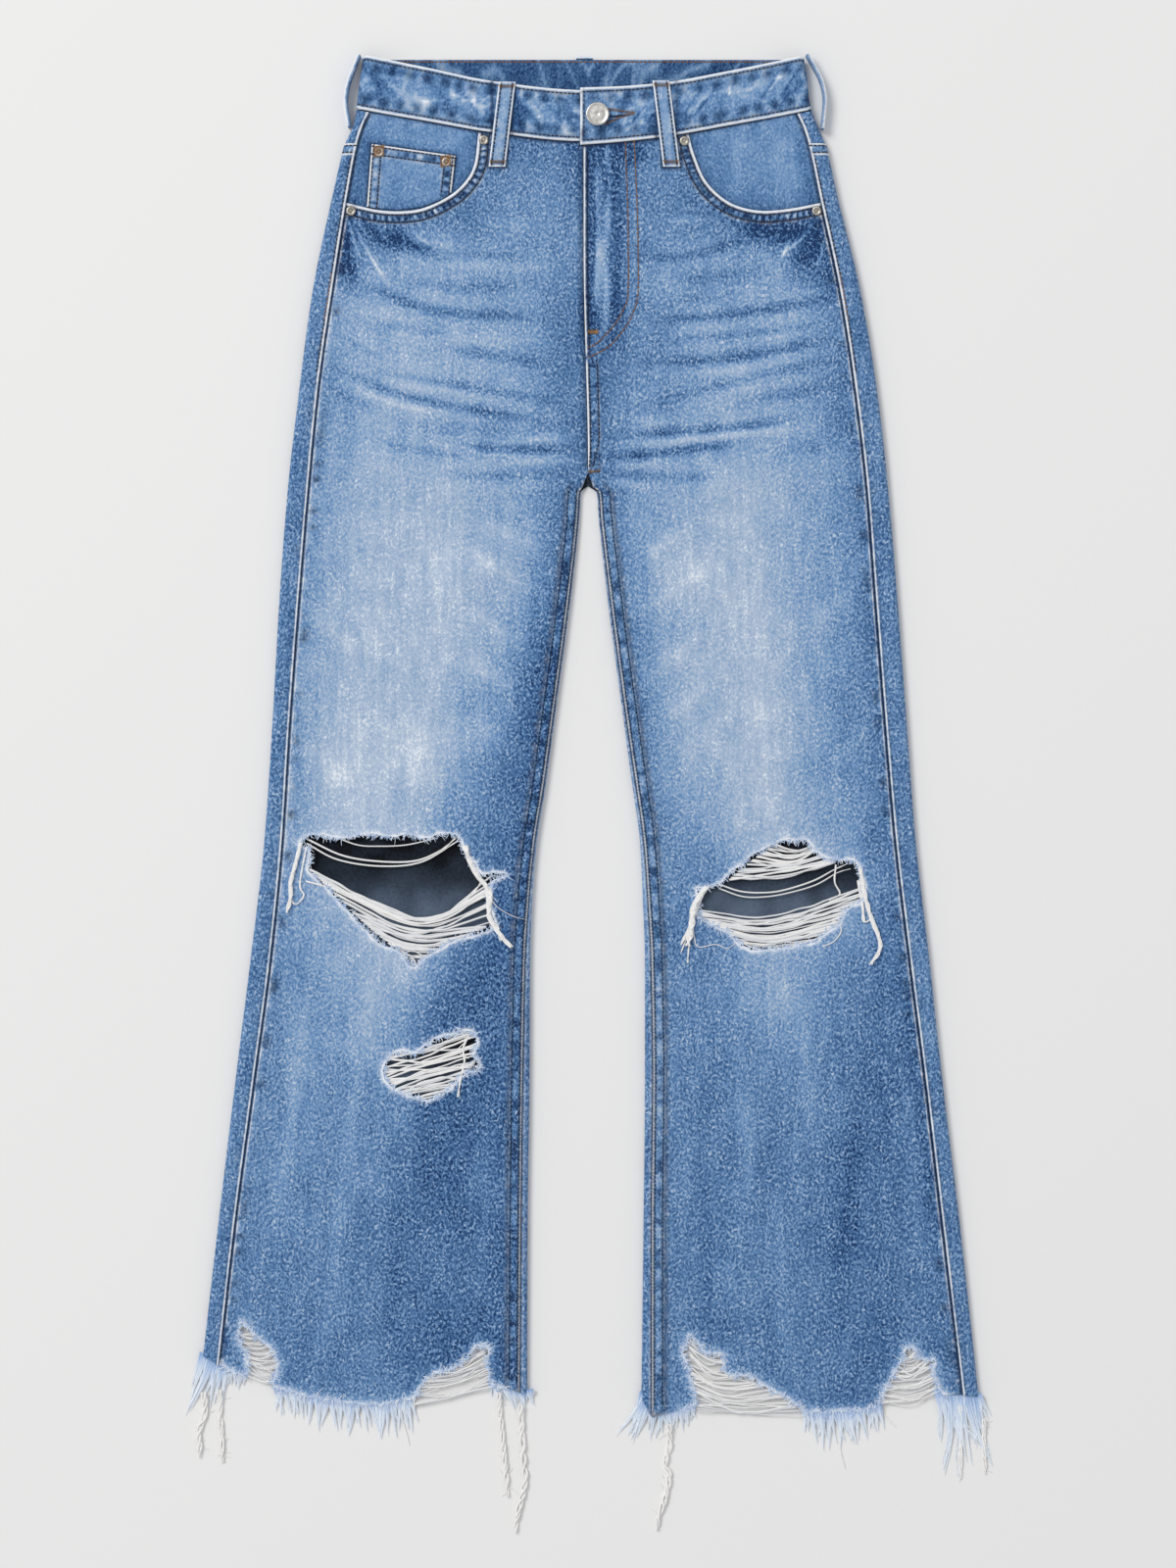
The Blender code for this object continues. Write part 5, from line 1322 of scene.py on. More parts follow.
class Lines:
    """Runs of points gathered with values of their own, which a tree turns into one mesh."""

    def __init__(self) -> None:
        """Starts with none."""
        self.points: list[Array] = []
        self.edges: list[Array] = []
        self.values: dict[str, list[Array]] = {}
        self.total = 0

    def gather(self, path: Array, **values: Array) -> None:
        """Adds one run with its values, a number or a direction a point.

        Args:
            path: Its points in the frame.
            values: A number or a direction a point, by attribute name.
        """
        number = np.arange(self.total, self.total + len(path))
        self.points.append(np.asarray(path, float))
        self.edges.append(np.stack([number[:-1], number[1:]], axis=1))
        for key, value in values.items():
            self.values.setdefault(key, []).append(value)
        self.total += len(path)

    def grow(self, name: str, tree: NodeTree, **inputs: object) -> Object:
        """Runs a tree on the lines and keeps what it makes as a plain mesh.

        Args:
            name: The piece's name.
            tree: The tree.
            inputs: The tree's inputs, by name.

        Returns:
            The object.
        """
        made = new_object(name, np.concatenate(self.points), [], np.concatenate(self.edges).tolist())
        for key, values in self.values.items():
            set_field(made.data, key, np.concatenate(values))
        modifier = made.modifiers.new(tree.name, "NODES")
        modifier.node_group = tree
        for item in tree.interface.items_tree:
            if item.item_type == "SOCKET" and item.in_out == "INPUT" and item.name in inputs:
                modifier[item.identifier] = inputs[item.name]
        graph = bpy.context.evaluated_depsgraph_get()
        mesh = bpy.data.meshes.new_from_object(made.evaluated_get(graph), preserve_all_data_layers=True,
                                               depsgraph=graph)
        made.modifiers.remove(modifier)
        plain, made.data = made.data, mesh
        bpy.data.meshes.remove(plain)
        return made


class Skein(Lines):
    """Yarns, which become thin tubes."""

    def add(self, path: Array, girth: Array | float, tint: Array | float) -> None:
        """Adds one yarn.

        Args:
            path: Its points in the frame.
            girth: Its radius, for all points or for each.
            tint: From 0 dyed to 1 bare, for all points or for each.
        """
        self.gather(path, girth=np.zeros(len(path)) + girth, tint=np.zeros(len(path)) + tint)

    def build(self, name: str, tubes: NodeTree, finish: Material, sides: int = 4) -> Object:
        """Makes the yarns, with so many faces round each, by the thread_tubes tree."""
        return self.grow(name, tubes, Sides=sides, Finish=finish)


class Seams(Lines):
    """Rows of stitches."""

    def add(self, path: Array, up: Array) -> None:
        """Adds one row, by its points and the directions out of the cloth there."""
        self.gather(path, up=up)

    def build(self, name: str, stitches: NodeTree, finish: Material, pitch: float = 3.1 * MM,
              thickness: float = 0.56 * MM) -> Object:
        """Makes the stitches, a pitch apart and as thick as their thread, by the stitch_row tree."""
        return self.grow(name, stitches, Pitch=pitch, Thickness=thickness, Finish=finish)


@dataclass(frozen=True)
class Finishes:
    """The materials that the sub-assemblies share."""

    denim: Material
    strip: Material
    loops: Material
    lining: Material
    rust: Material
    smoke: Material
    inky: Material
    weft: Material
    fray: Material
    silver: Material
    pewter: Material

    @classmethod
    def mixed(cls) -> Finishes:
        """Builds every material.

        Returns:
            The materials.
        """
        return cls(
            denim=WashedDenim("washed_denim").build(),
            strip=WashedDenim("washed_denim_seams", slub=0.55).build(),
            loops=WashedDenim("washed_denim_light", lift=0.04, slub=0.5).build(),
            lining=DenimWrongSide("denim_wrong_side").build(),
            rust=CottonYarn("rust_topstitch", "#8C5E38", "#C99D6C", 0.1, 0.0).build(),
            smoke=CottonYarn("smoke_topstitch", "#332B2E", "#6E5747", 0.1, 0.0).build(),
            inky=CottonYarn("inky_topstitch", "#1E2738", "#414A5C", 0.1, 0.0).build(),
            weft=CottonYarn("bare_weft", "#B4BECB", "#F2F0EE", glow=0.05).build(),
            fray=CottonYarn("frayed_cotton", "#7FA6D8", "#E6EDF6").build(),
            silver=AgedMetal("brushed_nickel", "#E6E3DE", "#C2BFB9", 0.36).build(),
            pewter=AgedMetal("antique_nickel", "#CBC6BC", "#6E6A64", 0.40).build(),
        )


def settle(made: Object, slot: str, *nodes: str) -> None:
    """Fixes a finished piece to the body, in place of the nodes named.

    Args:
        made: The piece.
        slot: Not used.
        nodes: The nodes that it stands in for.
    """
    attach(made, "root")
    if nodes:
        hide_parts(*nodes)
    LOG.info("%s: %d faces", made.name, len(made.data.polygons))


@dataclass(frozen=True)
class FrontSizes:
    """Sizes of the folded seams on a front, in metres."""

    inseam_width: float = 0.0098
    inseam_rows: tuple[float, float] = (0.0022, 0.0083)
    pocket_width: float = 0.0094
    pocket_rows: tuple[float, float] = (0.0029, 0.0083)
    finest: float = 0.0013
    fine: float = 0.0020
    coarse: float = 0.0034
    fine_foot: float = 0.36


class FrontPanel:
    """A front with its leg: cut at the pocket, torn at the knee, washed, creased and stitched."""

    def __init__(self, leg: LegForm, sizes: FrontSizes = FrontSizes()) -> None:
        """Works out the panel's edges.

        Args:
            leg: The form it lies on.
            sizes: Its seams.
        """
        self.leg = leg
        self.sizes = sizes
        self.side = leg.side
        self.foot = line(BAND_FOOT_ROWS[self.side], "drop", against="reach")
        self.wash = [line(WASH_ROWS[self.side], column)
                     for column in ("inner", "inner_mid", "middle", "outer_mid", "outer")]
        curve = metres([(row.reach / MM, row.drop / MM) for row in POCKET_CURVE_ROWS[self.side]])
        end = (float(leg.outseam(POCKET_AT_OUTSEAM)), POCKET_AT_OUTSEAM)
        self.pocket = resampled(np.concatenate([curve, [end]]), 1.5 * MM)
        seed = 40 + 10 * self.side.value
        self.tears = [ragged(metres(KNEE_TEAR_MM[self.side]), seed, True)]
        if self.side is Side.RIGHT:
            self.tears.append(ragged(metres(SHIN_TEAR_MM), seed + 3, True))
        self.hem = ragged(metres(HEM_EDGE_MM[self.side]), seed + 5, False)

    def outline(self) -> Array:
        """The panel's edge from the crotch up the centre, along the waistband and down the side.

        Returns:
            Reach and drop of each point.
        """
        leg, side = self.leg, self.side
        band_end_foot = BAND_FOOT_ROWS[Side.LEFT][0].drop + SEAM_GAP
        half = 0.5 * SEAM_GAP
        drops = np.arange(CROTCH_FRONT, band_end_foot, -2 * MM)
        edge = [(self.side.value * float(centre_seam(drop)) + half, drop) for drop in drops]
        top_start = 0.0150
        if side is Side.RIGHT:
            top_start = SEAM_GAP - BAND_LEFT_END
            edge.append((top_start, band_end_foot))
        first = self.pocket[0, 0]
        tops = np.linspace(top_start, first, 34)
        edge += [(reach, float(self.foot(reach)) + SEAM_GAP) for reach in tops]
        edge += [tuple(place) for place in self.pocket if place[1] > edge[-1][1] + 0.8 * MM]
        ends = HEM_ENDS[side]
        drops = np.arange(POCKET_AT_OUTSEAM + 2 * MM, ends.outseam, 2.4 * MM)
        edge += [(float(leg.outseam(drop)) - half, drop) for drop in drops]
        edge.append((float(leg.outseam(ends.outseam)) - half, ends.outseam))
        edge += [tuple(place) for place in self.hem]
        drops = np.arange(ends.inseam, CROTCH_BACK, -2.4 * MM)
        edge += [(float(leg.inseam(drop)) + half, drop) for drop in drops]
        return np.array(edge)

    def inner_edge(self, drop: Array) -> Array:
        """Reach of the centre seam above the crotch and of the inseam below it."""
        low = np.maximum(self.leg.inseam(drop), 0)
        return np.where(drop < CROTCH_FRONT + 0.004, self.side.value * centre_seam(drop), low)

    def whiskered(self, cloth: Dressing, reach: Array, drop: Array) -> None:
        """Adds the worn lines across the hips.

        Args:
            cloth: The dressing that is changed.
            reach: The places' reaches.
            drop: The places' drops.
        """
        for number, row in enumerate(WHISKERS[self.side] + POCKET_CREASES[self.side]):
            ends = metres(((row.reach, row.drop), (row.mid_reach, row.mid_drop), (row.end_reach, row.end_drop)))
            path = resampled(ends, 8 * MM)
            width = 0.85 * row.half_width * MM
            low, high = path.min(axis=0) - 3 * width, path.max(axis=0) + 3 * width
            near = (reach > low[0]) & (reach < high[0]) & (drop > low[1]) & (drop < high[1])
            gap, along = nearest_on(path, reach[near], drop[near])
            length = np.linalg.norm(np.diff(path, axis=0), axis=1).sum()
            uneven = Lumps(300 + number, 13 * MM)(along + number * 0.1)
            swell = smoothstep(0, 0.3, along / length) * (1 - smoothstep(0.72, 1, along / length))
            line_of = bell(gap, width * (1 + 0.25 * uneven)) * (1 + 0.35 * uneven) * (0.25 + 0.75 * swell)
            bold = (1.9 if row.lighter < 0 else 1.2) if number < len(WHISKERS[self.side]) else 1.15
            cloth.fade[near] += bold * row.lighter * line_of
            cloth.relief[near] += 0.36 * MM * np.sign(row.lighter) * min(1.4, abs(row.lighter) / 0.10) * line_of

    def dress(self, reach: Array, drop: Array) -> Dressing:
        """Relief, fade, wear and shade at places on the panel.

        Args:
            reach: The places' reaches.
            drop: The places' drops.

        Returns:
            The dressing.
        """
        leg, sign = self.leg, self.side.value
        reach, drop = np.asarray(reach, float), np.asarray(drop, float)
        cloth = Dressing.plain(reach)
        inner, outer = self.inner_edge(drop), leg.outseam(drop)
        part = np.clip((reach - inner) / (outer - inner), 0, 0.9999) * 4
        k = part.astype(int)
        t = part - k
        t = 0.5 * t + 0.5 * smoothstep(0, 1, t)
        columns = np.stack([wash(drop) for wash in self.wash])
        pick = np.arange(len(reach))
        cloth.fade = columns[k, pick] * (1 - t) + columns[k + 1, pick] * t
        for spot in WASH_SPOTS[self.side]:
            off = bell(reach - spot.reach * MM, spot.half_width * MM)
            cloth.fade += spot.lighter * off * bell(drop - spot.drop * MM, spot.half_length * MM)
        cloth.fade += 0.045 * Lumps(11 + sign, 26 * MM)(reach, drop)
        cloth.fade += 0.035 * Lumps(21 + sign, 8 * MM)(reach, 0.7 * drop)
        cloth.relief += 0.10 * MM * Lumps(31 + sign, 17 * MM)(reach, drop)
        creases = folded(CREASE_ROWS[self.side], reach, drop)
        cloth.relief += creases
        cloth.fade += 260 * creases + 60 * (folded(FOLD_ROWS, reach, drop) - 0.3 * MM)
        self.whiskered(cloth, reach, drop)
        self.seam_dressed(cloth, reach, drop)
        self.tear_dressed(cloth, reach, drop)
        return cloth

    def seam_dressed(self, cloth: Dressing, reach: Array, drop: Array) -> None:
        """Adds the outseam, inseam, crotch seam, pocket edge and waistband's foot.

        Args:
            cloth: The dressing that is changed.
            reach: The places' reaches.
            drop: The places' drops.
        """
        leg, sizes, sign = self.leg, self.sizes, self.side.value
        gap = leg.outseam(drop) - reach
        below = smoothstep(POCKET_AT_OUTSEAM - 0.004, POCKET_AT_OUTSEAM + 0.004, drop)
        lump = Lumps(51 + sign, 5 * MM)(drop)
        cloth.grooved(gap - 0.4 * MM, 0.85 * MM, 0.45 * MM, 1.0 * below)
        cloth.worn(gap - 1.9 * MM, 0.62 * MM, 0.78 * below * (0.85 + 0.3 * lump))
        cloth.fade += 0.10 * bell(gap - 3.3 * MM, 0.9 * MM) * below * (0.7 + 0.5 * lump)
        cloth.puckered(bell(gap - 3.0 * MM, 2.4 * MM) * below, lump, 0.22 * MM, 0.10)
        spots = np.clip(Lumps(61 + sign, 6 * MM)(drop, gap * 0.5) - 0.15, 0, 1) * 1.8
        cloth.dye_and_shade(0.55 * spots * bell(gap - 5.0 * MM, 3.0 * MM) * below)
        cloth.fade -= 0.07 * bell(gap, 10 * MM) * below
        gap = reach - leg.inseam(drop)
        on = smoothstep(CROTCH_FRONT + 0.002, CROTCH_FRONT + 0.012, drop)
        cloth.felled(gap, drop, sizes.inseam_width, sizes.inseam_rows, 71 + sign, 9 * MM, on)
        cloth.grooved(gap + 0.2 * MM, 0.8 * MM, 0.4 * MM, 0.95 * on)
        cloth.grooved(gap - sizes.inseam_width - 1.0 * MM, 0.9 * MM, 0.2 * MM, 0.75 * on)
        gap = reach - sign * centre_seam(drop)
        above = 1 - smoothstep(CROTCH_FRONT - 0.006, CROTCH_FRONT + 0.002, drop)
        if self.side is Side.LEFT:
            crotch = smoothstep(0.226, 0.234, drop) * above
            cloth.felled(gap, drop, 9.5 * MM, (2.3 * MM, 8.6 * MM), 81, 8 * MM, crotch)
            edge = above * (1 - smoothstep(0.222, 0.232, drop))
            cloth.relief += 0.55 * MM * edge * (1 - smoothstep(0, 16 * MM, gap))
            cloth.worn(gap - 0.6 * MM, 0.9 * MM, edge)
            cloth.grooved(gap - 2.9 * MM, 1.1 * MM, 0.3 * MM, 0.85 * edge)
            self.fly_dressed(cloth, reach, drop)
        else:
            # Painted shadow along the centre seam, where the left front's fly edge lies over it, with a slight hollow.
            hollow = bell(gap, 3.2 * MM) * above
            cloth.fade -= 0.14 * bell(gap, 14 * MM) * bell(drop - 0.085, 0.030)
            cloth.dye_and_shade(0.62 * hollow)
            cloth.relief -= 0.5 * MM * hollow
        near = (drop < 0.135) & (reach > self.pocket[0, 0] - 0.02)
        gap, along = nearest_on(self.pocket, reach[near], drop[near])
        part = Dressing(cloth.relief[near], cloth.fade[near], cloth.wear[near], cloth.shade[near])
        part.felled(gap, along, sizes.pocket_width, sizes.pocket_rows, 91 + sign, 5 * MM, contrast=1.35)
        part.worn(gap - 0.8 * MM, 1.45 * MM, 1.0)
        wave = np.sin(2 * math.pi * (along / (4.6 * MM) + 0.35 * Lumps(95 + sign, 14 * MM)(along) + 0.06 * gap / MM))
        between = bell(gap - 5.6 * MM, 2.3 * MM) * (0.8 + 0.4 * Lumps(96 + sign, 9 * MM)(along))
        part.puckered(between, wave, 0.22 * MM, 0.38)
        # Painted shade and indigo in the hollows between the puckers and along both stitch rows.
        part.dye_and_shade(0.80 * between * np.clip(-wave, 0, 1))
        part.puckered(bell(gap - 10.8 * MM, 2.0 * MM), wave, 0.12 * MM, 0.18)
        for row in sizes.pocket_rows:
            part.dye_and_shade(0.80 * bell(gap - row, 0.85 * MM))
        for name in ("relief", "fade", "wear", "shade"):
            getattr(cloth, name)[near] = getattr(part, name)
        # Painted shadow under the waistband's lower edge, in a shallow groove.
        gap = drop - self.foot(reach)
        cloth.grooved(gap - 0.4 * MM, 2.1 * MM, 0.3 * MM, 1.0)
        # Painted shadow of the front belt loop on the cloth beside and below its foot.
        loop = np.abs(reach - BeltLoops.ENDS[self.side][1].reach)
        tail = 1 - smoothstep(0.0850, 0.0862, drop)
        cloth.dye_and_shade(0.85 * bell(loop - 7.2 * MM, 1.5 * MM) * tail)
        cloth.dye_and_shade(0.85 * bell(drop - 0.0856, 1.1 * MM) * (loop < 7.2 * MM))
        cloth.puckered(bell(gap - 4 * MM, 4 * MM), Lumps(101 + sign, 4 * MM)(reach), 0.25 * MM, 0.10)

    def fly_dressed(self, cloth: Dressing, reach: Array, drop: Array) -> None:
        """Adds the fly's placket inside its curved stitching.

        Args:
            cloth: The dressing that is changed.
            reach: The places' reaches.
            drop: The places' drops.
        """
        outer = resampled(np.array(FLY_OUTER_ROWS), 4 * MM)
        inner = resampled(np.array(FLY_INNER_ROWS), 4 * MM)
        edge = line(FLY_OUTER_ROWS[:4], "reach")(drop)
        within = smoothstep(0, 2 * MM, edge + 2 * MM - reach) * (1 - smoothstep(0.195, 0.222, drop))
        cloth.relief += 0.35 * MM * within
        streak = Lumps(111, 3.2 * MM)(reach, 0.12 * drop)
        light = smoothstep(3 * MM, 6 * MM, reach) * (1 - smoothstep(15 * MM, 19 * MM, reach)) * within
        cloth.puckered(light, streak, 0.30 * MM, 0.30)
        dark = bell(reach - 21 * MM, 6 * MM) * within * (1 - 0.6 * smoothstep(0.17, 0.21, drop))
        cloth.fade = cloth.fade - 0.24 * dark + 0.07 * light - 0.20 * bell(reach - 2 * MM, 4 * MM) * within
        for path in (outer, inner):
            gap, _ = nearest_on(path, reach, drop)
            cloth.grooved(gap, 0.8 * MM, 0.25 * MM, 0.30)
        gap, along = nearest_on(outer, reach, drop)
        lump = Lumps(121, 4 * MM)(along)
        cloth.puckered(bell(gap - 3 * MM, 2.6 * MM), lump, 0.22 * MM, 0.10)

    def tear_dressed(self, cloth: Dressing, reach: Array, drop: Array) -> None:
        """Bleaches and lifts the cloth along the torn edges and the raw hem.

        Args:
            cloth: The dressing that is changed.
            reach: The places' reaches.
            drop: The places' drops.
        """
        for number, path in enumerate([*[closed(tear) for tear in self.tears], self.hem]):
            low, high = path.min(axis=0) - 0.02, path.max(axis=0) + 0.02
            near = (reach > low[0]) & (reach < high[0]) & (drop > low[1]) & (drop < high[1])
            gap, along = nearest_on(path, reach[near], drop[near])
            uneven = Lumps(130 + number, 7 * MM)(along)
            torn = number < len(self.tears)
            cloth.fade[near] += ((0.05 if torn else 0.26) + 0.08 * uneven) * bell(gap, 4.5 * MM)
            rubbed = bell(gap, (1.6 + 0.6 * uneven) * MM) * ((0.80 if torn else 0.62) + 0.25 * uneven)
            cloth.wear[near] = np.maximum(cloth.wear[near], rubbed)
            lift = 0.5 if torn else -0.2
            cloth.relief[near] += (lift + 0.5 * uneven) * 0.6 * MM * bell(gap, 5 * MM)

    def surface(self, path: Array, off: float) -> tuple[Array, Array]:
        """Points over the panel's face along a path, and the directions out of it there.

        Args:
            path: Reach and drop along the path.
            off: How far over the face, in metres.

        Returns:
            The points and the unit directions.
        """
        reach, drop = path[:, 0], path[:, 1]
        relief = self.dress(reach, drop).relief
        return (self.leg.sunk(self.leg.upper, reach, drop, -(relief + off)),
                self.leg.outward(self.leg.upper, reach, drop))

    def seam_rows(self) -> list[Array]:
        """Lines beside the seams and edges that the mesh follows.

        Returns:
            The lines.
        """
        leg, rows = self.leg, []
        ends = HEM_ENDS[self.side]
        drops = np.arange(POCKET_AT_OUTSEAM, min(ends.outseam, 0.955), 2.4 * MM)
        for offset in (0.7, 1.2, 1.8, 2.6, 3.8, 5.4):
            rows.append(np.stack([leg.outseam(drops) - offset * MM, drops], axis=1))
        drops = np.arange(CROTCH_BACK, ends.inseam - 0.004, 2.4 * MM)
        for offset in (0.9, 1.6, 2.2, 2.9, 4.2, 6.0, 7.5, 8.3, 9.1, 10.3):
            rows.append(np.stack([leg.inseam(drops) + offset * MM, drops], axis=1))
        drops = np.arange(0.070, CROTCH_FRONT, 2.0 * MM)
        for offset in (0.9, 1.7, 2.5, 3.2, 5.0, 7.6, 8.6, 9.6):
            rows.append(np.stack([self.side.value * centre_seam(drops) + offset * MM, drops], axis=1))
        for offset in (0.7, 1.5, 2.3, 2.9, 3.6, 5.5, 7.6, 8.3, 9.0, 10.0):
            rows.append(beside(self.pocket, offset * MM))
        reaches = np.arange(0.002, self.pocket[0, 0], 2 * MM)
        for offset in (0.9, 1.8, 3.0):
            rows.append(np.stack([reaches, self.foot(reaches) + SEAM_GAP + offset * MM], axis=1))
        for path in [*self.tears, self.hem]:
            edge = closed(path) if path is not self.hem else path
            for offset in (1.3, 2.8, -1.3, -2.8):
                rows.append(beside(edge, offset * MM))
        if self.side is Side.LEFT:
            for table in (FLY_OUTER_ROWS, FLY_INNER_ROWS):
                path = resampled(np.array(table), 2.0 * MM)
                rows += [path, beside(path, 0.8 * MM), beside(path, -0.8 * MM)]
        return rows

    def build(self, finishes: Finishes) -> Object:
        """Makes the panel.

        Args:
            finishes: The materials.

        Returns:
            The object.
        """
        sizes, leg = self.sizes, self.leg
        lattices = ((0.05, 0.108, sizes.fine), (0.108, 0.178, sizes.finest), (0.178, sizes.fine_foot, sizes.fine),
                    (sizes.fine_foot, 1.04, sizes.coarse))
        flat, cells = cut_cells([self.outline(), *self.tears], self.seam_rows(), lattices)
        reach, drop = flat[:, 0], flat[:, 1]
        cloth = self.dress(reach, drop)
        outer = leg.sunk(leg.upper, reach, drop, -cloth.relief)
        inner = leg.sunk(leg.upper, reach, drop, CLOTH - np.minimum(cloth.relief, 0.6 * MM))
        # The wrong side gets an even painted shade of 0.55.
        made = cloth_wall(f"front_{self.side.word}_cloth", outer, inner, cells, cloth,
                          finishes.denim, finishes.lining, np.zeros(len(reach)) + 0.55)
        settle(made, "washed_denim", f"front_{self.side.word}")
        return made

    def stitched(self, rust: Seams, smoke: Seams, inky: Seams) -> None:
        """Adds the panel's rows of stitches to those of each colour.

        Args:
            rust: Where the rust thread's rows go.
            smoke: Where the smoke thread's rows go.
            inky: Where the inky thread's rows go.
        """
        leg, sizes = self.leg, self.sizes
        off = 0.22 * MM
        ends = HEM_ENDS[self.side]
        drops = np.arange(CROTCH_BACK + 0.004, ends.inseam - 0.010, 1.5 * MM)
        for row in sizes.inseam_rows:
            inky.add(*self.surface(np.stack([leg.inseam(drops) + row, drops], axis=1), 2 * off))
        for row in sizes.pocket_rows:
            path = beside(self.pocket, row)
            path = path[inside(self.outline(), path)]
            smoke.add(*self.surface(path, 1.3 * off))
        if self.side is Side.LEFT:
            for table in (FLY_OUTER_ROWS, FLY_INNER_ROWS):
                path = resampled(np.array(table), 1.5 * MM)
                path = path[path[:, 1] > self.foot(path[:, 0]) + MM]
                rust.add(*self.surface(path[path[:, 0] > 0.5 * MM], off))
            drops = np.arange(0.075, 0.220, 1.5 * MM)
            path = np.stack([self.side.value * centre_seam(drops) + 3.0 * MM, drops], axis=1)
            inky.add(*self.surface(path, off))
            drops = np.arange(0.234, CROTCH_FRONT - 0.004, 1.5 * MM)
            for row in (2.3 * MM, 8.6 * MM):
                taper = 1 - 0.6 * smoothstep(0.285, CROTCH_FRONT, drops)
                path = np.stack([self.side.value * centre_seam(drops) + row * taper, drops], axis=1)
                smoke.add(*self.surface(path, off))


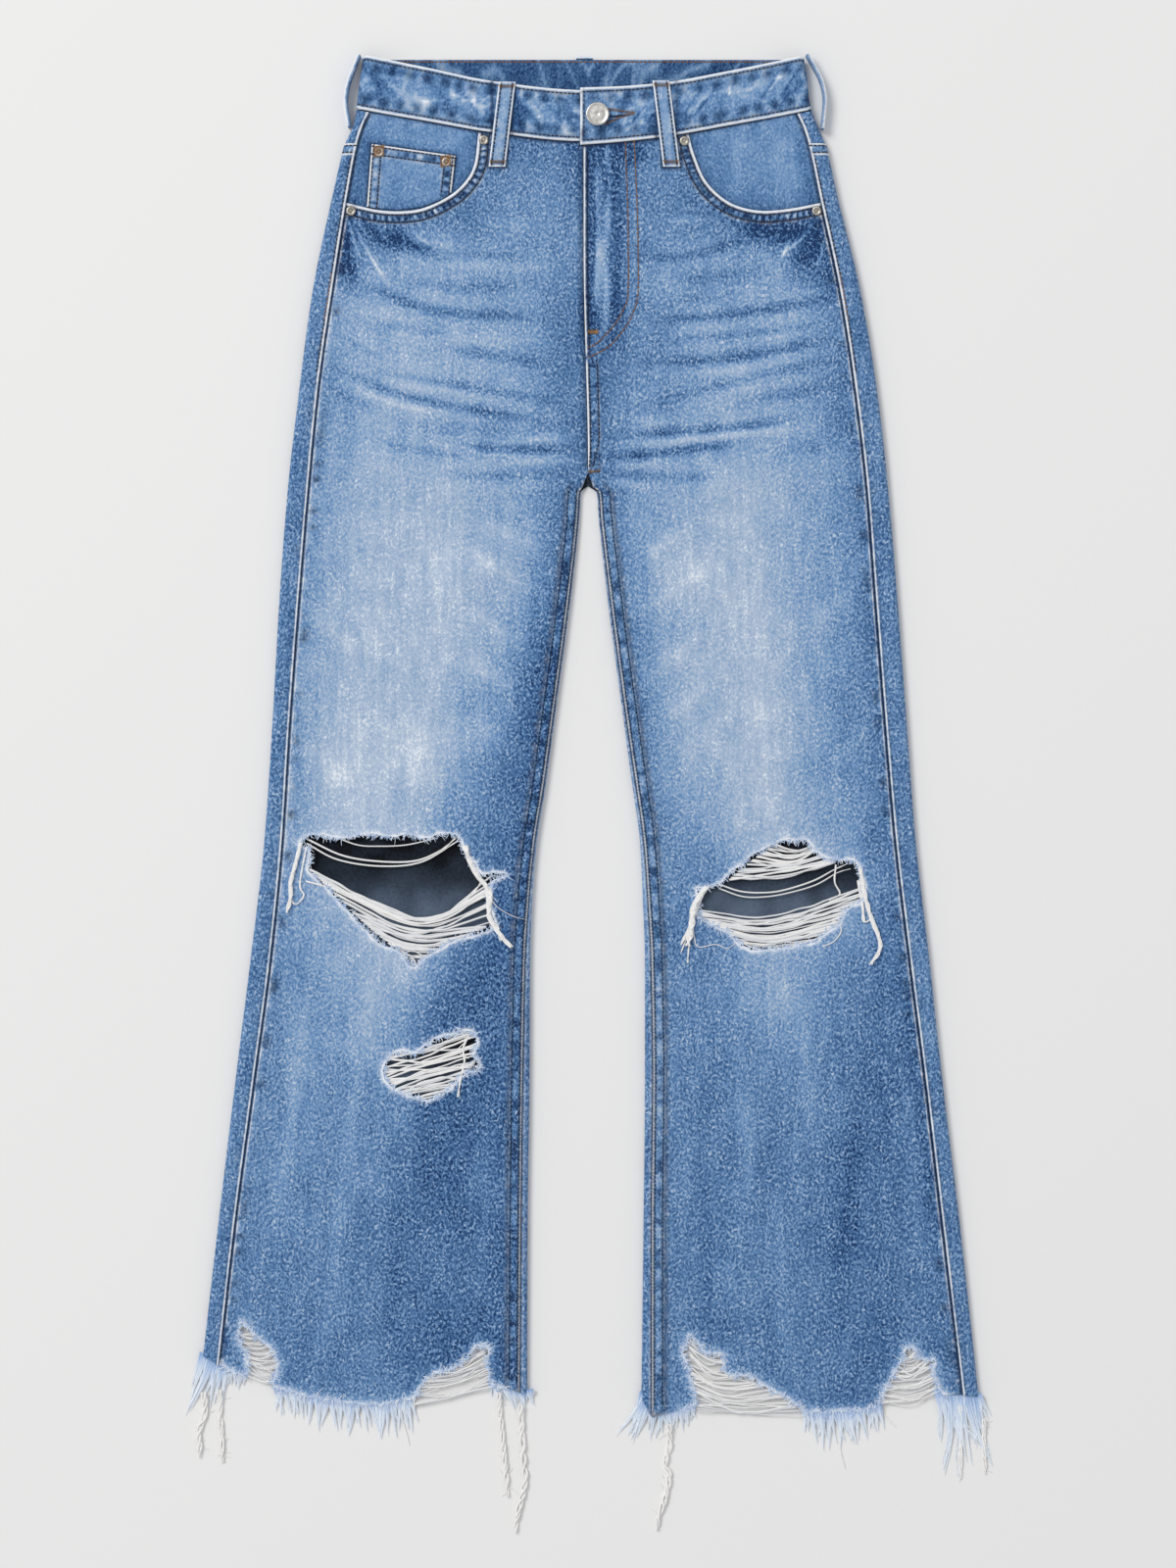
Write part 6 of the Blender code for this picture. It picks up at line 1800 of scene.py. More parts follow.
class BackPiece:
    """A yoke or back panel, which wraps round the side folds and lies under the front."""

    SEAM_SHARES = (0.0, 0.035, 0.07, 0.11, 0.16, 0.22, 0.30, 0.42, 0.60, 0.80)
    COUNTS = (3, 2, 2, 2, 2, 2, 7, 7, 7, 7, 7, 7, 2, 2, 2, 2, 4)

    def __init__(self, leg: LegForm) -> None:
        """Keeps the form that the piece lies on."""
        self.leg = leg
        self.side = leg.side

    def columns(self, drop: float, inner_turn: float) -> Array:
        """Places round the ring from the outseam to the inner edge, at one drop.

        Args:
            drop: The drop.
            inner_turn: 0 where the piece ends flat at the centre back, 1 where it turns up to the inseam.

        Returns:
            The places.
        """
        leg = self.leg
        fold_out, fold_in = float(leg.fold_out(drop)), float(leg.fold_in(drop))
        radius = 0.5 * float(leg.height(fold_out, drop))
        bends = (1.0, 0.45, 0.12)
        columns = [2 * fold_out - float(leg.outseam(drop)) - SEAM_GAP / 2]
        columns += [fold_out + radius * bend for bend in bends]
        columns.append(fold_out)
        columns += [fold_out - radius * bend for bend in bends[::-1]]
        inner_radius = 0.5 * float(leg.height(fold_in, drop))
        strip = SEAM_GAP / 2 + 0.004
        flat_end = strip + (fold_in + inner_radius - strip) * inner_turn
        start = fold_out - radius
        columns += [start + (flat_end - start) * k / 6 for k in range(1, 7)]
        turned = [fold_in + inner_radius * bend for bend in bends[1:]] + [fold_in]
        inseam = float(leg.inseam(drop)) - fold_in - SEAM_GAP / 2
        turned += [fold_in - inseam * part for part in (0.3, 1.0)]
        resting = np.linspace(flat_end, SEAM_GAP / 2, len(turned) + 1)[1:]
        columns += [rest + (turn - rest) * inner_turn for rest, turn in zip(resting, turned)]
        base = np.array(columns)
        fine = [base[0] + (base[1] - base[0]) * np.array(self.SEAM_SHARES)]
        fine += [base[k + 1] + (base[k + 2] - base[k + 1]) * np.arange(count) / count
                 for k, count in enumerate(self.COUNTS)]
        return np.concatenate([*fine, base[-1:]])

    def placed(self, guides: Sequence[tuple[float, float]], drop_of: Callable) -> tuple[Array, Array]:
        """Place round the ring and drop of each point of a grid.

        Args:
            guides: Each row's guiding drop and how far its inner end is turned up.
            drop_of: Gives a row's drops from its number, guiding drop and places.

        Returns:
            Two arrays, a row for each guide.
        """
        around, drops = [], []
        for number, (guide, turn) in enumerate(guides):
            columns = self.columns(guide, turn)
            row = drop_of(number, guide, columns)
            if not np.allclose(row, guide):
                columns = np.array([self.columns(float(drop), turn)[k] for k, drop in enumerate(row)])
            around.append(columns)
            drops.append(row)
        return np.array(around), np.array(drops)

    def yoke_seam(self, along: Array, shift: float) -> Array:
        """Drop of the seam between the yoke and the back panel.

        Args:
            along: Places round the ring.
            shift: How far below it.

        Returns:
            The drops.
        """
        side = float(self.leg.outseam(YOKE_SEAM_SIDE))
        across = smoothstep(0.0, 1.0, 1 - np.clip(along, 0, side) / side)
        return YOKE_SEAM_SIDE + (YOKE_SEAM_CENTRE - YOKE_SEAM_SIDE) * across + shift

    def dress(self, around: Array, drop: Array) -> Dressing:
        """Relief, fade, wear and shade at places round the ring.

        Args:
            around: Places round the ring.
            drop: The places' drops.

        Returns:
            The dressing.
        """
        leg, sign = self.leg, self.side.value
        cloth = Dressing.plain(around, 0.44)
        fold_out = leg.fold_out(drop)
        gap = 2 * fold_out - leg.outseam(drop) - around
        lump = Lumps(151 + sign, 5 * MM)(drop)
        cloth.fade += 0.05 * Lumps(161 + sign, 24 * MM)(around, drop)
        cloth.fade += 0.04 * Lumps(171 + sign, 8 * MM)(around, drop)
        seat = bell(drop - 0.20, 0.07) * bell(around - 0.11, 0.07) + 0.7 * bell(drop - 0.62, 0.06)
        cloth.fade += 0.20 * seat * smoothstep(0.02, 0.05, fold_out - around)
        high = 1 - smoothstep(0.20, 0.36, drop)
        cloth.worn(gap - 1.4 * MM, 0.70 * MM + 0.35 * MM * high, 0.85 + 0.15 * lump)
        cloth.relief += 0.3 * MM * bell(gap - 1.4 * MM, 0.9 * MM)
        # Dark lines beside the outseam: indigo left in the seam, and painted shade under the front's edge.
        cloth.dye_and_shade(bell(gap - 0.1 * MM, 0.55 * MM))
        cloth.dye_and_shade(0.34 * bell(gap - 2.9 * MM, 0.7 * MM))
        below = drop - self.yoke_seam(around, 0)
        cloth.felled(below, around, 8.6 * MM, (1.9 * MM, 6.9 * MM), 185 + sign, 5 * MM,
                     (below > 0) * 1.0 * (gap > 0.4 * MM))
        cloth.worn(below - 8.3 * MM, 0.9 * MM, 0.8 * (gap > 0.4 * MM))
        cloth.fade += 0.14 * bell(below - 4.3 * MM, 3.4 * MM) * (gap > 0.4 * MM)
        cloth.shade *= (1 - 0.7 * bell(below - 4.3 * MM, 3.6 * MM))
        cloth.puckered(bell(gap - 3.2 * MM, 2.6 * MM), lump, 0.2 * MM, 0.10)
        spots = np.clip(Lumps(181 + sign, 9 * MM)(drop, gap * 0.5) - 0.30, 0, 1) * 2.0
        cloth.dye_and_shade(0.40 * spots * bell(gap - 4.5 * MM, 2.6 * MM))
        turned = drop > CROTCH_BACK
        gap = around - 2 * leg.fold_in(drop) + leg.inseam(drop)
        cloth.grooved(gap, 0.8 * MM, 0.3 * MM, 0.75 * turned)
        cloth.worn(gap - 1.6 * MM, 0.7 * MM, 0.4 * turned)
        under = smoothstep(0.004, 0.012, fold_out - around)
        cloth.relief *= (1 - under)
        return cloth

    def wall(self, name: str, around: Array, drops: Array, finishes: Finishes,
             gloom: Callable | None = None) -> Object:
        """Makes the piece from its grid.

        Args:
            name: The node it stands for.
            around: Places round the ring.
            drops: Drops.
            finishes: The materials.
            gloom: Gives the painted shade of the wrong side from reach and drop.

        Returns:
            The object.
        """
        leg = self.leg
        flat_around, flat_drop = around.ravel(), drops.ravel()
        cloth = self.dress(flat_around, flat_drop)
        outer = leg.sunk(leg.ring, flat_around, flat_drop, -cloth.relief)
        inner = leg.sunk(leg.ring, flat_around, flat_drop, CLOTH - np.zeros(len(flat_drop)))
        # Painted shade on the wrong side, 0.6 unless a gloom is given.
        dark = gloom(flat_around, flat_drop) if gloom else np.zeros(len(flat_drop)) + 0.6
        made = cloth_wall(f"{name}_cloth", outer, inner, grid_cells(*around.shape), cloth,
                          finishes.denim, finishes.lining, dark)
        settle(made, "washed_denim", name)
        return made


class BackPanel(BackPiece):
    """A back with its leg, from the yoke seam to the arched raw hem.

    Its grid has even rows down the hip and the leg, and rows at shares of the way at both ends.
    """

    HIP_FOOT = 0.3244
    LEG_TOP = 0.329
    LEG_FOOT = 0.930
    TOP_SHARES = (0.0, 0.013, 0.026, 0.042, 0.06, 0.10, 0.15, 0.17, 0.185, 0.205, 0.24, 0.4, 0.6, 0.8)
    FOOT_SHARES = (0.34, 0.67, 1.0)

    def hem(self, along: Array) -> Array:
        """Drop of the back's raw hem, which arches up between the two folds.

        Args:
            along: Places round the ring.

        Returns:
            The drops.
        """
        leg, ends = self.leg, HEM_ENDS[self.side]
        fold_out, fold_in = float(leg.fold_out(ends.outer_fold)), float(leg.fold_in(ends.inner_fold))
        out = np.clip((along - fold_out) / (fold_out - float(leg.outseam(ends.outseam))), 0, 1)
        inn = np.clip((fold_in - along) / (float(leg.inseam(ends.inseam)) - fold_in), 0, 1)
        outer = ends.outer_fold + (ends.back_arch - ends.outer_fold) * smoothstep(
            0, HEM_ARCH_REACH, fold_out - along)
        inner = ends.inner_fold + (ends.back_arch - ends.inner_fold) * smoothstep(
            0, HEM_ARCH_REACH, along - fold_in)
        drop = np.where(along > 0.5 * (fold_out + fold_in), outer, inner)
        drop = np.where(along > fold_out, ends.outer_fold + (ends.outseam - ends.outer_fold) * out, drop)
        drop = np.where(along < fold_in, ends.inner_fold + (ends.inseam - ends.inner_fold) * inn, drop)
        return drop + 0.5 * MM * Lumps(191, 2.5 * MM)(along)

    def gloom(self, around: Array, drop: Array) -> Array:
        """Painted shade of the wrong side, seen through the tears: darkest below each tear's upper edge.

        Args:
            around: Places round the ring.
            drop: The places' drops.

        Returns:
            The shades.
        """
        dark = np.zeros(len(around)) + 0.75
        tables = [KNEE_TEAR_MM[self.side]] + ([SHIN_TEAR_MM] if self.side is Side.RIGHT else [])
        for table in tables:
            low, high = metres(table).min(axis=0), metres(table).max(axis=0)
            near = (drop > low[1] - 0.01) & (drop < high[1] + 0.01)
            part = np.clip((drop - low[1]) / (high[1] - low[1]), 0, 1)
            dark = np.where(near, 0.98 - 0.62 * smoothstep(0.12, 0.75, part), dark)
        return dark + 0.10 * Lumps(195, 12 * MM)(around, drop)

    def build(self, finishes: Finishes) -> Object:
        """Makes the panel.

        Args:
            finishes: The materials.

        Returns:
            The object.
        """
        ends = HEM_ENDS[self.side]
        last = min(ends.outer_fold, ends.inner_fold, ends.outseam)
        shares, foot = self.TOP_SHARES, self.LEG_FOOT
        guides = [(YOKE_SEAM_SIDE + (POCKET_AT_OUTSEAM - YOKE_SEAM_SIDE) * share, 0.0) for share in shares]
        guides += [(drop, 0.0) for drop in np.linspace(POCKET_AT_OUTSEAM, self.HIP_FOOT, 40)]
        guides += [(drop, 1.0) for drop in np.linspace(self.LEG_TOP, foot, 112)]
        evens = len(guides)
        guides += [(foot + (last - foot) * part, 1.0) for part in self.FOOT_SHARES]

        def drop_of(number: int, guide: float, columns: Array) -> Array:
            """The drops of one row.

            Args:
                number: The row's number.
                guide: Its guiding drop.
                columns: Its places round the ring.

            Returns:
                The row's drops.
            """
            if number < len(shares):
                top = self.yoke_seam(columns, SEAM_GAP / 2)
                return top + (POCKET_AT_OUTSEAM - top) * shares[number]
            if number >= evens:
                return foot + (self.hem(columns) - foot) * self.FOOT_SHARES[number - evens]
            return np.zeros(len(columns)) + guide

        around, drops = self.placed(guides, drop_of)
        return self.wall(f"back_{self.side.word}", around, drops, finishes, self.gloom)

    def stitched(self, smoke: Seams, rust: Seams) -> None:
        """Adds the topstitching beside the outseam and the rows of the yoke seam at the side.

        Args:
            smoke: Where the smoke thread's rows go.
            rust: Where the rust thread's rows go.
        """
        leg = self.leg

        def sewn(seams: Seams, around: Array, drop: Array) -> None:
            """Adds one row by its places.

            Args:
                seams: Where the row goes.
                around: Places round the ring.
                drop: The places' drops.
            """
            relief = self.dress(around, drop).relief
            seams.add(leg.sunk(leg.ring, around, drop, -(relief + 0.20 * MM)),
                      leg.outward(leg.ring, around, drop))

        for seams, low, high in ((smoke, 0.079, 0.165), (rust, 0.165, 0.200), (smoke, 0.200, 0.238)):
            drops = np.arange(low, high, 1.5 * MM)
            sewn(seams, 2 * leg.fold_out(drops) - leg.outseam(drops) - SEAM_GAP / 2 - 2.7 * MM, drops)
        for row in (1.9 * MM, 6.9 * MM):
            fold = float(leg.fold_out(YOKE_SEAM_SIDE))
            around = np.linspace(2 * fold - float(leg.outseam(YOKE_SEAM_SIDE)) - MM, fold - 2 * MM, 14)
            sewn(smoke, around, self.yoke_seam(around, row))


class Yoke(BackPiece):
    """A back yoke, from the waistband's foot to the yoke seam."""

    def build(self, finishes: Finishes) -> Object:
        """Makes the yoke.

        Args:
            finishes: The materials.

        Returns:
            The object.
        """
        foot = line(BAND_FOOT_ROWS[self.side], "drop", against="reach")
        parts = np.linspace(0, 1, 12)
        start = BAND_BACK_FOOT + YOKE_CLEARANCE
        fold = float(self.leg.fold_out(BAND_BACK_FOOT))

        def drop_of(number: int, guide: float, columns: Array) -> Array:
            """The drops of one row."""
            top = np.where(columns > fold, foot(2 * fold - columns) + YOKE_CLEARANCE, start)
            return top + (self.yoke_seam(columns, -SEAM_GAP / 2) - top) * parts[number]

        guides = [(start + (YOKE_SEAM_SIDE - start) * part, 0.0) for part in parts]
        around, drops = self.placed(guides, drop_of)
        return self.wall(f"yoke_{self.side.word}", around, drops, finishes)


@dataclass(frozen=True)
class BandSizes:
    """Sizes of the waistband's edges and stitching, in metres."""

    depth: float = 0.038
    stitch_in: float = 0.0029
    edge_round: float = 0.0009
    across: int = 26
    step: float = 0.0022
    inner_fade: float = 0.22
    # Painted shade on the band's wrong side.
    inner_shade: float = 0.18


class Waistband:
    """The waistband: one strip from its left front end round the back to its right front end."""

    def __init__(self, legs: dict[Side, LegForm], sizes: BandSizes = BandSizes()) -> None:
        """Prepares the edges of each half.

        Args:
            legs: The two forms that it lies on.
            sizes: Its details.
        """
        self.legs = legs
        self.sizes = sizes
        self.top = {side: line(BAND_TOP_ROWS[side], "drop", against="reach") for side in Side}
        self.foot = {side: line(BAND_FOOT_ROWS[side], "drop", against="reach") for side in Side}
        self.fold = {side: float(legs[side].fold_out(0.5 * (BAND_BACK_TOP + BAND_BACK_FOOT)))
                     for side in Side}

    def spots(self, side: Side, along: Array, part: Array) -> tuple:
        """Where places on the band lie.

        Args:
            side: Which half.
            along: Place along the half: past its fold on the front, less than it at the back.
            part: From 0 at the upper edge to 1 at the lower one.

        Returns:
            Place round the ring, drop and how far the band stands off the leg's face.
        """
        leg, fold = self.legs[side], self.fold[side]
        front = along > fold
        reach = np.where(front, 2 * fold - along, along)
        wrap = smoothstep(-0.5, 0.5, (along - fold) / WRAP_WIDTH)
        low = BAND_BACK_TOP + (self.top[side](reach) - BAND_BACK_TOP) * wrap
        high = BAND_BACK_FOOT + (self.foot[side](reach) - BAND_BACK_FOOT) * wrap
        drop = low + (high - low) * part
        here = leg.fold_out(drop)
        widening = here / fold
        wide = reach * (1 + (widening - 1) * smoothstep(BAND_WIDENS_FROM, fold, reach))
        around = np.where(front, 2 * here - wide, here + (along - fold) * widening)
        x = side.value * wide
        if side is Side.LEFT:
            lap = LAP_RISE * bell(x - BAND_LEFT_END, LAP_RISE_WIDTH)
        else:
            lap = -LAP_SINK * smoothstep(0, LAP_SINK_WIDTH, x - BAND_LEFT_END + BAND_RIGHT_END)
        return around, drop, BAND_PROUD * wrap + np.where(front, lap, 0)

    def dress(self, side: Side, along: Array, part: Array) -> Dressing:
        """Relief, fade, wear and shade at places on the band.

        Args:
            side: Which side.
            along: Places along the half.
            part: From 0 at the upper edge to 1 at the lower one.

        Returns:
            The dressing.
        """
        sizes, sign = self.sizes, side.value
        cloth = Dressing.plain(along, 0.62)
        low, high = part * sizes.depth, (1 - part) * sizes.depth
        end = 2 * self.fold[side] - along - (BAND_LEFT_END if side is Side.LEFT else -BAND_RIGHT_END)
        cloth.fade += 0.07 * Lumps(201 + sign, 16 * MM)(along, low)
        cloth.fade += 0.06 * Lumps(211 + sign, 5 * MM)(along, low)
        cloth.puckered(np.ones(len(along)), Lumps(215 + sign, 9 * MM)(along + 0.6 * low, 0.5 * low), 0.25 * MM, 0.05)
        # Deeper blue beside the front belt loop, and painted shadow along both its edges.
        loop = sum(0.5 * row.reach for row in BeltLoops.ENDS[side])
        beside_loop = bell(np.abs(2 * self.fold[side] - along - loop) - 9 * MM, 5 * MM)
        cloth.fade -= 0.20 * beside_loop
        edge = bell(np.abs(2 * self.fold[side] - along - loop) - 7.2 * MM, 1.4 * MM)
        cloth.dye_and_shade(0.80 * edge)
        for edge, seed in ((low, 221), (high, 231)):
            lump = Lumps(seed + sign, 4.2 * MM)(along + 0.3 * edge)
            cloth.puckered(bell(edge - 5.8 * MM, 3.8 * MM), lump, 0.35 * MM, 0.16)
            phase = along / (13 * MM) + 0.30 * Lumps(seed + 3 + sign, 21 * MM)(along) + 0.37 * (seed == 231)
            size = 1.0 + 0.4 * Lumps(seed + 5 + sign, 13 * MM)(along)
            # Dimples along both edges: sunk, deeper blue, and darkened with indigo and painted shade.
            hollow = bell(np.hypot(13 * MM * (phase - np.round(phase)), 1.1 * (edge - 7.6 * MM)), 3.6 * MM) * size
            cloth.relief -= 0.45 * MM * hollow
            cloth.fade -= 0.32 * hollow
            cloth.dye_and_shade(0.62 * np.clip(hollow, 0, 1))
            cloth.grooved(edge - sizes.stitch_in, 0.75 * MM, 0.40 * MM, 0.45)
            cloth.relief -= sizes.edge_round * np.clip(1 - edge / sizes.edge_round, 0, 1) ** 2
            cloth.worn(edge - 0.6 * MM, 1.15 * MM, 1.0)
        crack = np.abs(Lumps(241 + sign, 11 * MM)(along - 0.5 * low, 0.8 * low))
        middle = bell(part - 0.5, 0.30)
        cloth.fade += 0.34 * bell(crack, 0.11) * middle
        streak = np.abs(Lumps(245 + sign, 12 * MM)(along - 0.9 * low, 0.5 * low))
        cloth.fade -= 0.36 * bell(streak, 0.18) * middle
        vein = np.abs(Lumps(247 + sign, 7 * MM)(along + 0.4 * low, 0.7 * low))
        cloth.fade += 0.26 * bell(vein, 0.12) - 0.06
        cloth.relief += 0.20 * MM * bell(crack, 0.14) * middle
        cloth.worn(end - 0.7 * MM, 1.0 * MM, 1.0)
        cloth.grooved(end - sizes.stitch_in, 0.75 * MM, 0.35 * MM, 0.40)
        cloth.relief -= sizes.edge_round * np.clip(1 - end / sizes.edge_round, 0, 1) ** 2
        return cloth

    def surface(self, side: Side, along: Array, part: Array, off: float) -> tuple:
        """Points over the band's face, and the directions out of it there.

        Args:
            side: Which side.
            along: Places along the half.
            part: From 0 at the upper edge to 1 at the lower one.
            off: How far over the face, in metres.

        Returns:
            The points and the unit directions.
        """
        leg = self.legs[side]
        around, drop, proud = self.spots(side, along, part)
        relief = self.dress(side, along, part).relief
        return leg.sunk(leg.ring, around, drop, -(proud + relief + off)), leg.outward(leg.ring, around, drop)

    def front_along(self, side: Side, reach: Array) -> Array:
        """Place along a half from a reach on the front."""
        return 2 * self.fold[side] - reach

    def half(self, side: Side) -> tuple:
        """Outer and inner grids of one half with its dressing, from its front end to the centre back.

        Args:
            side: Which side.

        Returns:
            The two grids, the dressing, the wrong side's fade and the grid's shape.
        """
        leg, fold = self.legs[side], self.fold[side]
        end = BAND_LEFT_END if side is Side.LEFT else -BAND_RIGHT_END
        radius = 0.5 * float(leg.height(fold, 0.021))
        edge = np.array([0, 0.35, 0.8, 1.4]) * MM
        front = np.arange(end + 2.4 * MM, fold - radius - 1 * MM, self.sizes.step)
        bends = np.array([1, 0.72, 0.45, 0.28, 0.12, 0.05, 0]) * radius
        back = np.linspace(fold - radius, 0, 84)[1:]
        along = np.concatenate([2 * fold - end - edge, 2 * fold - front, fold + bends,
                                fold - bends[::-1][1:], back])
        rim = np.array([0, 0.010, 0.022, 0.038, 0.060])
        parts = np.concatenate([rim, np.linspace(0.08, 0.92, self.sizes.across - 10), 1 - rim[::-1]])
        grid_part, grid_along = np.meshgrid(parts, along, indexing="ij")
        flat_along, flat_part = grid_along.ravel(), grid_part.ravel()
        around, drop, proud = self.spots(side, flat_along, flat_part)
        cloth = self.dress(side, flat_along, flat_part)
        at_back = smoothstep(0.004, 0.010, fold - flat_along)
        cloth.relief *= (1 - at_back)
        outer = leg.sunk(leg.ring, around, drop, -(proud + cloth.relief))
        inner = leg.sunk(leg.ring, around, drop, BAND_CLOTH - proud)
        creased = Lumps(251 + side.value, 4 * MM)(flat_along, 0.1 * drop)
        vein = np.abs(Lumps(255 + side.value, 10 * MM)(flat_along + 0.35 * drop, 0.25 * drop))
        deep = self.sizes.inner_fade + 0.10 * creased + 0.42 * bell(vein, 0.16)
        return outer, inner, cloth, deep, grid_along.shape

    def build(self, finishes: Finishes) -> Object:
        """Makes the waistband.

        Args:
            finishes: The materials.

        Returns:
            The object.
        """
        halves = [self.half(side) for side in (Side.LEFT, Side.RIGHT)]
        rows = halves[0][4][0]

        def joined(left: Array, right: Array) -> Array:
            """One array of both halves, row by row, with the centre back once.

            Args:
                left: The left half's.
                right: The right half's.

            Returns:
                Both in one.
            """
            left = left.reshape(rows, -1, *left.shape[1:])
            right = right.reshape(rows, -1, *right.shape[1:])[:, ::-1][:, 1:]
            return np.concatenate([left, right], axis=1)

        outer, inner = [joined(halves[0][k], halves[1][k]) for k in (0, 1)]
        fields = [joined(getattr(halves[0][2], name), getattr(halves[1][2], name)).ravel()
                  for name in ("relief", "fade", "wear", "shade")]
        deep = joined(halves[0][3], halves[1][3]).ravel()
        cells = grid_cells(rows, outer.shape[1])
        # The band's wrong side gets an even painted shade and its own deep fade.
        made = cloth_wall("waistband_cloth", outer.reshape(-1, 3), inner.reshape(-1, 3), cells,
                          Dressing(*fields), finishes.strip, finishes.strip, np.full(len(deep), self.sizes.inner_shade),
                          deep)
        settle(made, "washed_denim", "waistband")
        return made

    def stitched(self, smoke: Seams, rust: Seams) -> None:
        """Adds the rows along both edges, down the left end and inside the back.

        Args:
            smoke: Where the smoke thread's rows go.
            rust: Where the rust thread's rows go.
        """
        stitch_in = self.sizes.stitch_in
        stitch_part = stitch_in / self.sizes.depth
        for side in Side:
            end = BAND_LEFT_END if side is Side.LEFT else -BAND_RIGHT_END
            reach = np.arange(end + stitch_in, self.fold[side] - 0.001, 1.5 * MM)
            if side is Side.RIGHT:
                reach = reach[reach > -BAND_LEFT_END + MM]
            along = self.front_along(side, reach)
            for part in (stitch_part, 1 - stitch_part):
                smoke.add(*self.surface(side, along, np.zeros(len(along)) + part, 0.20 * MM))
        parts = np.linspace(stitch_part, 1 - stitch_part, 24)
        along = np.zeros(24) + self.front_along(Side.LEFT, BAND_LEFT_END + stitch_in)
        smoke.add(*self.surface(Side.LEFT, along, parts, 0.20 * MM))
        for side in Side:
            leg = self.legs[side]
            along = np.linspace(0.002, self.fold[side] - 0.006, 90)
            around, drop, proud = self.spots(side, along, np.zeros(90) + 0.045)
            rust.add(leg.sunk(leg.ring, around, drop, BAND_CLOTH - proud + 0.10 * MM),
                     -leg.outward(leg.ring, around, drop))


@dataclass(frozen=True)
class LayerSizes:
    """How deep a flat layer lies under the front's face, and how its mesh is spaced."""

    depth: float
    thickness: float = FACING_CLOTH
    spacing: float = 0.0019


class UnderLayer:
    """A flat layer under the front: a pocket facing, the coin pocket or the fly's facing."""

    def __init__(self, leg: LegForm, sizes: LayerSizes) -> None:
        """Keeps the form and the layer's depth.

        Args:
            leg: The form that it lies on.
            sizes: The sizes.
        """
        self.leg = leg
        self.side = leg.side
        self.sizes = sizes

    def outline(self) -> Array:
        """The layer's edge, as reach and drop."""
        raise NotImplementedError

    def dress(self, reach: Array, drop: Array) -> Dressing:
        """Relief, fade, wear and shade at places on the layer."""
        return Dressing.plain(reach)

    def surface(self, path: Array, off: float) -> tuple[Array, Array]:
        """Points over the layer's face along a path, and the directions out of it there.

        Args:
            path: Reach and drop along the path.
            off: How far over the face, in metres.

        Returns:
            The points and the unit directions.
        """
        reach, drop = path[:, 0], path[:, 1]
        relief = self.dress(reach, drop).relief
        depth = self.sizes.depth - relief - off
        return (self.leg.sunk(self.leg.upper, reach, drop, depth),
                self.leg.outward(self.leg.upper, reach, drop))

    def make(self, name: str, finishes: Finishes, rows: Sequence[Array]) -> Object:
        """Makes the layer.

        Args:
            name: The node it stands for.
            finishes: The materials.
            rows: Lines that its mesh follows.

        Returns:
            The object.
        """
        sizes, leg = self.sizes, self.leg
        flat, cells = cut_cells([self.outline()], rows, ((0.0, 1.0, sizes.spacing),))
        reach, drop = flat[:, 0], flat[:, 1]
        cloth = self.dress(reach, drop)
        outer = leg.sunk(leg.upper, reach, drop, sizes.depth - cloth.relief)
        inner = leg.sunk(leg.upper, reach, drop, sizes.depth + sizes.thickness)
        made = cloth_wall(f"{name}_cloth", outer, inner, cells, cloth, finishes.strip, finishes.lining)
        settle(made, "washed_denim", name)
        return made


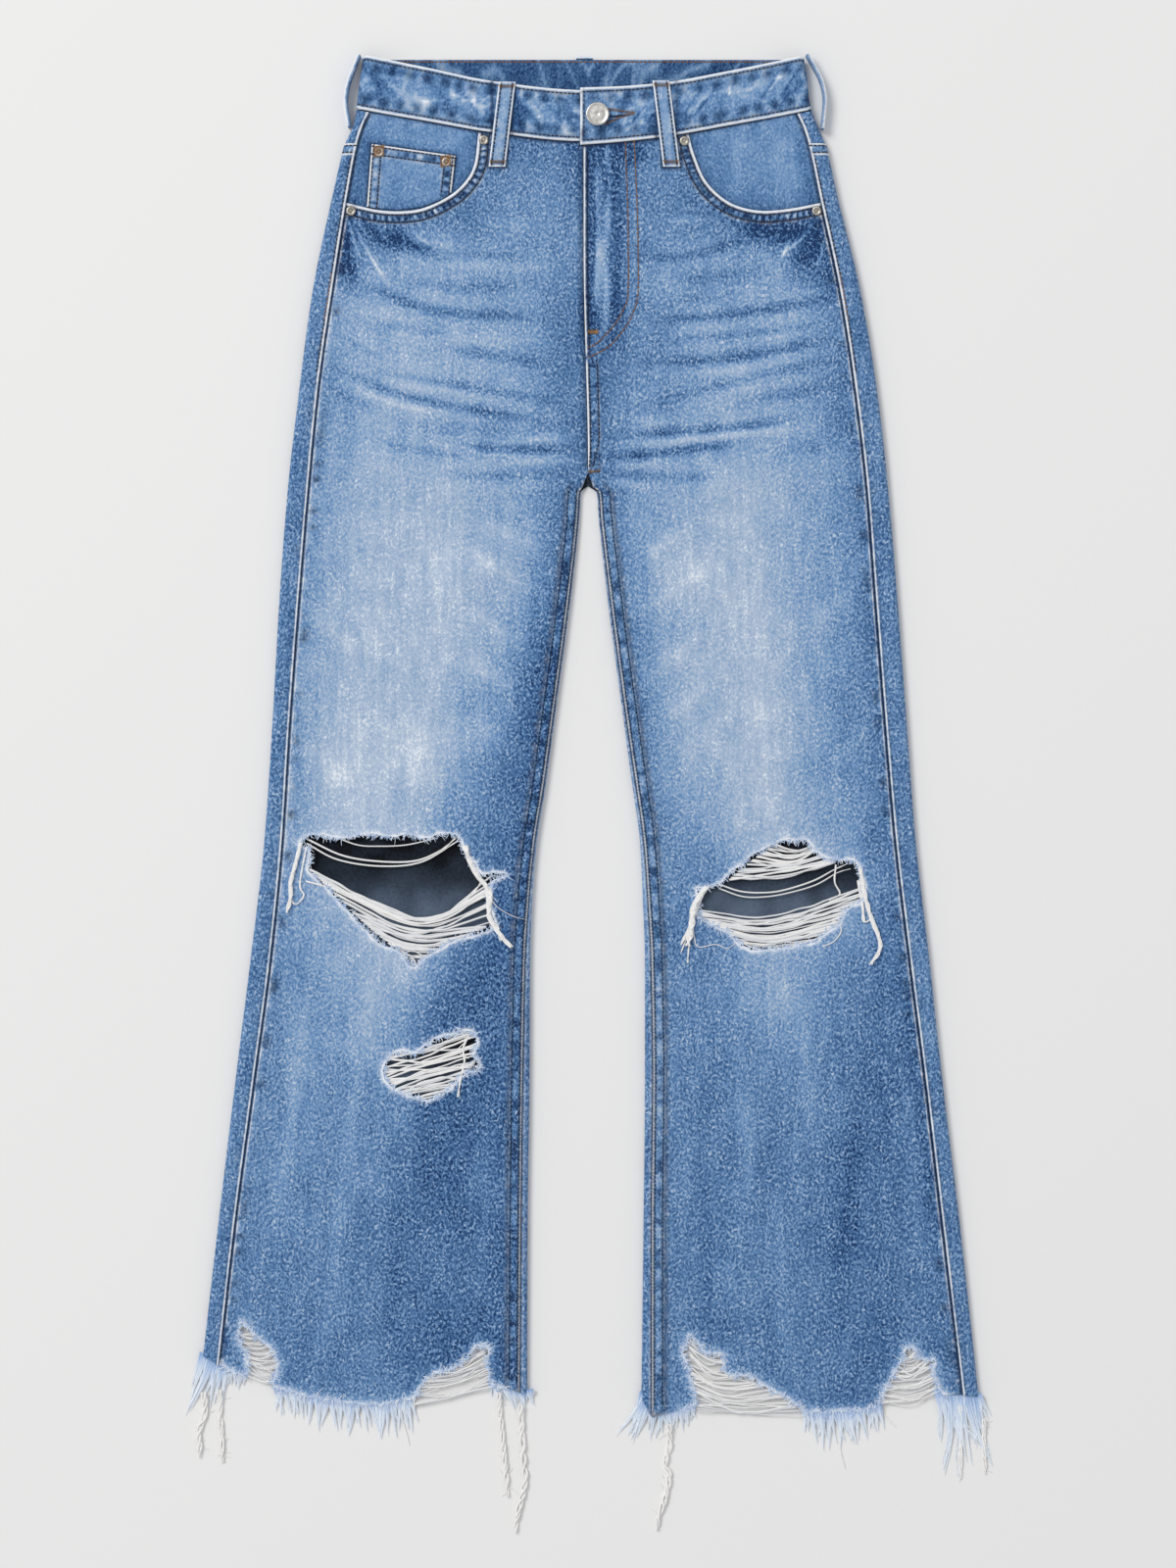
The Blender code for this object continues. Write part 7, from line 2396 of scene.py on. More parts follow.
class PocketFacing(UnderLayer):
    """The hip piece inside a pocket opening, which carries on under the front panel."""

    def __init__(self, leg: LegForm) -> None:
        """Works out the line of the opening.

        Args:
            leg: The form that it lies on.
        """
        super().__init__(leg, LayerSizes(CLOTH + LAYER_GAP))
        self.foot = line(BAND_FOOT_ROWS[self.side], "drop", against="reach")
        curve = np.array(POCKET_CURVE_ROWS[self.side])
        end = (float(leg.outseam(POCKET_AT_OUTSEAM)), POCKET_AT_OUTSEAM)
        self.curve = resampled(np.concatenate([curve, [end]]), 2 * MM)

    def outline(self) -> Array:
        """The facing's edge, as reach and drop.

        Returns:
            Reach and drop of each point.
        """
        leg = self.leg
        under = beside(self.curve, POCKET_UNDERLAP)
        under = under[under[:, 1] > self.foot(under[:, 0]) + SEAM_GAP + MM]
        under[-1] = (self.curve[-1, 0] + POCKET_BEHIND_OUTSEAM, self.curve[-1, 1] + POCKET_UNDERLAP)
        side_top = float(leg.outseam(BAND_FOOT_ROWS[self.side][-1].drop)) + POCKET_BEHIND_OUTSEAM
        tops = np.linspace(under[0, 0], side_top, 40)
        edge = [(reach, float(self.foot(reach)) + SEAM_GAP) for reach in tops]
        drops = np.arange(edge[-1][1] + 2 * MM, under[-1, 1] - MM, 2 * MM)
        edge += [(float(leg.outseam(drop)) + POCKET_BEHIND_OUTSEAM, drop) for drop in drops]
        return np.array(edge + [tuple(point) for point in under[::-1]])

    def dress(self, reach: Array, drop: Array) -> Dressing:
        """Relief, fade, wear and shade at places on the facing.

        Args:
            reach: The places' reaches.
            drop: The places' drops.

        Returns:
            The dressing.
        """
        sign = self.side.value
        cloth = Dressing.plain(reach, 0.56)
        # Painted shade under the front's pocket edge: darker towards it, darkest beside it.
        gap, _ = nearest_on(self.curve, reach, drop)
        cloth.fade -= 0.16 * np.exp(-gap / (12 * MM))
        cloth.fade += 0.06 * Lumps(261 + sign, 12 * MM)(reach, drop)
        cloth.dye_and_shade(0.45 * np.exp(-gap / (2.2 * MM)))
        cloth.relief += 0.15 * MM * Lumps(271 + sign, 12 * MM)(reach, drop)
        # A dark line at the outseam, dye and painted shade, and a darker strip beside it.
        gap = self.leg.outseam(drop) - reach
        cloth.grooved(gap - 0.6 * MM, 1.1 * MM, 0.3 * MM, 0.92)
        cloth.fade -= 0.20 * bell(gap - 6 * MM, 4 * MM) * smoothstep(0.052, 0.068, drop)
        if self.side is Side.RIGHT:
            # Painted shadow of the coin pocket's edges on the facing.
            corners = np.array(COIN_POCKET_ROWS)
            gap, _ = nearest_on(corners[[7, 0, 1, 2]], reach, drop)
            cloth.dye_and_shade(0.95 * bell(gap, 1.5 * MM))
            cloth.fade -= 0.14 * bell(gap, 5 * MM)
        # Painted shadow under the waistband's lower edge, in a shallow groove.
        top = drop - self.foot(reach)
        cloth.grooved(top, 1.5 * MM, 0.2 * MM, 0.90)
        cloth.puckered(bell(top - 5 * MM, 4 * MM), Lumps(281 + sign, 4.5 * MM)(reach), 0.25 * MM, 0.10)
        return cloth

    def build(self, finishes: Finishes) -> Object:
        """Makes the facing."""
        return self.make(f"pocket_facing_{self.side.word}", finishes,
                         [beside(self.curve, 1.5 * MM), beside(self.curve, -1.5 * MM)])


class CoinPocket(UnderLayer):
    """The small pocket on the right facing, whose foot goes in behind the pocket's edge."""

    TACKS = ((0.1572, 0.0728), (0.1072, 0.0802))
    TACK_HALF = 0.0038

    def __init__(self, leg: LegForm) -> None:
        """Keeps the pocket's edge.

        Args:
            leg: The form that it lies on.
        """
        super().__init__(leg, LayerSizes(CLOTH + LAYER_GAP - COIN_POCKET_GAP - FACING_CLOTH))
        self.corners = np.array(COIN_POCKET_ROWS)
        self.corners[2:, 1] += 3.4 * MM  # tucked in behind the front's edge
        self.top = self.corners[:2]
        self.inner = self.corners[1:3]
        self.outer = self.corners[[7, 0]]

    def outline(self) -> Array:
        """The pocket's edge, as reach and drop."""
        return stepped(self.corners, 2 * MM)

    def dress(self, reach: Array, drop: Array) -> Dressing:
        """Relief, fade, wear and shade at places on the pocket.

        Args:
            reach: The places' reaches.
            drop: The places' drops.

        Returns:
            The dressing.
        """
        cloth = Dressing.plain(reach, 0.54)
        cloth.fade += 0.07 * Lumps(291, 9 * MM)(reach, drop)
        cloth.relief += 0.2 * MM * Lumps(292, 14 * MM)(reach, drop)
        for number, edge in enumerate((self.top, self.inner, self.outer)):
            gap, along = nearest_on(edge, reach, drop)
            cloth.felled(gap, along, 8.6 * MM, (1.7 * MM, 7.4 * MM), 293 + number, 5 * MM, contrast=1.5)
        # Painted shade where the pocket goes in under the front's edge: darker towards it.
        gap, _ = nearest_on(np.array(POCKET_CURVE_ROWS[Side.RIGHT]), reach, drop)
        cloth.relief = cloth.relief * smoothstep(0.5 * MM, 4 * MM, gap)
        cloth.fade -= 0.14 * np.exp(-gap / (7 * MM))
        cloth.dye_and_shade(0.5 * np.exp(-gap / (1.6 * MM)))
        return cloth

    def build(self, finishes: Finishes) -> Object:
        """Makes the pocket.

        Args:
            finishes: The materials.

        Returns:
            The object.
        """
        rows = []
        for edge in (self.top, self.inner, self.outer):
            for offset in (0.6, 1.2, 1.7, 2.3, 4.5, 6.8, 7.4, 8.0, 8.8):
                rows.append(beside(evenly(edge, 1.5 * MM), -offset * MM))
                rows.append(beside(evenly(edge, 1.5 * MM), offset * MM))
        return self.make("coin_pocket", finishes, rows)

    def stitched(self, smoke: Seams) -> None:
        """Adds the double rows along the pocket's mouth and sides.

        Args:
            smoke: Where the smoke thread's rows go.
        """
        loop = self.outline()
        for edge in (self.top, self.inner, self.outer):
            for offset in (1.7, 7.4):
                for sign in (-1, 1):
                    path = beside(evenly(edge, 1.5 * MM), sign * offset * MM)
                    path = path[inside(loop, path)]
                    path = path[nearest_on(self.top, path[:, 0], path[:, 1])[0] > 1.2 * MM]
                    if len(path) > 8:
                        smoke.add(*self.surface(path, 0.22 * MM))

    def tacked(self, rust: Skein) -> None:
        """Adds the square bar tacks under the rivets at both corners of the mouth.

        Args:
            rust: Where the yarns go.
        """
        for reach, drop in self.TACKS:
            for turn in range(9):
                part = -1.0 + turn / 4
                zig = np.linspace(-1, 1, 13)
                saw = 0.35 * MM * np.where(np.arange(13) % 2, 1, -1)
                path = np.stack([reach + self.TACK_HALF * zig,
                                 drop + self.TACK_HALF * part + saw + 0.15 * zig * self.TACK_HALF], axis=1)
                points, _ = self.surface(path, 0.30 * MM)
                rust.add(points, 0.34 * MM, 0.3 + 0.3 * (turn % 2))


class FlyFacing(UnderLayer):
    """The facing behind the left front, out to the curved stitching."""

    def __init__(self, leg: LegForm) -> None:
        """Sets the facing's depth."""
        super().__init__(leg, LayerSizes(CLOTH + LAYER_GAP, spacing=0.004))

    def outline(self) -> Array:
        """The facing's edge, as reach and drop.

        Returns:
            Reach and drop of each point.
        """
        foot = line(BAND_FOOT_ROWS[Side.LEFT], "drop", against="reach")
        edge = [(row.reach + FLY_EDGE_BEYOND_STITCH, row.drop) for row in FLY_OUTER_ROWS[1:-1]]
        tops = np.linspace(0.0004, FLY_OUTER_ROWS[0].reach, 6)
        loop = [(reach, float(foot(reach)) + SEAM_GAP) for reach in tops] + edge
        drops = np.linspace(FLY_FACING_FOOT, 0.0700, 30)
        return np.array(loop + [(SEAM_GAP, drop) for drop in drops])

    def build(self, finishes: Finishes) -> Object:
        """Makes the facing."""
        return self.make("fly_facing", finishes, [np.array([[0.010, 0.10], [0.010, 0.11]])])


def box_wall(name: str, loop: Array, low: float, high: float, finishes: Finishes,
             slot: str, node: str) -> Object:
    """A flat piece of cloth on the floor, with softened edges.

    Args:
        name: The piece's name.
        loop: Its edge, as x and y.
        low: Height of its underside.
        high: Height of its top.
        finishes: The materials.
        slot: Its record slot.
        node: The node it stands for.

    Returns:
        The object.
    """
    flat, cells = cut_cells([loop], [loop.mean(axis=0)[None] + np.array([[0, 0], [0.003, 0]])],
                            ((-1.0, 1.0, 4 * MM),))
    gap, _ = nearest_on(closed(loop), flat[:, 0], flat[:, 1])
    cloth = Dressing.plain(flat, 0.44)
    cloth.fade += 0.07 * Lumps(401, 12 * MM)(flat[:, 0], flat[:, 1])
    cloth.worn(gap - 0.5 * MM, 1.0 * MM, 0.9)
    cloth.grooved(gap - 3 * MM, 0.8 * MM, 0.2 * MM, 0.4)
    under = np.column_stack([flat, low + 0.3 * MM * np.clip(1 - gap / MM, 0, 1)])
    top = np.column_stack([flat, high - 0.3 * MM * np.clip(1 - gap / MM, 0, 1)])
    made = cloth_wall(name, under, top, cells, cloth, finishes.loops if "loop" in name else finishes.denim,
                      finishes.lining)
    settle(made, slot, node)
    return made


class BackPockets:
    """Two plain patch pockets, flat on the floor under the hips, with double rows of stitches."""

    CORNERS = (EdgeRow(0.0320, 0.1330), EdgeRow(0.1640, 0.1240), EdgeRow(0.1580, 0.2420),
               EdgeRow(0.0990, 0.2740), EdgeRow(0.0390, 0.2500))
    THICKNESS = 0.0013

    def build(self, finishes: Finishes, rust: Seams) -> list[Object]:
        """Makes both pockets and adds their stitch rows.

        Args:
            finishes: The materials.
            rust: Where the rust thread's rows go.

        Returns:
            The two objects.
        """
        made = []
        for side in Side:
            corners = np.array([(CENTRE_X + side.value * row.reach, WAIST_Y - row.drop)
                                for row in self.CORNERS])
            loop = stepped(corners, 4 * MM)
            name = f"back_pocket_{side.word}"
            made.append(box_wall(f"{name}_cloth", loop, 0.0, self.THICKNESS, finishes, "washed_denim", name))
            middle = corners.mean(axis=0)
            for share in (0.955, 0.905):
                row = evenly(middle + (closed(corners) - middle) * share, 3 * MM)
                points = np.column_stack([row, np.full(len(row), 0.10 * MM)])
                rust.add(points, np.tile((0.0, 0.0, -1.0), (len(row), 1)))
        return made


@dataclass(frozen=True)
class LoopSizes:
    """Sizes of a belt loop, in metres."""

    width: float = 0.0126
    length: float = 0.064
    cloth: float = 0.0013
    underlap: float = 0.0011
    side_cloth: float = 0.0027
    back_x: float = -0.0026


class LoopRow(NamedTuple):
    """How far a front belt loop stands off the cloth under it, at one part of its length."""

    part: float
    off: float


class BeltLoops:
    """Five belt loops: two on the front, one at each hip and one at the centre back."""

    ENDS = {
        Side.RIGHT: (EdgeRow(0.0607, 0.0210), EdgeRow(0.0685, 0.0844)),
        Side.LEFT: (EdgeRow(0.0548, 0.0200), EdgeRow(0.0629, 0.0844)),
    }
    OFFS = (
        LoopRow(0.00, 0.0015), LoopRow(0.20, 0.0019), LoopRow(0.45, 0.0021), LoopRow(0.65, 0.0019),
        LoopRow(0.80, 0.0014), LoopRow(0.92, 0.0006), LoopRow(1.00, 0.0004),
    )
    HIP_ROWS = {
        Side.RIGHT: (EdgeRow(0.1712, 0.0005), EdgeRow(0.1752, 0.0110), EdgeRow(0.1795, 0.0230),
                     EdgeRow(0.1811, 0.0350), EdgeRow(0.1800, 0.0440), EdgeRow(0.1784, 0.0535)),
        Side.LEFT: (EdgeRow(0.1640, 0.0005), EdgeRow(0.1690, 0.0090), EdgeRow(0.1745, 0.0200),
                    EdgeRow(0.1770, 0.0317), EdgeRow(0.1766, 0.0411), EdgeRow(0.1752, 0.0555)),
    }
    BACK_PROFILE = ((0.0012, 0.0), (0.0500, 0.0), (0.0500, 0.0012), (0.0026, 0.0012), (0.0026, 0.0046),
                    (0.0012, 0.0046))

    def __init__(self, legs: dict[Side, LegForm], sizes: LoopSizes = LoopSizes()) -> None:
        """Keeps the forms that the loops lie on."""
        self.legs = legs
        self.sizes = sizes

    def front_place(self, side: Side, part: Array, across: Array, rise: Array) -> Array:
        """Points of a front loop.

        Args:
            side: Which side.
            part: From 0 at its top end to 1 at its foot.
            across: From -0.5 to 0.5 across it.
            rise: Height over its underside.

        Returns:
            Points in the frame.
        """
        leg = self.legs[side]
        top, foot = self.ENDS[side]
        reach = top.reach + (foot.reach - top.reach) * part + across * self.sizes.width
        drop = top.drop + (foot.drop - top.drop) * part
        proud = BAND_PROUD * (1 - smoothstep(0.60, 0.75, part))
        off = line(self.OFFS, "off", against="part")(part)
        sunk = self.sizes.underlap * smoothstep(0.0, 0.02, proud / BAND_PROUD)
        return leg.sunk(leg.upper, reach, drop, -(proud + off - sunk + rise))

    def build_front(self, side: Side, finishes: Finishes, smoke: Seams) -> Object:
        """Makes a front loop, with the stitches along its edges.

        Args:
            side: Which side.
            finishes: The materials.
            smoke: Where the smoke thread's rows go.

        Returns:
            The object.
        """
        part = np.linspace(0, 1, 56)
        across = np.array([-0.5, -0.47, -0.43, -0.38, -0.31, -0.24, -0.16, -0.08, 0, 0.08, 0.16, 0.24, 0.31,
                           0.38, 0.43, 0.47, 0.5])
        grid_part, grid_across = np.meshgrid(part, across, indexing="ij")
        flat_part, flat_across = grid_part.ravel(), grid_across.ravel()
        s = flat_part * self.sizes.length
        cloth = Dressing.plain(s, 0.56)
        edge = (0.5 - np.abs(flat_across)) * self.sizes.width
        ends = np.minimum(flat_part, 1 - flat_part) * self.sizes.length
        cloth.fade += 0.10 * bell(flat_across, 0.22) + 0.07 * Lumps(411 + side.value, 5 * MM)(s, edge)
        lump = Lumps(421 + side.value, 3.6 * MM)(s, flat_across * 0.01)
        cloth.puckered(bell(edge - 3.4 * MM, 2.0 * MM), lump, 0.25 * MM, 0.12)
        cloth.grooved(edge - 2.1 * MM, 0.6 * MM, 0.30 * MM, 0.40)
        cloth.worn(edge - 0.4 * MM, 0.8 * MM, 0.95)
        cloth.worn(ends - 0.4 * MM, 0.9 * MM, 0.9)
        cloth.relief -= 0.5 * MM * np.clip(1 - edge / (0.7 * MM), 0, 1) ** 2
        tack = smoothstep(0, 1, 1 - np.clip(ends / (6 * MM), 0, 1))
        cloth.relief -= 0.3 * MM * tack
        outer = self.front_place(side, flat_part, flat_across, self.sizes.cloth + cloth.relief)
        inner = self.front_place(side, flat_part, flat_across, 0 * s)
        name = f"belt_loop_front_{side.word}"
        made = cloth_wall(f"{name}_cloth", outer, inner, grid_cells(len(part), len(across)), cloth,
                          finishes.loops, finishes.lining)
        settle(made, "washed_denim_light", name)
        leg = self.legs[side]
        for sign in (-1, 1):
            parts = np.linspace(0.04, 0.96, 40)
            spots = np.zeros(40) + sign * (0.5 - 2.1 * MM / self.sizes.width)
            points = self.front_place(side, parts, spots, self.sizes.cloth + 0.05 * MM + np.zeros(40))
            top, foot = self.ENDS[side]
            reach = top.reach + (foot.reach - top.reach) * parts
            drop = top.drop + (foot.drop - top.drop) * parts
            smoke.add(points, leg.outward(leg.upper, reach, drop))
        return made

    def tacks(self, side: Side, rust: Skein) -> None:
        """Zigzag bar tacks over both ends of a front loop.

        Args:
            side: Which side.
            rust: Where the yarns go.
        """
        for middle in (0.055, 0.945):
            count = 19
            parts = middle + 0.030 * np.where(np.arange(count) % 2, 1, -1) * 0.7
            across = np.linspace(-0.44, 0.44, count)
            rise = np.zeros(count) + self.sizes.cloth + 0.30 * MM
            rust.add(self.front_place(side, parts, across, rise), 0.42 * MM, 0.45)

    def build_hip(self, side: Side, finishes: Finishes) -> Object:
        """Makes a hip loop, which stands on edge round the side fold.

        Args:
            side: Which side.
            finishes: The materials.

        Returns:
            The object.
        """
        leg, sizes = self.legs[side], self.sizes
        path = resampled(np.array(self.HIP_ROWS[side]), 1.6 * MM)
        heights = np.array([0, 0.3, 0.8, 1.6, 2.8, 4.0, 5.4, 6.8, 8.0, 9.2, 10.0, 10.5, 10.8]) * MM
        run = np.gradient(path, axis=0)
        run /= np.linalg.norm(run, axis=1, keepdims=True)
        sideways = np.stack([run[:, 1], -run[:, 0]], axis=1)
        grids = []
        for offset in (sizes.side_cloth, 0.0):
            rows = []
            for height in heights:
                edge = min(height, heights[-1] - height)
                taper = 0.45 * MM * max(0.0, 1 - edge / (0.8 * MM)) ** 2
                place = path + (offset + (-taper if offset else taper)) * sideways
                rows.append(leg.place(place[:, 0], place[:, 1], np.full(len(path), height)))
            grids.append(np.array(rows).reshape(-1, 3))
        edge = np.minimum(heights, heights[-1] - heights)
        flat_edge = np.repeat(edge, len(path))
        s = np.tile(np.arange(len(path)) * 1.6 * MM, len(heights))
        cloth = Dressing.plain(s, 0.58)
        cloth.fade += 0.12 * Lumps(431 + side.value, 4 * MM)(s, flat_edge)
        cloth.worn(flat_edge - 0.2 * MM, 1.1 * MM, 0.9)
        cloth.grooved(flat_edge - 2.2 * MM, 0.6 * MM, 0.0, 0.40)
        name = f"belt_loop_side_{side.word}"
        made = cloth_wall(f"{name}_cloth", grids[0], grids[1], grid_cells(len(heights), len(path)), cloth,
                          finishes.loops, finishes.loops)
        settle(made, "washed_denim_light", name)
        return made

    def build_back(self, finishes: Finishes) -> Object:
        """Makes the centre back loop, flat under the band with its top end turned up over the edge.

        Args:
            finishes: The materials.

        Returns:
            The object.
        """
        sizes = self.sizes
        profile = np.array(self.BACK_PROFILE)
        thick = 0.0012
        path = evenly(profile[[5, 0, 1]], 1.2 * MM)
        path[0, 0] = profile[5][0]
        across = np.linspace(-0.5, 0.5, 13)
        inner = path.copy()
        upright = path[:, 1] > 1e-5
        inner[upright, 0] += thick
        inner[~upright, 1] += thick
        inner[~upright & (path[:, 0] < 0.0026), 0] = 0.0026
        grids = []
        for line_of in (path, inner):
            points = [[(CENTRE_X + sizes.back_x + a * sizes.width, WAIST_Y - drop, z) for a in across]
                      for drop, z in line_of]
            grids.append(np.array(points).reshape(-1, 3))
        s = np.repeat(np.arange(len(path)) * 1.2 * MM, len(across))
        edge = np.tile((0.5 - np.abs(across)) * sizes.width, len(path))
        cloth = Dressing.plain(s, 0.60)
        cloth.fade += 0.10 * Lumps(441, 3 * MM)(s, edge)
        cloth.worn(edge - 0.4 * MM, 0.9 * MM, 0.9)
        cloth.worn(s - 0.3 * MM, 1.0 * MM, 0.9)
        made = cloth_wall("belt_loop_back_cloth", grids[0], grids[1], grid_cells(len(path), len(across)),
                          cloth, finishes.loops, finishes.lining)
        settle(made, "washed_denim_light", "belt_loop_back")
        return made


def lathed(name: str, profile: Sequence[tuple[float, float]], steps: int, base: Array,
           axis: Sequence[float], finish: Material) -> Object:
    """A turned solid, closed at both ends of its axis.

    Args:
        name: The piece's name.
        profile: Radius and height of each ring, from the base to the top.
        steps: Faces round it.
        base: Where its axis starts.
        axis: Which way its axis goes.
        finish: Its material.

    Returns:
        The object.
    """
    turn = np.array(Vector(axis).to_track_quat("Z", "Y").to_matrix())
    angle = 2 * math.pi * np.arange(steps) / steps
    points, rings = [], []
    for radius, height in profile:
        if radius == 0:
            rings.append([len(points)])
            points.append((0, 0, height))
            continue
        rings.append(list(range(len(points), len(points) + steps)))
        points += [(radius * math.cos(a), radius * math.sin(a), height) for a in angle]
    faces = []
    for low, high in zip(rings, rings[1:]):
        for k in range(steps):
            k1 = (k + 1) % steps
            if len(low) == 1:
                faces.append((low[0], high[k1], high[k]))
            elif len(high) == 1:
                faces.append((low[k], low[k1], high[0]))
            else:
                faces.append((low[k], low[k1], high[k1], high[k]))
    made = new_object(name, np.array(points) @ turn.T + np.asarray(base), faces)
    made.data.materials.append(finish)
    made.data.shade_smooth()
    made.data.set_sharp_from_angle(angle=math.radians(38))
    return made


class RivetSpot(NamedTuple):
    """A rivet's node, side and place, and how far its seat lies off the front's face."""

    node: str
    side: Side
    reach: float
    drop: float
    off: float


class Hardware:
    """The waist button and six rivets."""

    BUTTON_AT = (0.0071, 0.0455)
    BUTTON_RADIUS = 0.0089
    RIVET_RADIUS = 0.0037
    RIVETS = (
        RivetSpot("rivet_pocket_right_inner", Side.RIGHT, 0.0784, 0.0644, 0.0),
        RivetSpot("rivet_pocket_right_outer", Side.RIGHT, 0.1785, 0.1177, 0.0),
        RivetSpot("rivet_pocket_left_inner", Side.LEFT, 0.0725, 0.0651, 0.0),
        RivetSpot("rivet_pocket_left_outer", Side.LEFT, 0.1722, 0.1177, 0.0),
        RivetSpot("rivet_coin_outer", Side.RIGHT, 0.1573, 0.0733, -0.0005),
        RivetSpot("rivet_coin_inner", Side.RIGHT, 0.1066, 0.0807, -0.0005),
    )

    def __init__(self, legs: dict[Side, LegForm]) -> None:
        """Keeps the forms that the hardware sits on."""
        self.legs = legs

    def build_button(self, finishes: Finishes) -> Object:
        """Makes the button: a plain dished disc with a rolled rim, on its shank.

        Args:
            finishes: The materials.

        Returns:
            The object.
        """
        leg = self.legs[Side.LEFT]
        reach, drop = np.array([self.BUTTON_AT[0]]), np.array([self.BUTTON_AT[1]])
        base = leg.sunk(leg.upper, reach, drop, -(BAND_PROUD + LAP_RISE + 0.0006))[0]
        r = self.BUTTON_RADIUS
        profile = ((0, 0), (0.42 * r, 0), (0.42 * r, 0.0007), (0.94 * r, 0.0007), (0.985 * r, 0.0010),
                   (r, 0.0015), (0.985 * r, 0.0021), (0.95 * r, 0.00255), (0.90 * r, 0.0028),
                   (0.85 * r, 0.00275), (0.80 * r, 0.00245), (0.76 * r, 0.0023), (0.60 * r, 0.00242),
                   (0.40 * r, 0.00250), (0.20 * r, 0.00252), (0.13 * r, 0.00245), (0.07 * r, 0.0020),
                   (0, 0.0019))
        made = lathed("waist_button_metal", profile, 48, base, (0, 0, 1), finishes.silver)
        settle(made, "aged_nickel", "waist_button")
        return made

    def build_rivets(self, finishes: Finishes) -> None:
        """Makes the rivets, each with a raised nipple in a dished centre.

        Args:
            finishes: The materials.
        """
        for spot in self.RIVETS:
            leg = self.legs[spot.side]
            reach, drop = np.array([spot.reach]), np.array([spot.drop])
            base = leg.sunk(leg.upper, reach, drop, -(spot.off + 0.0005))[0]
            axis = leg.outward(leg.upper, reach, drop)[0]
            r = self.RIVET_RADIUS
            profile = ((0, 0), (0.95 * r, 0), (r, 0.0003), (0.97 * r, 0.0006), (0.88 * r, 0.0009),
                       (0.76 * r, 0.0011), (0.62 * r, 0.0011), (0.50 * r, 0.0009), (0.40 * r, 0.0006),
                       (0.32 * r, 0.0005), (0.26 * r, 0.0008), (0.18 * r, 0.0012), (0.09 * r, 0.0014),
                       (0, 0.0015))
            made = lathed(f"{spot.node}_metal", profile, 32, base, axis, finishes.pewter)
            settle(made, "aged_nickel", spot.node)


class ThreadBand(NamedTuple):
    """Bare weft threads left across a tear: where they start, sag to and end, in mm."""

    start: tuple[tuple[float, float], ...]
    middle: tuple[tuple[float, float], ...]
    end: tuple[tuple[float, float], ...]
    count: int
    girth: float


class LooseThread(NamedTuple):
    """One thread's path in mm, its radius in mm and how bare it is."""

    path: tuple[tuple[float, float], ...]
    girth: float
    tint: float = 0.85


# Threads across the tears, listed from the upper one to the lower one.
THREAD_BANDS = {
    Side.RIGHT: rows(ThreadBand,
        (((211, 613), (189, 634), (170, 653), (148, 671), (132, 682)), ((126, 650), (130, 666), (133, 684)),
         ((72, 618), (71, 645), (76, 656), (96, 667), (130, 686)), 22, 0.62),
        (((150, 752), (154, 767), (149, 778), (129, 787)), ((122, 749), (120, 766), (117, 786)), ((88, 733),
         (81, 745), (86, 760), (105, 782)), 21, 0.58),
        (((268, 961), (262, 978), (260, 995)), ((256, 966), (248, 982), (246, 1003)), ((247, 962), (234, 977),
         (231, 989), (235, 1004)), 14, 0.46),
        (((117, 990), (126, 1002), (132, 1018)), ((100, 987), (100, 998), (103, 1013)), ((79, 974), (74, 989),
         (71, 1004)), 12, 0.44)),
    Side.LEFT: rows(ThreadBand,
        (((140, 594), (112, 616), (106, 622)), ((157, 600), (150, 609), (146, 619)), ((176, 592), (182, 604),
         (188, 609)), 13, 0.56),
        (((80, 644), (88, 652), (105, 662), (113, 669)), ((137, 649), (138, 660), (138, 674)), ((208, 627),
         (204, 638), (193, 651), (178, 667)), 18, 0.62),
        (((76, 966), (77, 993), (79, 1006), (83, 1023)), ((90, 978), (94, 993), (104, 1008), (122, 1027)),
         ((102, 978), (110, 994), (127, 1001), (150, 1012), (164, 1027)), 22, 0.46),
        (((235, 976), (229, 993), (221, 1008), (221, 1019)), ((241, 980), (244, 992), (242, 1006), (243, 1018)),
         ((248, 974), (260, 986), (262, 999), (266, 1009)), 16, 0.46)),
}
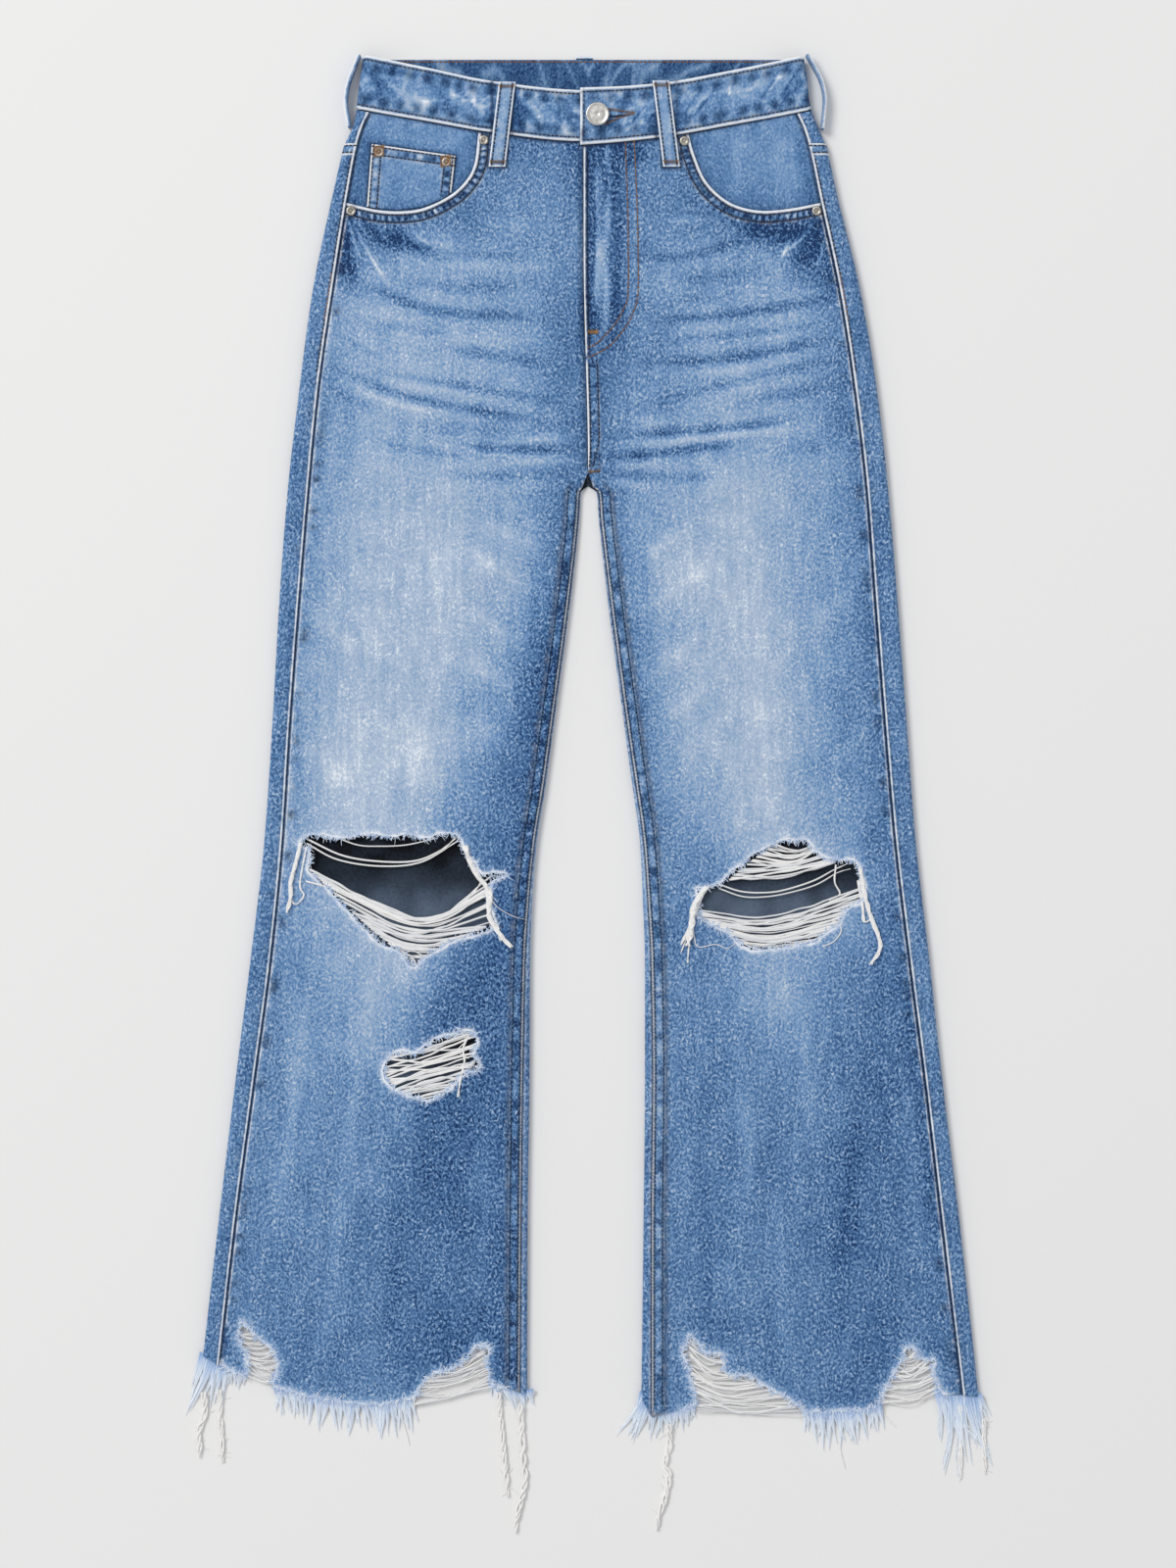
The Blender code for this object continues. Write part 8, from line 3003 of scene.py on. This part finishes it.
LOOSE_THREADS = {
    Side.RIGHT: rows(LooseThread,
        (((214, 622), (192, 628), (163, 637), (148, 643), (126, 651), (104, 645), (89, 634), (79, 621)), 0.6),
        (((193, 588), (174, 595), (157, 596), (137, 595), (114, 590)), 0.42),
        (((211, 591), (185, 603), (157, 607.5), (130, 607), (111, 599), (100, 590)), 0.6),
        (((212, 594), (189, 606), (157, 611), (126, 608), (98, 592)), 0.55),
        (((92, 596), (89, 608), (83, 619), (76, 628), (74, 649), (68, 660), (58, 672)), 1.4),
        (((94, 596), (87, 610), (80, 622), (73, 632), (75, 649), (69, 656), (65, 667)), 1.1),
        (((76, 627), (70, 640), (58, 648), (48, 651)), 0.22),
        (((216, 592), (220, 608), (224, 623), (224, 634), (227, 646)), 1.2, 0.9),
        (((212, 596), (216, 616), (217, 627), (214, 633), (220, 640), (224, 636)), 0.55),
        (((88, 735), (94, 748), (93, 758), (96, 771), (98, 785)), 0.62),
        (((97, 733), (92, 742), (98, 750), (90, 756)), 0.3),
        (((132, 1009), (131, 1016), (131, 1024), (128, 1029)), 0.4),
        (((145, 1012), (142, 1024), (138, 1036), (135, 1048)), 0.36)),
    Side.LEFT: rows(LooseThread,
        (((97, 624), (115, 630), (133, 631), (148, 629), (170, 622), (185, 614), (196, 609)), 0.5),
        (((99, 628), (117, 634), (135, 634), (152, 631), (172, 625), (188, 616), (198, 613)), 0.42),
        (((89, 627), (80, 641), (78, 656), (75, 671)), 1.8, 0.9),
        (((88, 628), (82, 643), (76, 658), (70, 670)), 0.9), (((78, 655), (74, 666), (70, 676)), 0.4),
        (((77, 656), (76, 670), (75, 684)), 0.45),
        (((79, 656), (80, 664), (83, 672), (96, 670), (105, 673), (111, 669)), 0.3),
        (((187, 610), (186, 623), (190, 632), (182, 637)), 0.5),
        (((205, 612), (209, 634), (213, 649), (219, 664), (220, 674), (213, 685)), 1.2),
        (((204, 622), (207, 642), (208, 653), (213, 651)), 0.8),
        (((175, 672), (185, 668), (191, 659), (186, 652), (181, 657)), 0.35),
        (((221, 1019), (224, 1026), (229, 1031), (232, 1034)), 0.4),
        (((189, 1021), (191, 1036), (190, 1049), (194, 1066)), 0.34)),
}


class FrayRun(NamedTuple):
    """A run of fringe: its root and its tips, in mm, and how closely its tufts stand."""

    root: tuple[tuple[float, float], ...]
    tips: tuple[tuple[float, float], ...]
    spacing: float
    strands: int


FRAY_RUNS = {
    Side.RIGHT: rows(FrayRun,
        (((291, 980), (286, 984), (279, 987)), ((301, 1001), (298, 1021), (286, 1013)), 1.7, 13),
        (((279, 986), (273, 990)), ((286, 1008), (279, 1016)), 1.3, 14),
        (((271, 991), (258, 992)), ((272, 1006), (258, 1006)), 1.9, 9),
        (((237, 1001), (215, 1007), (192, 1012), (163, 1014.5), (145, 1012.5), (133, 1011)), ((236, 1019),
         (215, 1028), (191, 1034), (163, 1037), (144, 1037), (131, 1033)), 2.2, 13),
        (((74, 1000), (59, 1004), (50, 1008), (42, 1006)), ((73, 1015), (60, 1017), (49, 1020),
         (39, 1015)), 1.9, 9)),
    Side.LEFT: rows(FrayRun,
        (((41, 1010), (45, 1017), (52, 1023)), ((25, 1042), (33, 1040), (49, 1040)), 1.6, 12),
        (((53, 1023), (74, 1019), (81, 1017)), ((53, 1040), (73, 1034), (81, 1031)), 2.0, 10),
        (((163, 1020), (179, 1021.5), (201, 1021.5), (207, 1019), (220, 1018)), ((165, 1043), (184, 1048),
         (204, 1045), (211, 1042), (224, 1037)), 2.2, 13),
        (((263, 1008), (283, 1008), (296, 1012)), ((274, 1046), (288, 1062), (301, 1042)), 1.5, 14),
        (((286, 1008), (297, 1012)), ((299, 1027), (303, 1024)), 2.2, 9)),
}
TASSELS = {
    Side.RIGHT: rows(LooseThread,
        (((290, 1008), (289, 1023), (294, 1039), (293, 1048), (293.5, 1057)), 0.7, 1.0),
        (((278, 1006), (277, 1030), (276.5, 1048), (275.5, 1061)), 0.6, 1.0),
        (((68, 1008), (66, 1030), (63.5, 1052), (62, 1070), (60.5, 1087)), 0.66, 1.0),
        (((51, 1018), (49.6, 1045), (48, 1067), (48.5, 1082), (53, 1100), (55, 1114)), 0.74, 1.0)),
    Side.LEFT: rows(LooseThread,
        (((61, 1032), (61.4, 1048), (58, 1062), (61, 1071), (58, 1087), (54, 1099), (51.8, 1112)), 0.74, 1.0),
        (((281, 1018), (281.5, 1045), (281, 1074)), 0.5, 1.0), (((299, 1028), (299, 1050),
         (299.6, 1070)), 0.5, 1.0)),
}


class TornThreads:
    """What is left of the cloth in and around the tears of one side: weft threads and fluff."""

    def __init__(self, panel: FrontPanel) -> None:
        """Keeps the panel that is torn.

        Args:
            panel: The front panel.
        """
        self.panel = panel
        self.leg = panel.leg
        self.side = panel.side
        self.random = np.random.default_rng(500 + panel.side.value)

    def lie(self, path: Array, low: float) -> Array:
        """Points of a thread that starts and ends under the cloth and sags into the opening.

        Args:
            path: Reach and drop along it, in metres.
            low: How far below the cloth's face it sags.

        Returns:
            Points in the frame.
        """
        part = np.linspace(0, 1, len(path))
        ease = np.sin(math.pi * part) ** 0.35
        ends = 1 - smoothstep(0.0, 0.05, np.minimum(part, 1 - part))
        depth = low * ease * (1 - ends) + 1.7 * MM * ends
        return self.leg.sunk(self.leg.upper, path[:, 0], path[:, 1], depth)

    def bands(self, skein: Skein) -> None:
        """Adds the bands of weft across each opening.

        Args:
            skein: Where the yarns go.
        """
        for number, band in enumerate(THREAD_BANDS[self.side]):
            runs = [evenly(resampled(metres(run), 3 * MM), MM) for run in (band.start, band.middle, band.end)]
            count = round(1.5 * band.count)
            for k in range(count):
                t = (k + 0.5 + self.random.uniform(-0.30, 0.30)) / count
                t = np.clip(t + 0.35 / count * math.sin(9.0 * t * math.pi + number), 0.0, 0.999)
                spots = [run[int(np.clip(t + self.random.normal(0, slip), 0.0, 0.999) * (len(run) - 1))]
                         for run, slip in zip(runs, (0.05, 0.055, 0.05))]
                spots[1] = spots[1] + self.random.normal(0, 1.2 * MM, 2)
                path = evenly(resampled(np.array(spots), 2 * MM), 2.5 * MM)
                wave = Lumps(600 + 37 * number + k, 11 * MM)(np.arange(len(path)) * 2.5 * MM)
                path = path + (0.9 * MM * wave * np.sin(math.pi * np.linspace(0, 1, len(path))))[:, None] \
                    * (beside(path, 1.0) - path)
                girth = 1.35 * band.girth * MM * self.random.uniform(0.60, 1.20)
                points = self.lie(path, self.random.uniform(0.4, 2.2) * MM)
                skein.add(points, girth * (1 + 0.22 * wave), self.random.uniform(0.55, 1.0))
                if self.random.random() < 0.35:
                    twin = path + self.random.normal(0, 0.5 * MM, 2)
                    skein.add(self.lie(twin, 0.8 * MM), 0.30 * MM, 0.95)

    def singles(self, skein: Skein) -> None:
        """Adds the threads that are followed one by one, each with finer ones twisted round it.

        Args:
            skein: Where the yarns go.
        """
        leg = self.leg
        for number, thread in enumerate(LOOSE_THREADS[self.side]):
            path = evenly(resampled(metres(thread.path), 2 * MM), 2 * MM)
            s = np.arange(len(path)) * 2 * MM
            over = Lumps(700 + number, 20 * MM)(s)
            torn = np.zeros(len(path), bool)
            for tear in self.panel.tears:
                torn |= inside(tear, path)
            start = 1.6 * MM * (1 - smoothstep(0, 4 * MM, s))
            fallen = path[:, 1] > self.panel.outline()[:, 1].max() - 0.012
            lump = 0.6 * MM * max(0.0, thread.girth - 0.6)
            off = np.where(torn, -0.9 * MM + 0.5 * MM * over, 0.7 * MM) - start + 2 * lump
            points = leg.sunk(leg.upper, path[:, 0], path[:, 1], -off)
            below = smoothstep(0.0, 0.012, path[:, 1] - 1.012) if fallen.any() else 0 * s
            points[:, 2] = points[:, 2] * (1 - below) + (0.8 * MM) * below
            taper = 1 - 0.55 * smoothstep(0.75, 1.0, np.linspace(0, 1, len(path)))
            skein.add(points, 1.3 * thread.girth * MM * taper, thread.tint)
            for turn in range(2):
                angle = s / (3.2 * MM) + turn * math.pi
                swirl = np.stack([np.cos(angle), 0.2 * np.sin(angle), np.abs(np.sin(angle))], axis=1)
                skein.add(points + 1.1 * thread.girth * MM * swirl, 0.42 * thread.girth * MM, 0.98)
            for strand in range(5 if thread.girth > 0.75 else 0):
                sway = Lumps(750 + 9 * number + strand, 9 * MM)(s)
                shift = thread.girth * MM * np.stack([1.4 * sway, 0.3 * sway, 0.7 * np.abs(sway)], axis=1)
                skein.add(points + shift, 0.60 * MM * taper, self.random.uniform(0.7, 1.0))

    def fluff(self, skein: Skein) -> None:
        """Adds the short broken fibres along the torn edges and the raw hem.

        Args:
            skein: Where the yarns go.
        """
        leg, random = self.leg, self.random
        for number, path in enumerate([*self.panel.tears, self.panel.hem]):
            hem = number == len(self.panel.tears)
            edge = evenly(path if hem else closed(path), (1.3 if hem else 0.95) * MM)
            out = beside(edge, 1.0) - edge
            for k in range(len(edge)):
                for _ in range(random.integers(2, 5)):
                    length = random.uniform(1.4, 4.4) * MM
                    lean = random.normal(0, 0.9)
                    sway = np.array([-out[k, 1], out[k, 0]])
                    way = out[k] * random.choice([-1.0, -0.7, 0.7, 1.0]) + sway * lean
                    way /= np.linalg.norm(way)
                    bend = random.normal(0, 0.7) * np.array([-way[1], way[0]])
                    t = np.linspace(0, 1, 4)[:, None]
                    line_of = edge[k] + length * (t * way + t * t * bend)
                    lift = random.uniform(0.1, 0.9) * MM * np.sin(2.2 * t[:, 0])
                    points = leg.sunk(leg.upper, line_of[:, 0], line_of[:, 1], 0.35 * MM - lift)
                    if hem:
                        points[:, 2] = np.maximum(points[:, 2], 0.4 * MM)
                    tint = random.uniform(0.25, 1.0)
                    skein.add(points, random.uniform(0.24, 0.44) * MM * np.array([1.2, 1, 0.8, 0.4]), tint)

    def build(self, tubes: NodeTree, finishes: Finishes) -> list[Object]:
        """Makes the threads and the fluff.

        Args:
            tubes: The tree that turns lines into yarns.
            finishes: The materials.

        Returns:
            The objects, which go with the front panel's cloth.
        """
        threads, fibres = Skein(), Skein()
        self.bands(threads)
        self.singles(threads)
        self.fluff(fibres)
        made = [threads.build(f"torn_threads_{self.side.word}", tubes, finishes.weft, 5),
                fibres.build(f"torn_fluff_{self.side.word}", tubes, finishes.fray, 4)]
        for piece in made:
            settle(piece, "washed_denim")
        return made


class HemFringe:
    """The frayed yarns of one leg's hem, front and back, and its long tassels."""

    def __init__(self, panel: FrontPanel, back: BackPanel) -> None:
        """Keeps the panels whose hems are frayed.

        Args:
            panel: The front panel.
            back: The back panel.
        """
        self.panel = panel
        self.back = back
        self.leg = panel.leg
        self.side = panel.side
        self.random = np.random.default_rng(800 + panel.side.value)

    def tuft(self, skein: Skein, root: Array, tip: Array, strands: int, heights: tuple[float, float],
             spread: float = 2.7 * MM) -> None:
        """Adds one tuft, whose strands draw together towards a curved tip.

        Args:
            skein: Where it goes.
            root: Its root, as reach and drop.
            tip: Its tip.
            strands: How many strands it has.
            heights: Height over the floor of its root and its tip.
            spread: Half the width of its root.
        """
        random = self.random
        run = tip - root
        sideways = np.array([-run[1], run[0]]) / np.linalg.norm(run)
        curl = random.normal(0, 0.12) * np.linalg.norm(run)
        t = np.linspace(0, 1, 6)
        for number in range(strands):
            place = 2 * (number + 0.5) / strands - 1
            reach = 1.0 - 0.25 * abs(place) * random.random() + random.uniform(-0.08, 0.06)
            wave = random.normal(0, 0.22 * MM) * np.sin(random.uniform(3, 7) * t + random.uniform(0, 6))
            off = spread * place * (1 - t) ** 0.85 + random.normal(0, 0.10 * MM) + curl * t * t + wave
            line_of = root - 0.08 * run + 1.08 * reach * run * t[:, None] + sideways * off[:, None]
            fall = smoothstep(0, 0.85, t)
            z = heights[0] + (heights[1] - heights[0]) * fall
            z = z + 0.5 * MM * (1 - place * place) * np.sin(3 * t) + random.uniform(-0.2, 0.2) * MM
            points = self.leg.place(line_of[:, 0], line_of[:, 1], np.maximum(z, 0.4 * MM))
            bare = random.uniform(0.35, 0.75)
            tint = np.clip(0.10 + t / bare + random.uniform(-0.25, 0.25), 0, 1)
            skein.add(points, random.uniform(0.46, 0.64) * MM * (1 - 0.74 * t), tint)

    def build_front(self, tubes: NodeTree, finishes: Finishes) -> Object:
        """Makes the front hem's fringe.

        Args:
            tubes: The tree that turns lines into yarns.
            finishes: The materials.

        Returns:
            The object.
        """
        skein = Skein()
        for run in FRAY_RUNS[self.side]:
            root = evenly(resampled(metres(run.root), 2 * MM), 0.5 * MM)
            tips = evenly(resampled(metres(run.tips), 2 * MM), 0.5 * MM)
            length = np.linalg.norm(np.diff(root, axis=0), axis=1).sum()
            count = max(3, round(length / (1.1 * run.spacing * MM)))
            for k in range(count):
                t = (k + 0.5 + self.random.uniform(-0.3, 0.3)) / count
                start, tip = root[int(t * (len(root) - 1))], tips[int(t * (len(tips) - 1))]
                tip = start + (tip - start) * self.random.uniform(0.72, 1.22) + self.random.normal(0, 1.5 * MM, 2)
                self.tuft(skein, start, tip, round(0.75 * run.strands), (3.9 * MM, 1.0 * MM))
        made = skein.build(f"hem_fringe_front_{self.side.word}_yarn", tubes, finishes.fray, 5)
        settle(made, "frayed_cotton", f"hem_fringe_front_{self.side.word}")
        return made

    def build_back(self, tubes: NodeTree, finishes: Finishes) -> Object:
        """Makes the back hem's fringe, flat under the front.

        Args:
            tubes: The tree that turns lines into yarns.
            finishes: The materials.

        Returns:
            The object.
        """
        skein = Skein()
        ends = HEM_ENDS[self.side]
        inner = float(self.leg.fold_in(ends.inner_fold)) + 0.006
        outer = float(self.leg.fold_out(ends.outer_fold)) - 0.006
        for reach in np.arange(inner, outer, 3.4 * MM):
            drop = float(self.back.hem(np.array([reach]))[0])
            start = np.array([reach, drop + 0.5 * MM])
            tip = start + np.array([self.random.normal(0, 2 * MM), self.random.uniform(11, 15) * MM])
            self.tuft(skein, start, tip, 6, (0.9 * MM, 0.6 * MM))
        made = skein.build(f"hem_fringe_back_{self.side.word}_yarn", tubes, finishes.fray, 4)
        settle(made, "frayed_cotton", f"hem_fringe_back_{self.side.word}")
        return made

    def build_tassels(self, tubes: NodeTree, finishes: Finishes) -> list[Object]:
        """Makes the long loose threads, two yarns twisted with a few strays each.

        Args:
            tubes: The tree that turns lines into yarns.
            finishes: The materials.

        Returns:
            The objects, one for each thread.
        """
        made = []
        for number, thread in enumerate(TASSELS[self.side], start=1):
            skein = Skein()
            path = evenly(resampled(metres(thread.path), 1.5 * MM), 1.2 * MM)
            s = np.arange(len(path)) * 1.2 * MM
            side = beside(path, 1.0) - path
            uneven = Lumps(900 + number, 7 * MM)(s)
            for turn in range(3):
                angle = s / (4.0 * MM) + turn * 2.3 + 0.9 * Lumps(905 + number + 7 * turn, 9 * MM)(s)
                narrow = 1 - 0.5 * smoothstep(0.8, 1.0, s / s[-1])
                swing = (2.2 * thread.girth * MM * np.cos(angle) + 0.5 * MM * uneven) * narrow
                place = path + swing[:, None] * side
                z = thread.girth * MM * (2.4 + 1.0 * np.sin(angle)) + 0.2 * MM
                z = z + 2.2 * MM * (1 - smoothstep(0, 0.014, s))
                girth = 1.45 * thread.girth * MM * (1 + 0.25 * Lumps(910 + number + turn, 5 * MM)(s)) * narrow
                skein.add(self.leg.place(place[:, 0], place[:, 1], z), girth, thread.tint)
            for _ in range(14):
                k = int(self.random.integers(2, len(path) - 2))
                t = np.linspace(0, 1, 5)[:, None]
                way = self.random.normal(0, 1, 2)
                way /= np.linalg.norm(way)
                line_of = path[k] + self.random.uniform(2, 6) * MM * (t * way + t * t * self.random.normal(0, 0.4, 2))
                z = np.full(5, 0.9 * MM)
                skein.add(self.leg.place(line_of[:, 0], line_of[:, 1], z), 0.22 * MM, 0.95)
            name = f"hem_tassel_{self.side.word}_{number}"
            piece = skein.build(f"{name}_yarn", tubes, finishes.weft, 4)
            settle(piece, "loose_thread", name)
            made.append(piece)
        return made


class TackSpot(NamedTuple):
    """A bar tack: its side, its ends in mm and its width in mm."""

    side: Side
    reach: float
    drop: float
    end_reach: float
    end_drop: float
    width: float


class Tacks:
    """Zigzag bar tacks on the panels and the keyhole buttonhole."""

    SPOTS = (
        TackSpot(Side.LEFT, -1.0, 208.5, 7.5, 208.5, 3.0),
        TackSpot(Side.LEFT, 0.5, 314.0, 9.0, 313.0, 2.4),
    )

    def __init__(self, panels: dict[Side, FrontPanel], band: Waistband) -> None:
        """Keeps what the tacks are sewn through."""
        self.panels = panels
        self.band = band

    def bars(self, skein: Skein) -> None:
        """Adds the bar tacks of the fly and the crotch.

        Args:
            skein: Where the yarns go.
        """
        for spot in self.SPOTS:
            start, end = metres(((spot.reach, spot.drop), (spot.end_reach, spot.end_drop)))
            count = 23
            t = np.linspace(0, 1, count)[:, None]
            run = end - start
            sideways = np.array([-run[1], run[0]]) / np.linalg.norm(run)
            zig = np.where(np.arange(count) % 2, 0.5, -0.5)[:, None] * spot.width * MM
            path = start + t * run + zig * sideways
            path[:, 0] = np.maximum(path[:, 0], 0.2 * MM)
            points, _ = self.panels[spot.side].surface(path, 0.25 * MM)
            skein.add(points, 0.34 * MM, 0.6)

    def buttonhole(self, rust: Skein, dark: Skein) -> None:
        """Adds the keyhole buttonhole: two whipped edges that meet away from the button.

        Args:
            rust: Where the edges' yarns go.
            dark: Where the dark yarn goes that paints the slit's shade.
        """
        band = self.band
        edges = (((12.0, 0.39), (20.0, 0.425), (28.0, 0.47), (35.0, 0.50)),
                 ((12.0, 0.67), (20.0, 0.60), (28.0, 0.54), (35.0, 0.51)))
        for edge in edges:
            path = np.array([(reach * MM, part * band.sizes.depth) for reach, part in edge])
            path = evenly(resampled(path, MM), 0.55 * MM)
            zig = np.where(np.arange(len(path)) % 2, 1.0, -1.0)[:, None] * 0.9 * MM
            path = path + zig * (beside(path, 1.0) - path)
            along = band.front_along(Side.LEFT, path[:, 0])
            points, _ = band.surface(Side.LEFT, along, path[:, 1] / band.sizes.depth, 0.20 * MM)
            rust.add(points, 0.40 * MM, 0.5)
        # A dark yarn laid in the slit as painted shade.
        slit = evenly(metres(((15.0, 20.5), (24.0, 20.5), (33.0, 20.2))), MM)
        along = band.front_along(Side.LEFT, slit[:, 0])
        points, _ = band.surface(Side.LEFT, along, slit[:, 1] / band.sizes.depth, -0.15 * MM)
        dark.add(points, 0.9 * MM * np.sin(np.linspace(0.5, 2.9, len(slit))), 0.0)


@dataclass(frozen=True)
class StudioSizes:
    """Where the camera and the lights are, in metres."""

    camera_at: tuple[float, float, float] = (-0.0030, 0.0088, 2.796)
    lens_mm: float = 85.0
    key_at: tuple[float, float, float] = (-4.0, 3.7, 6.2)
    key_size: float = 3.6
    key_watts: float = 325.0
    fill: float = 0.62


class Studio:
    """A plain pale floor, one large soft light, an even fill and the camera."""

    def __init__(self, sizes: StudioSizes = StudioSizes()) -> None:
        """Keeps the sizes."""
        self.sizes = sizes

    def build(self) -> None:
        """Makes the studio and aims the camera."""
        sizes = self.sizes
        half = 3.0
        points = [(-half, -half, 0), (half, -half, 0), (half, half, 0), (-half, half, 0)]
        floor = new_object("floor", np.array(points, float), [(0, 1, 2, 3)])
        paper, _, shader = started("pale_paper")
        feed(shader, {"Base Color": linear("#F0EFEE"), "Roughness": 0.9, "Specular IOR Level": 0.1})
        floor.data.materials.append(paper)
        lamp = bpy.data.lights.new("key", "AREA")
        lamp.shape, lamp.size, lamp.energy = "DISK", sizes.key_size, sizes.key_watts
        lamp.color = linear("#FFFEFB")[:3]
        key = bpy.data.objects.new("key", lamp)
        key.location = sizes.key_at
        aim = Vector((0, 0, 0)) - Vector(sizes.key_at)
        key.rotation_euler = aim.to_track_quat("-Z", "Y").to_euler()
        bpy.context.scene.collection.objects.link(key)
        world = bpy.data.worlds.new("fill")
        world.use_nodes = True
        sky = world.node_tree.nodes["Background"]
        sky.inputs["Color"].default_value = linear("#F7F9FC")
        sky.inputs["Strength"].default_value = sizes.fill
        bpy.context.scene.world = world
        bpy.context.scene.view_settings.view_transform = "Standard"
        lens = bpy.data.cameras.new("camera")
        lens.lens, lens.sensor_width = sizes.lens_mm, 36.0
        lens.clip_end = 50.0
        camera = bpy.data.objects.new("camera", lens)
        camera.location = sizes.camera_at
        bpy.context.scene.collection.objects.link(camera)
        bpy.context.scene.camera = camera


def flat_area(made: Object) -> float:
    """Half the area of a thin closed wall, which is that of its cloth."""
    return 0.5 * sum(face.area for face in made.data.polygons)


def declare(made: Object, width: float, length: float, rests_on: Sequence[str] = (),
            goes_with: Sequence[Object] = ()) -> None:
    """Logs a laid sheet of cloth with the size of the piece that it is cut from and its area.

    Args:
        made: The cloth.
        width: Width of the piece that it is cut from.
        length: Length of that piece.
        rests_on: Not used.
        goes_with: Not used.
    """
    area = flat_area(made)
    LOG.info("%s: cut %.0f x %.0f mm, %.4f square metres", made.name, width * 1000, length * 1000, area)
    tuple(rests_on)
    tuple(goes_with)


def cut_size(made: Object, extra: float = 0.0) -> tuple[float, float]:
    """Width and length of a piece laid out flat, from its box, with what is turned round a fold.

    Args:
        made: The piece.
        extra: Width that is turned round a fold, in metres.

    Returns:
        Width and length.
    """
    points = np.array([vertex.co for vertex in made.data.vertices])
    size = points.max(axis=0) - points.min(axis=0)
    return float(size[0]) + extra, float(size[1])


def main() -> None:
    """Builds the garment and its studio, in order."""
    logging.basicConfig(level=logging.INFO, format="%(message)s")
    finishes = Finishes.mixed()
    tubes, stitches = thread_tubes(), stitch_row()
    legs = {side: LegForm(side) for side in Side}
    rust, smoke, inky = Seams(), Seams(), Seams()
    rust_bars, slit_shade = Skein(), Skein()
    sheets: list[tuple[Object, float, tuple, tuple]] = []
    panels: dict[Side, FrontPanel] = {}
    for side in Side:
        panel, back = FrontPanel(legs[side]), BackPanel(legs[side])
        panels[side] = panel
        back_cloth = back.build(finishes)
        front_cloth = panel.build(finishes)
        panel.stitched(rust, smoke, inky)
        back.stitched(smoke, rust)
        torn = TornThreads(panel).build(tubes, finishes)
        fringe = HemFringe(panel, back)
        front_fringe, back_fringe = fringe.build_front(tubes, finishes), fringe.build_back(tubes, finishes)
        tassels = fringe.build_tassels(tubes, finishes)
        yoke = Yoke(legs[side]).build(finishes)
        facing = PocketFacing(legs[side]).build(finishes)
        sheets += [
            (back_cloth, 0.030, ("floor",), (back_fringe,)),
            (yoke, 0.012, ("floor",), ()),
            (front_cloth, 0.0, (back_cloth.name,), (*torn, front_fringe, *tassels)),
            (facing, 0.0, (back_cloth.name,), ()),
        ]
    band = Waistband(legs)
    sheets.append((band.build(finishes), 0.45, ("floor",), ()))
    band.stitched(smoke, rust)
    coin = CoinPocket(legs[Side.RIGHT])
    sheets.append((coin.build(finishes), 0.0, ("pocket_facing_right_cloth",), ()))
    coin.stitched(smoke)
    coin.tacked(rust_bars)
    sheets.append((FlyFacing(legs[Side.LEFT]).build(finishes), 0.0, ("back_left_cloth",), ()))
    sheets += [(made, 0.0, ("floor",), ()) for made in BackPockets().build(finishes, rust)]
    loops = BeltLoops(legs)
    for side in Side:
        sheets.append((loops.build_front(side, finishes, smoke), 0.0, ("waistband_cloth",), ()))
        loops.tacks(side, rust_bars)
        sheets.append((loops.build_hip(side, finishes), 0.012, ("floor",), ()))
    sheets.append((loops.build_back(finishes), 0.0, ("floor",), ()))
    hardware = Hardware(legs)
    hardware.build_button(finishes)
    hardware.build_rivets(finishes)
    tacks = Tacks(panels, band)
    tacks.bars(rust_bars)
    tacks.buttonhole(rust_bars, slit_shade)
    sewn = [
        rust.build("stitches_rust", stitches, finishes.rust),
        smoke.build("stitches_smoke", stitches, finishes.smoke),
        inky.build("stitches_inky", stitches, finishes.inky, thickness=0.46 * MM),
        rust_bars.build("bar_tacks", tubes, finishes.rust, 4),
        slit_shade.build("buttonhole_slit", tubes, finishes.inky, 5),
    ]
    for made in sewn:
        settle(made, "washed_denim")
    for made, extra, rests_on, goes_with in sheets:
        width, length = cut_size(made, extra)
        declare(made, width, length, rests_on, goes_with)
    Studio().build()


if __name__ == "__main__":
    main()
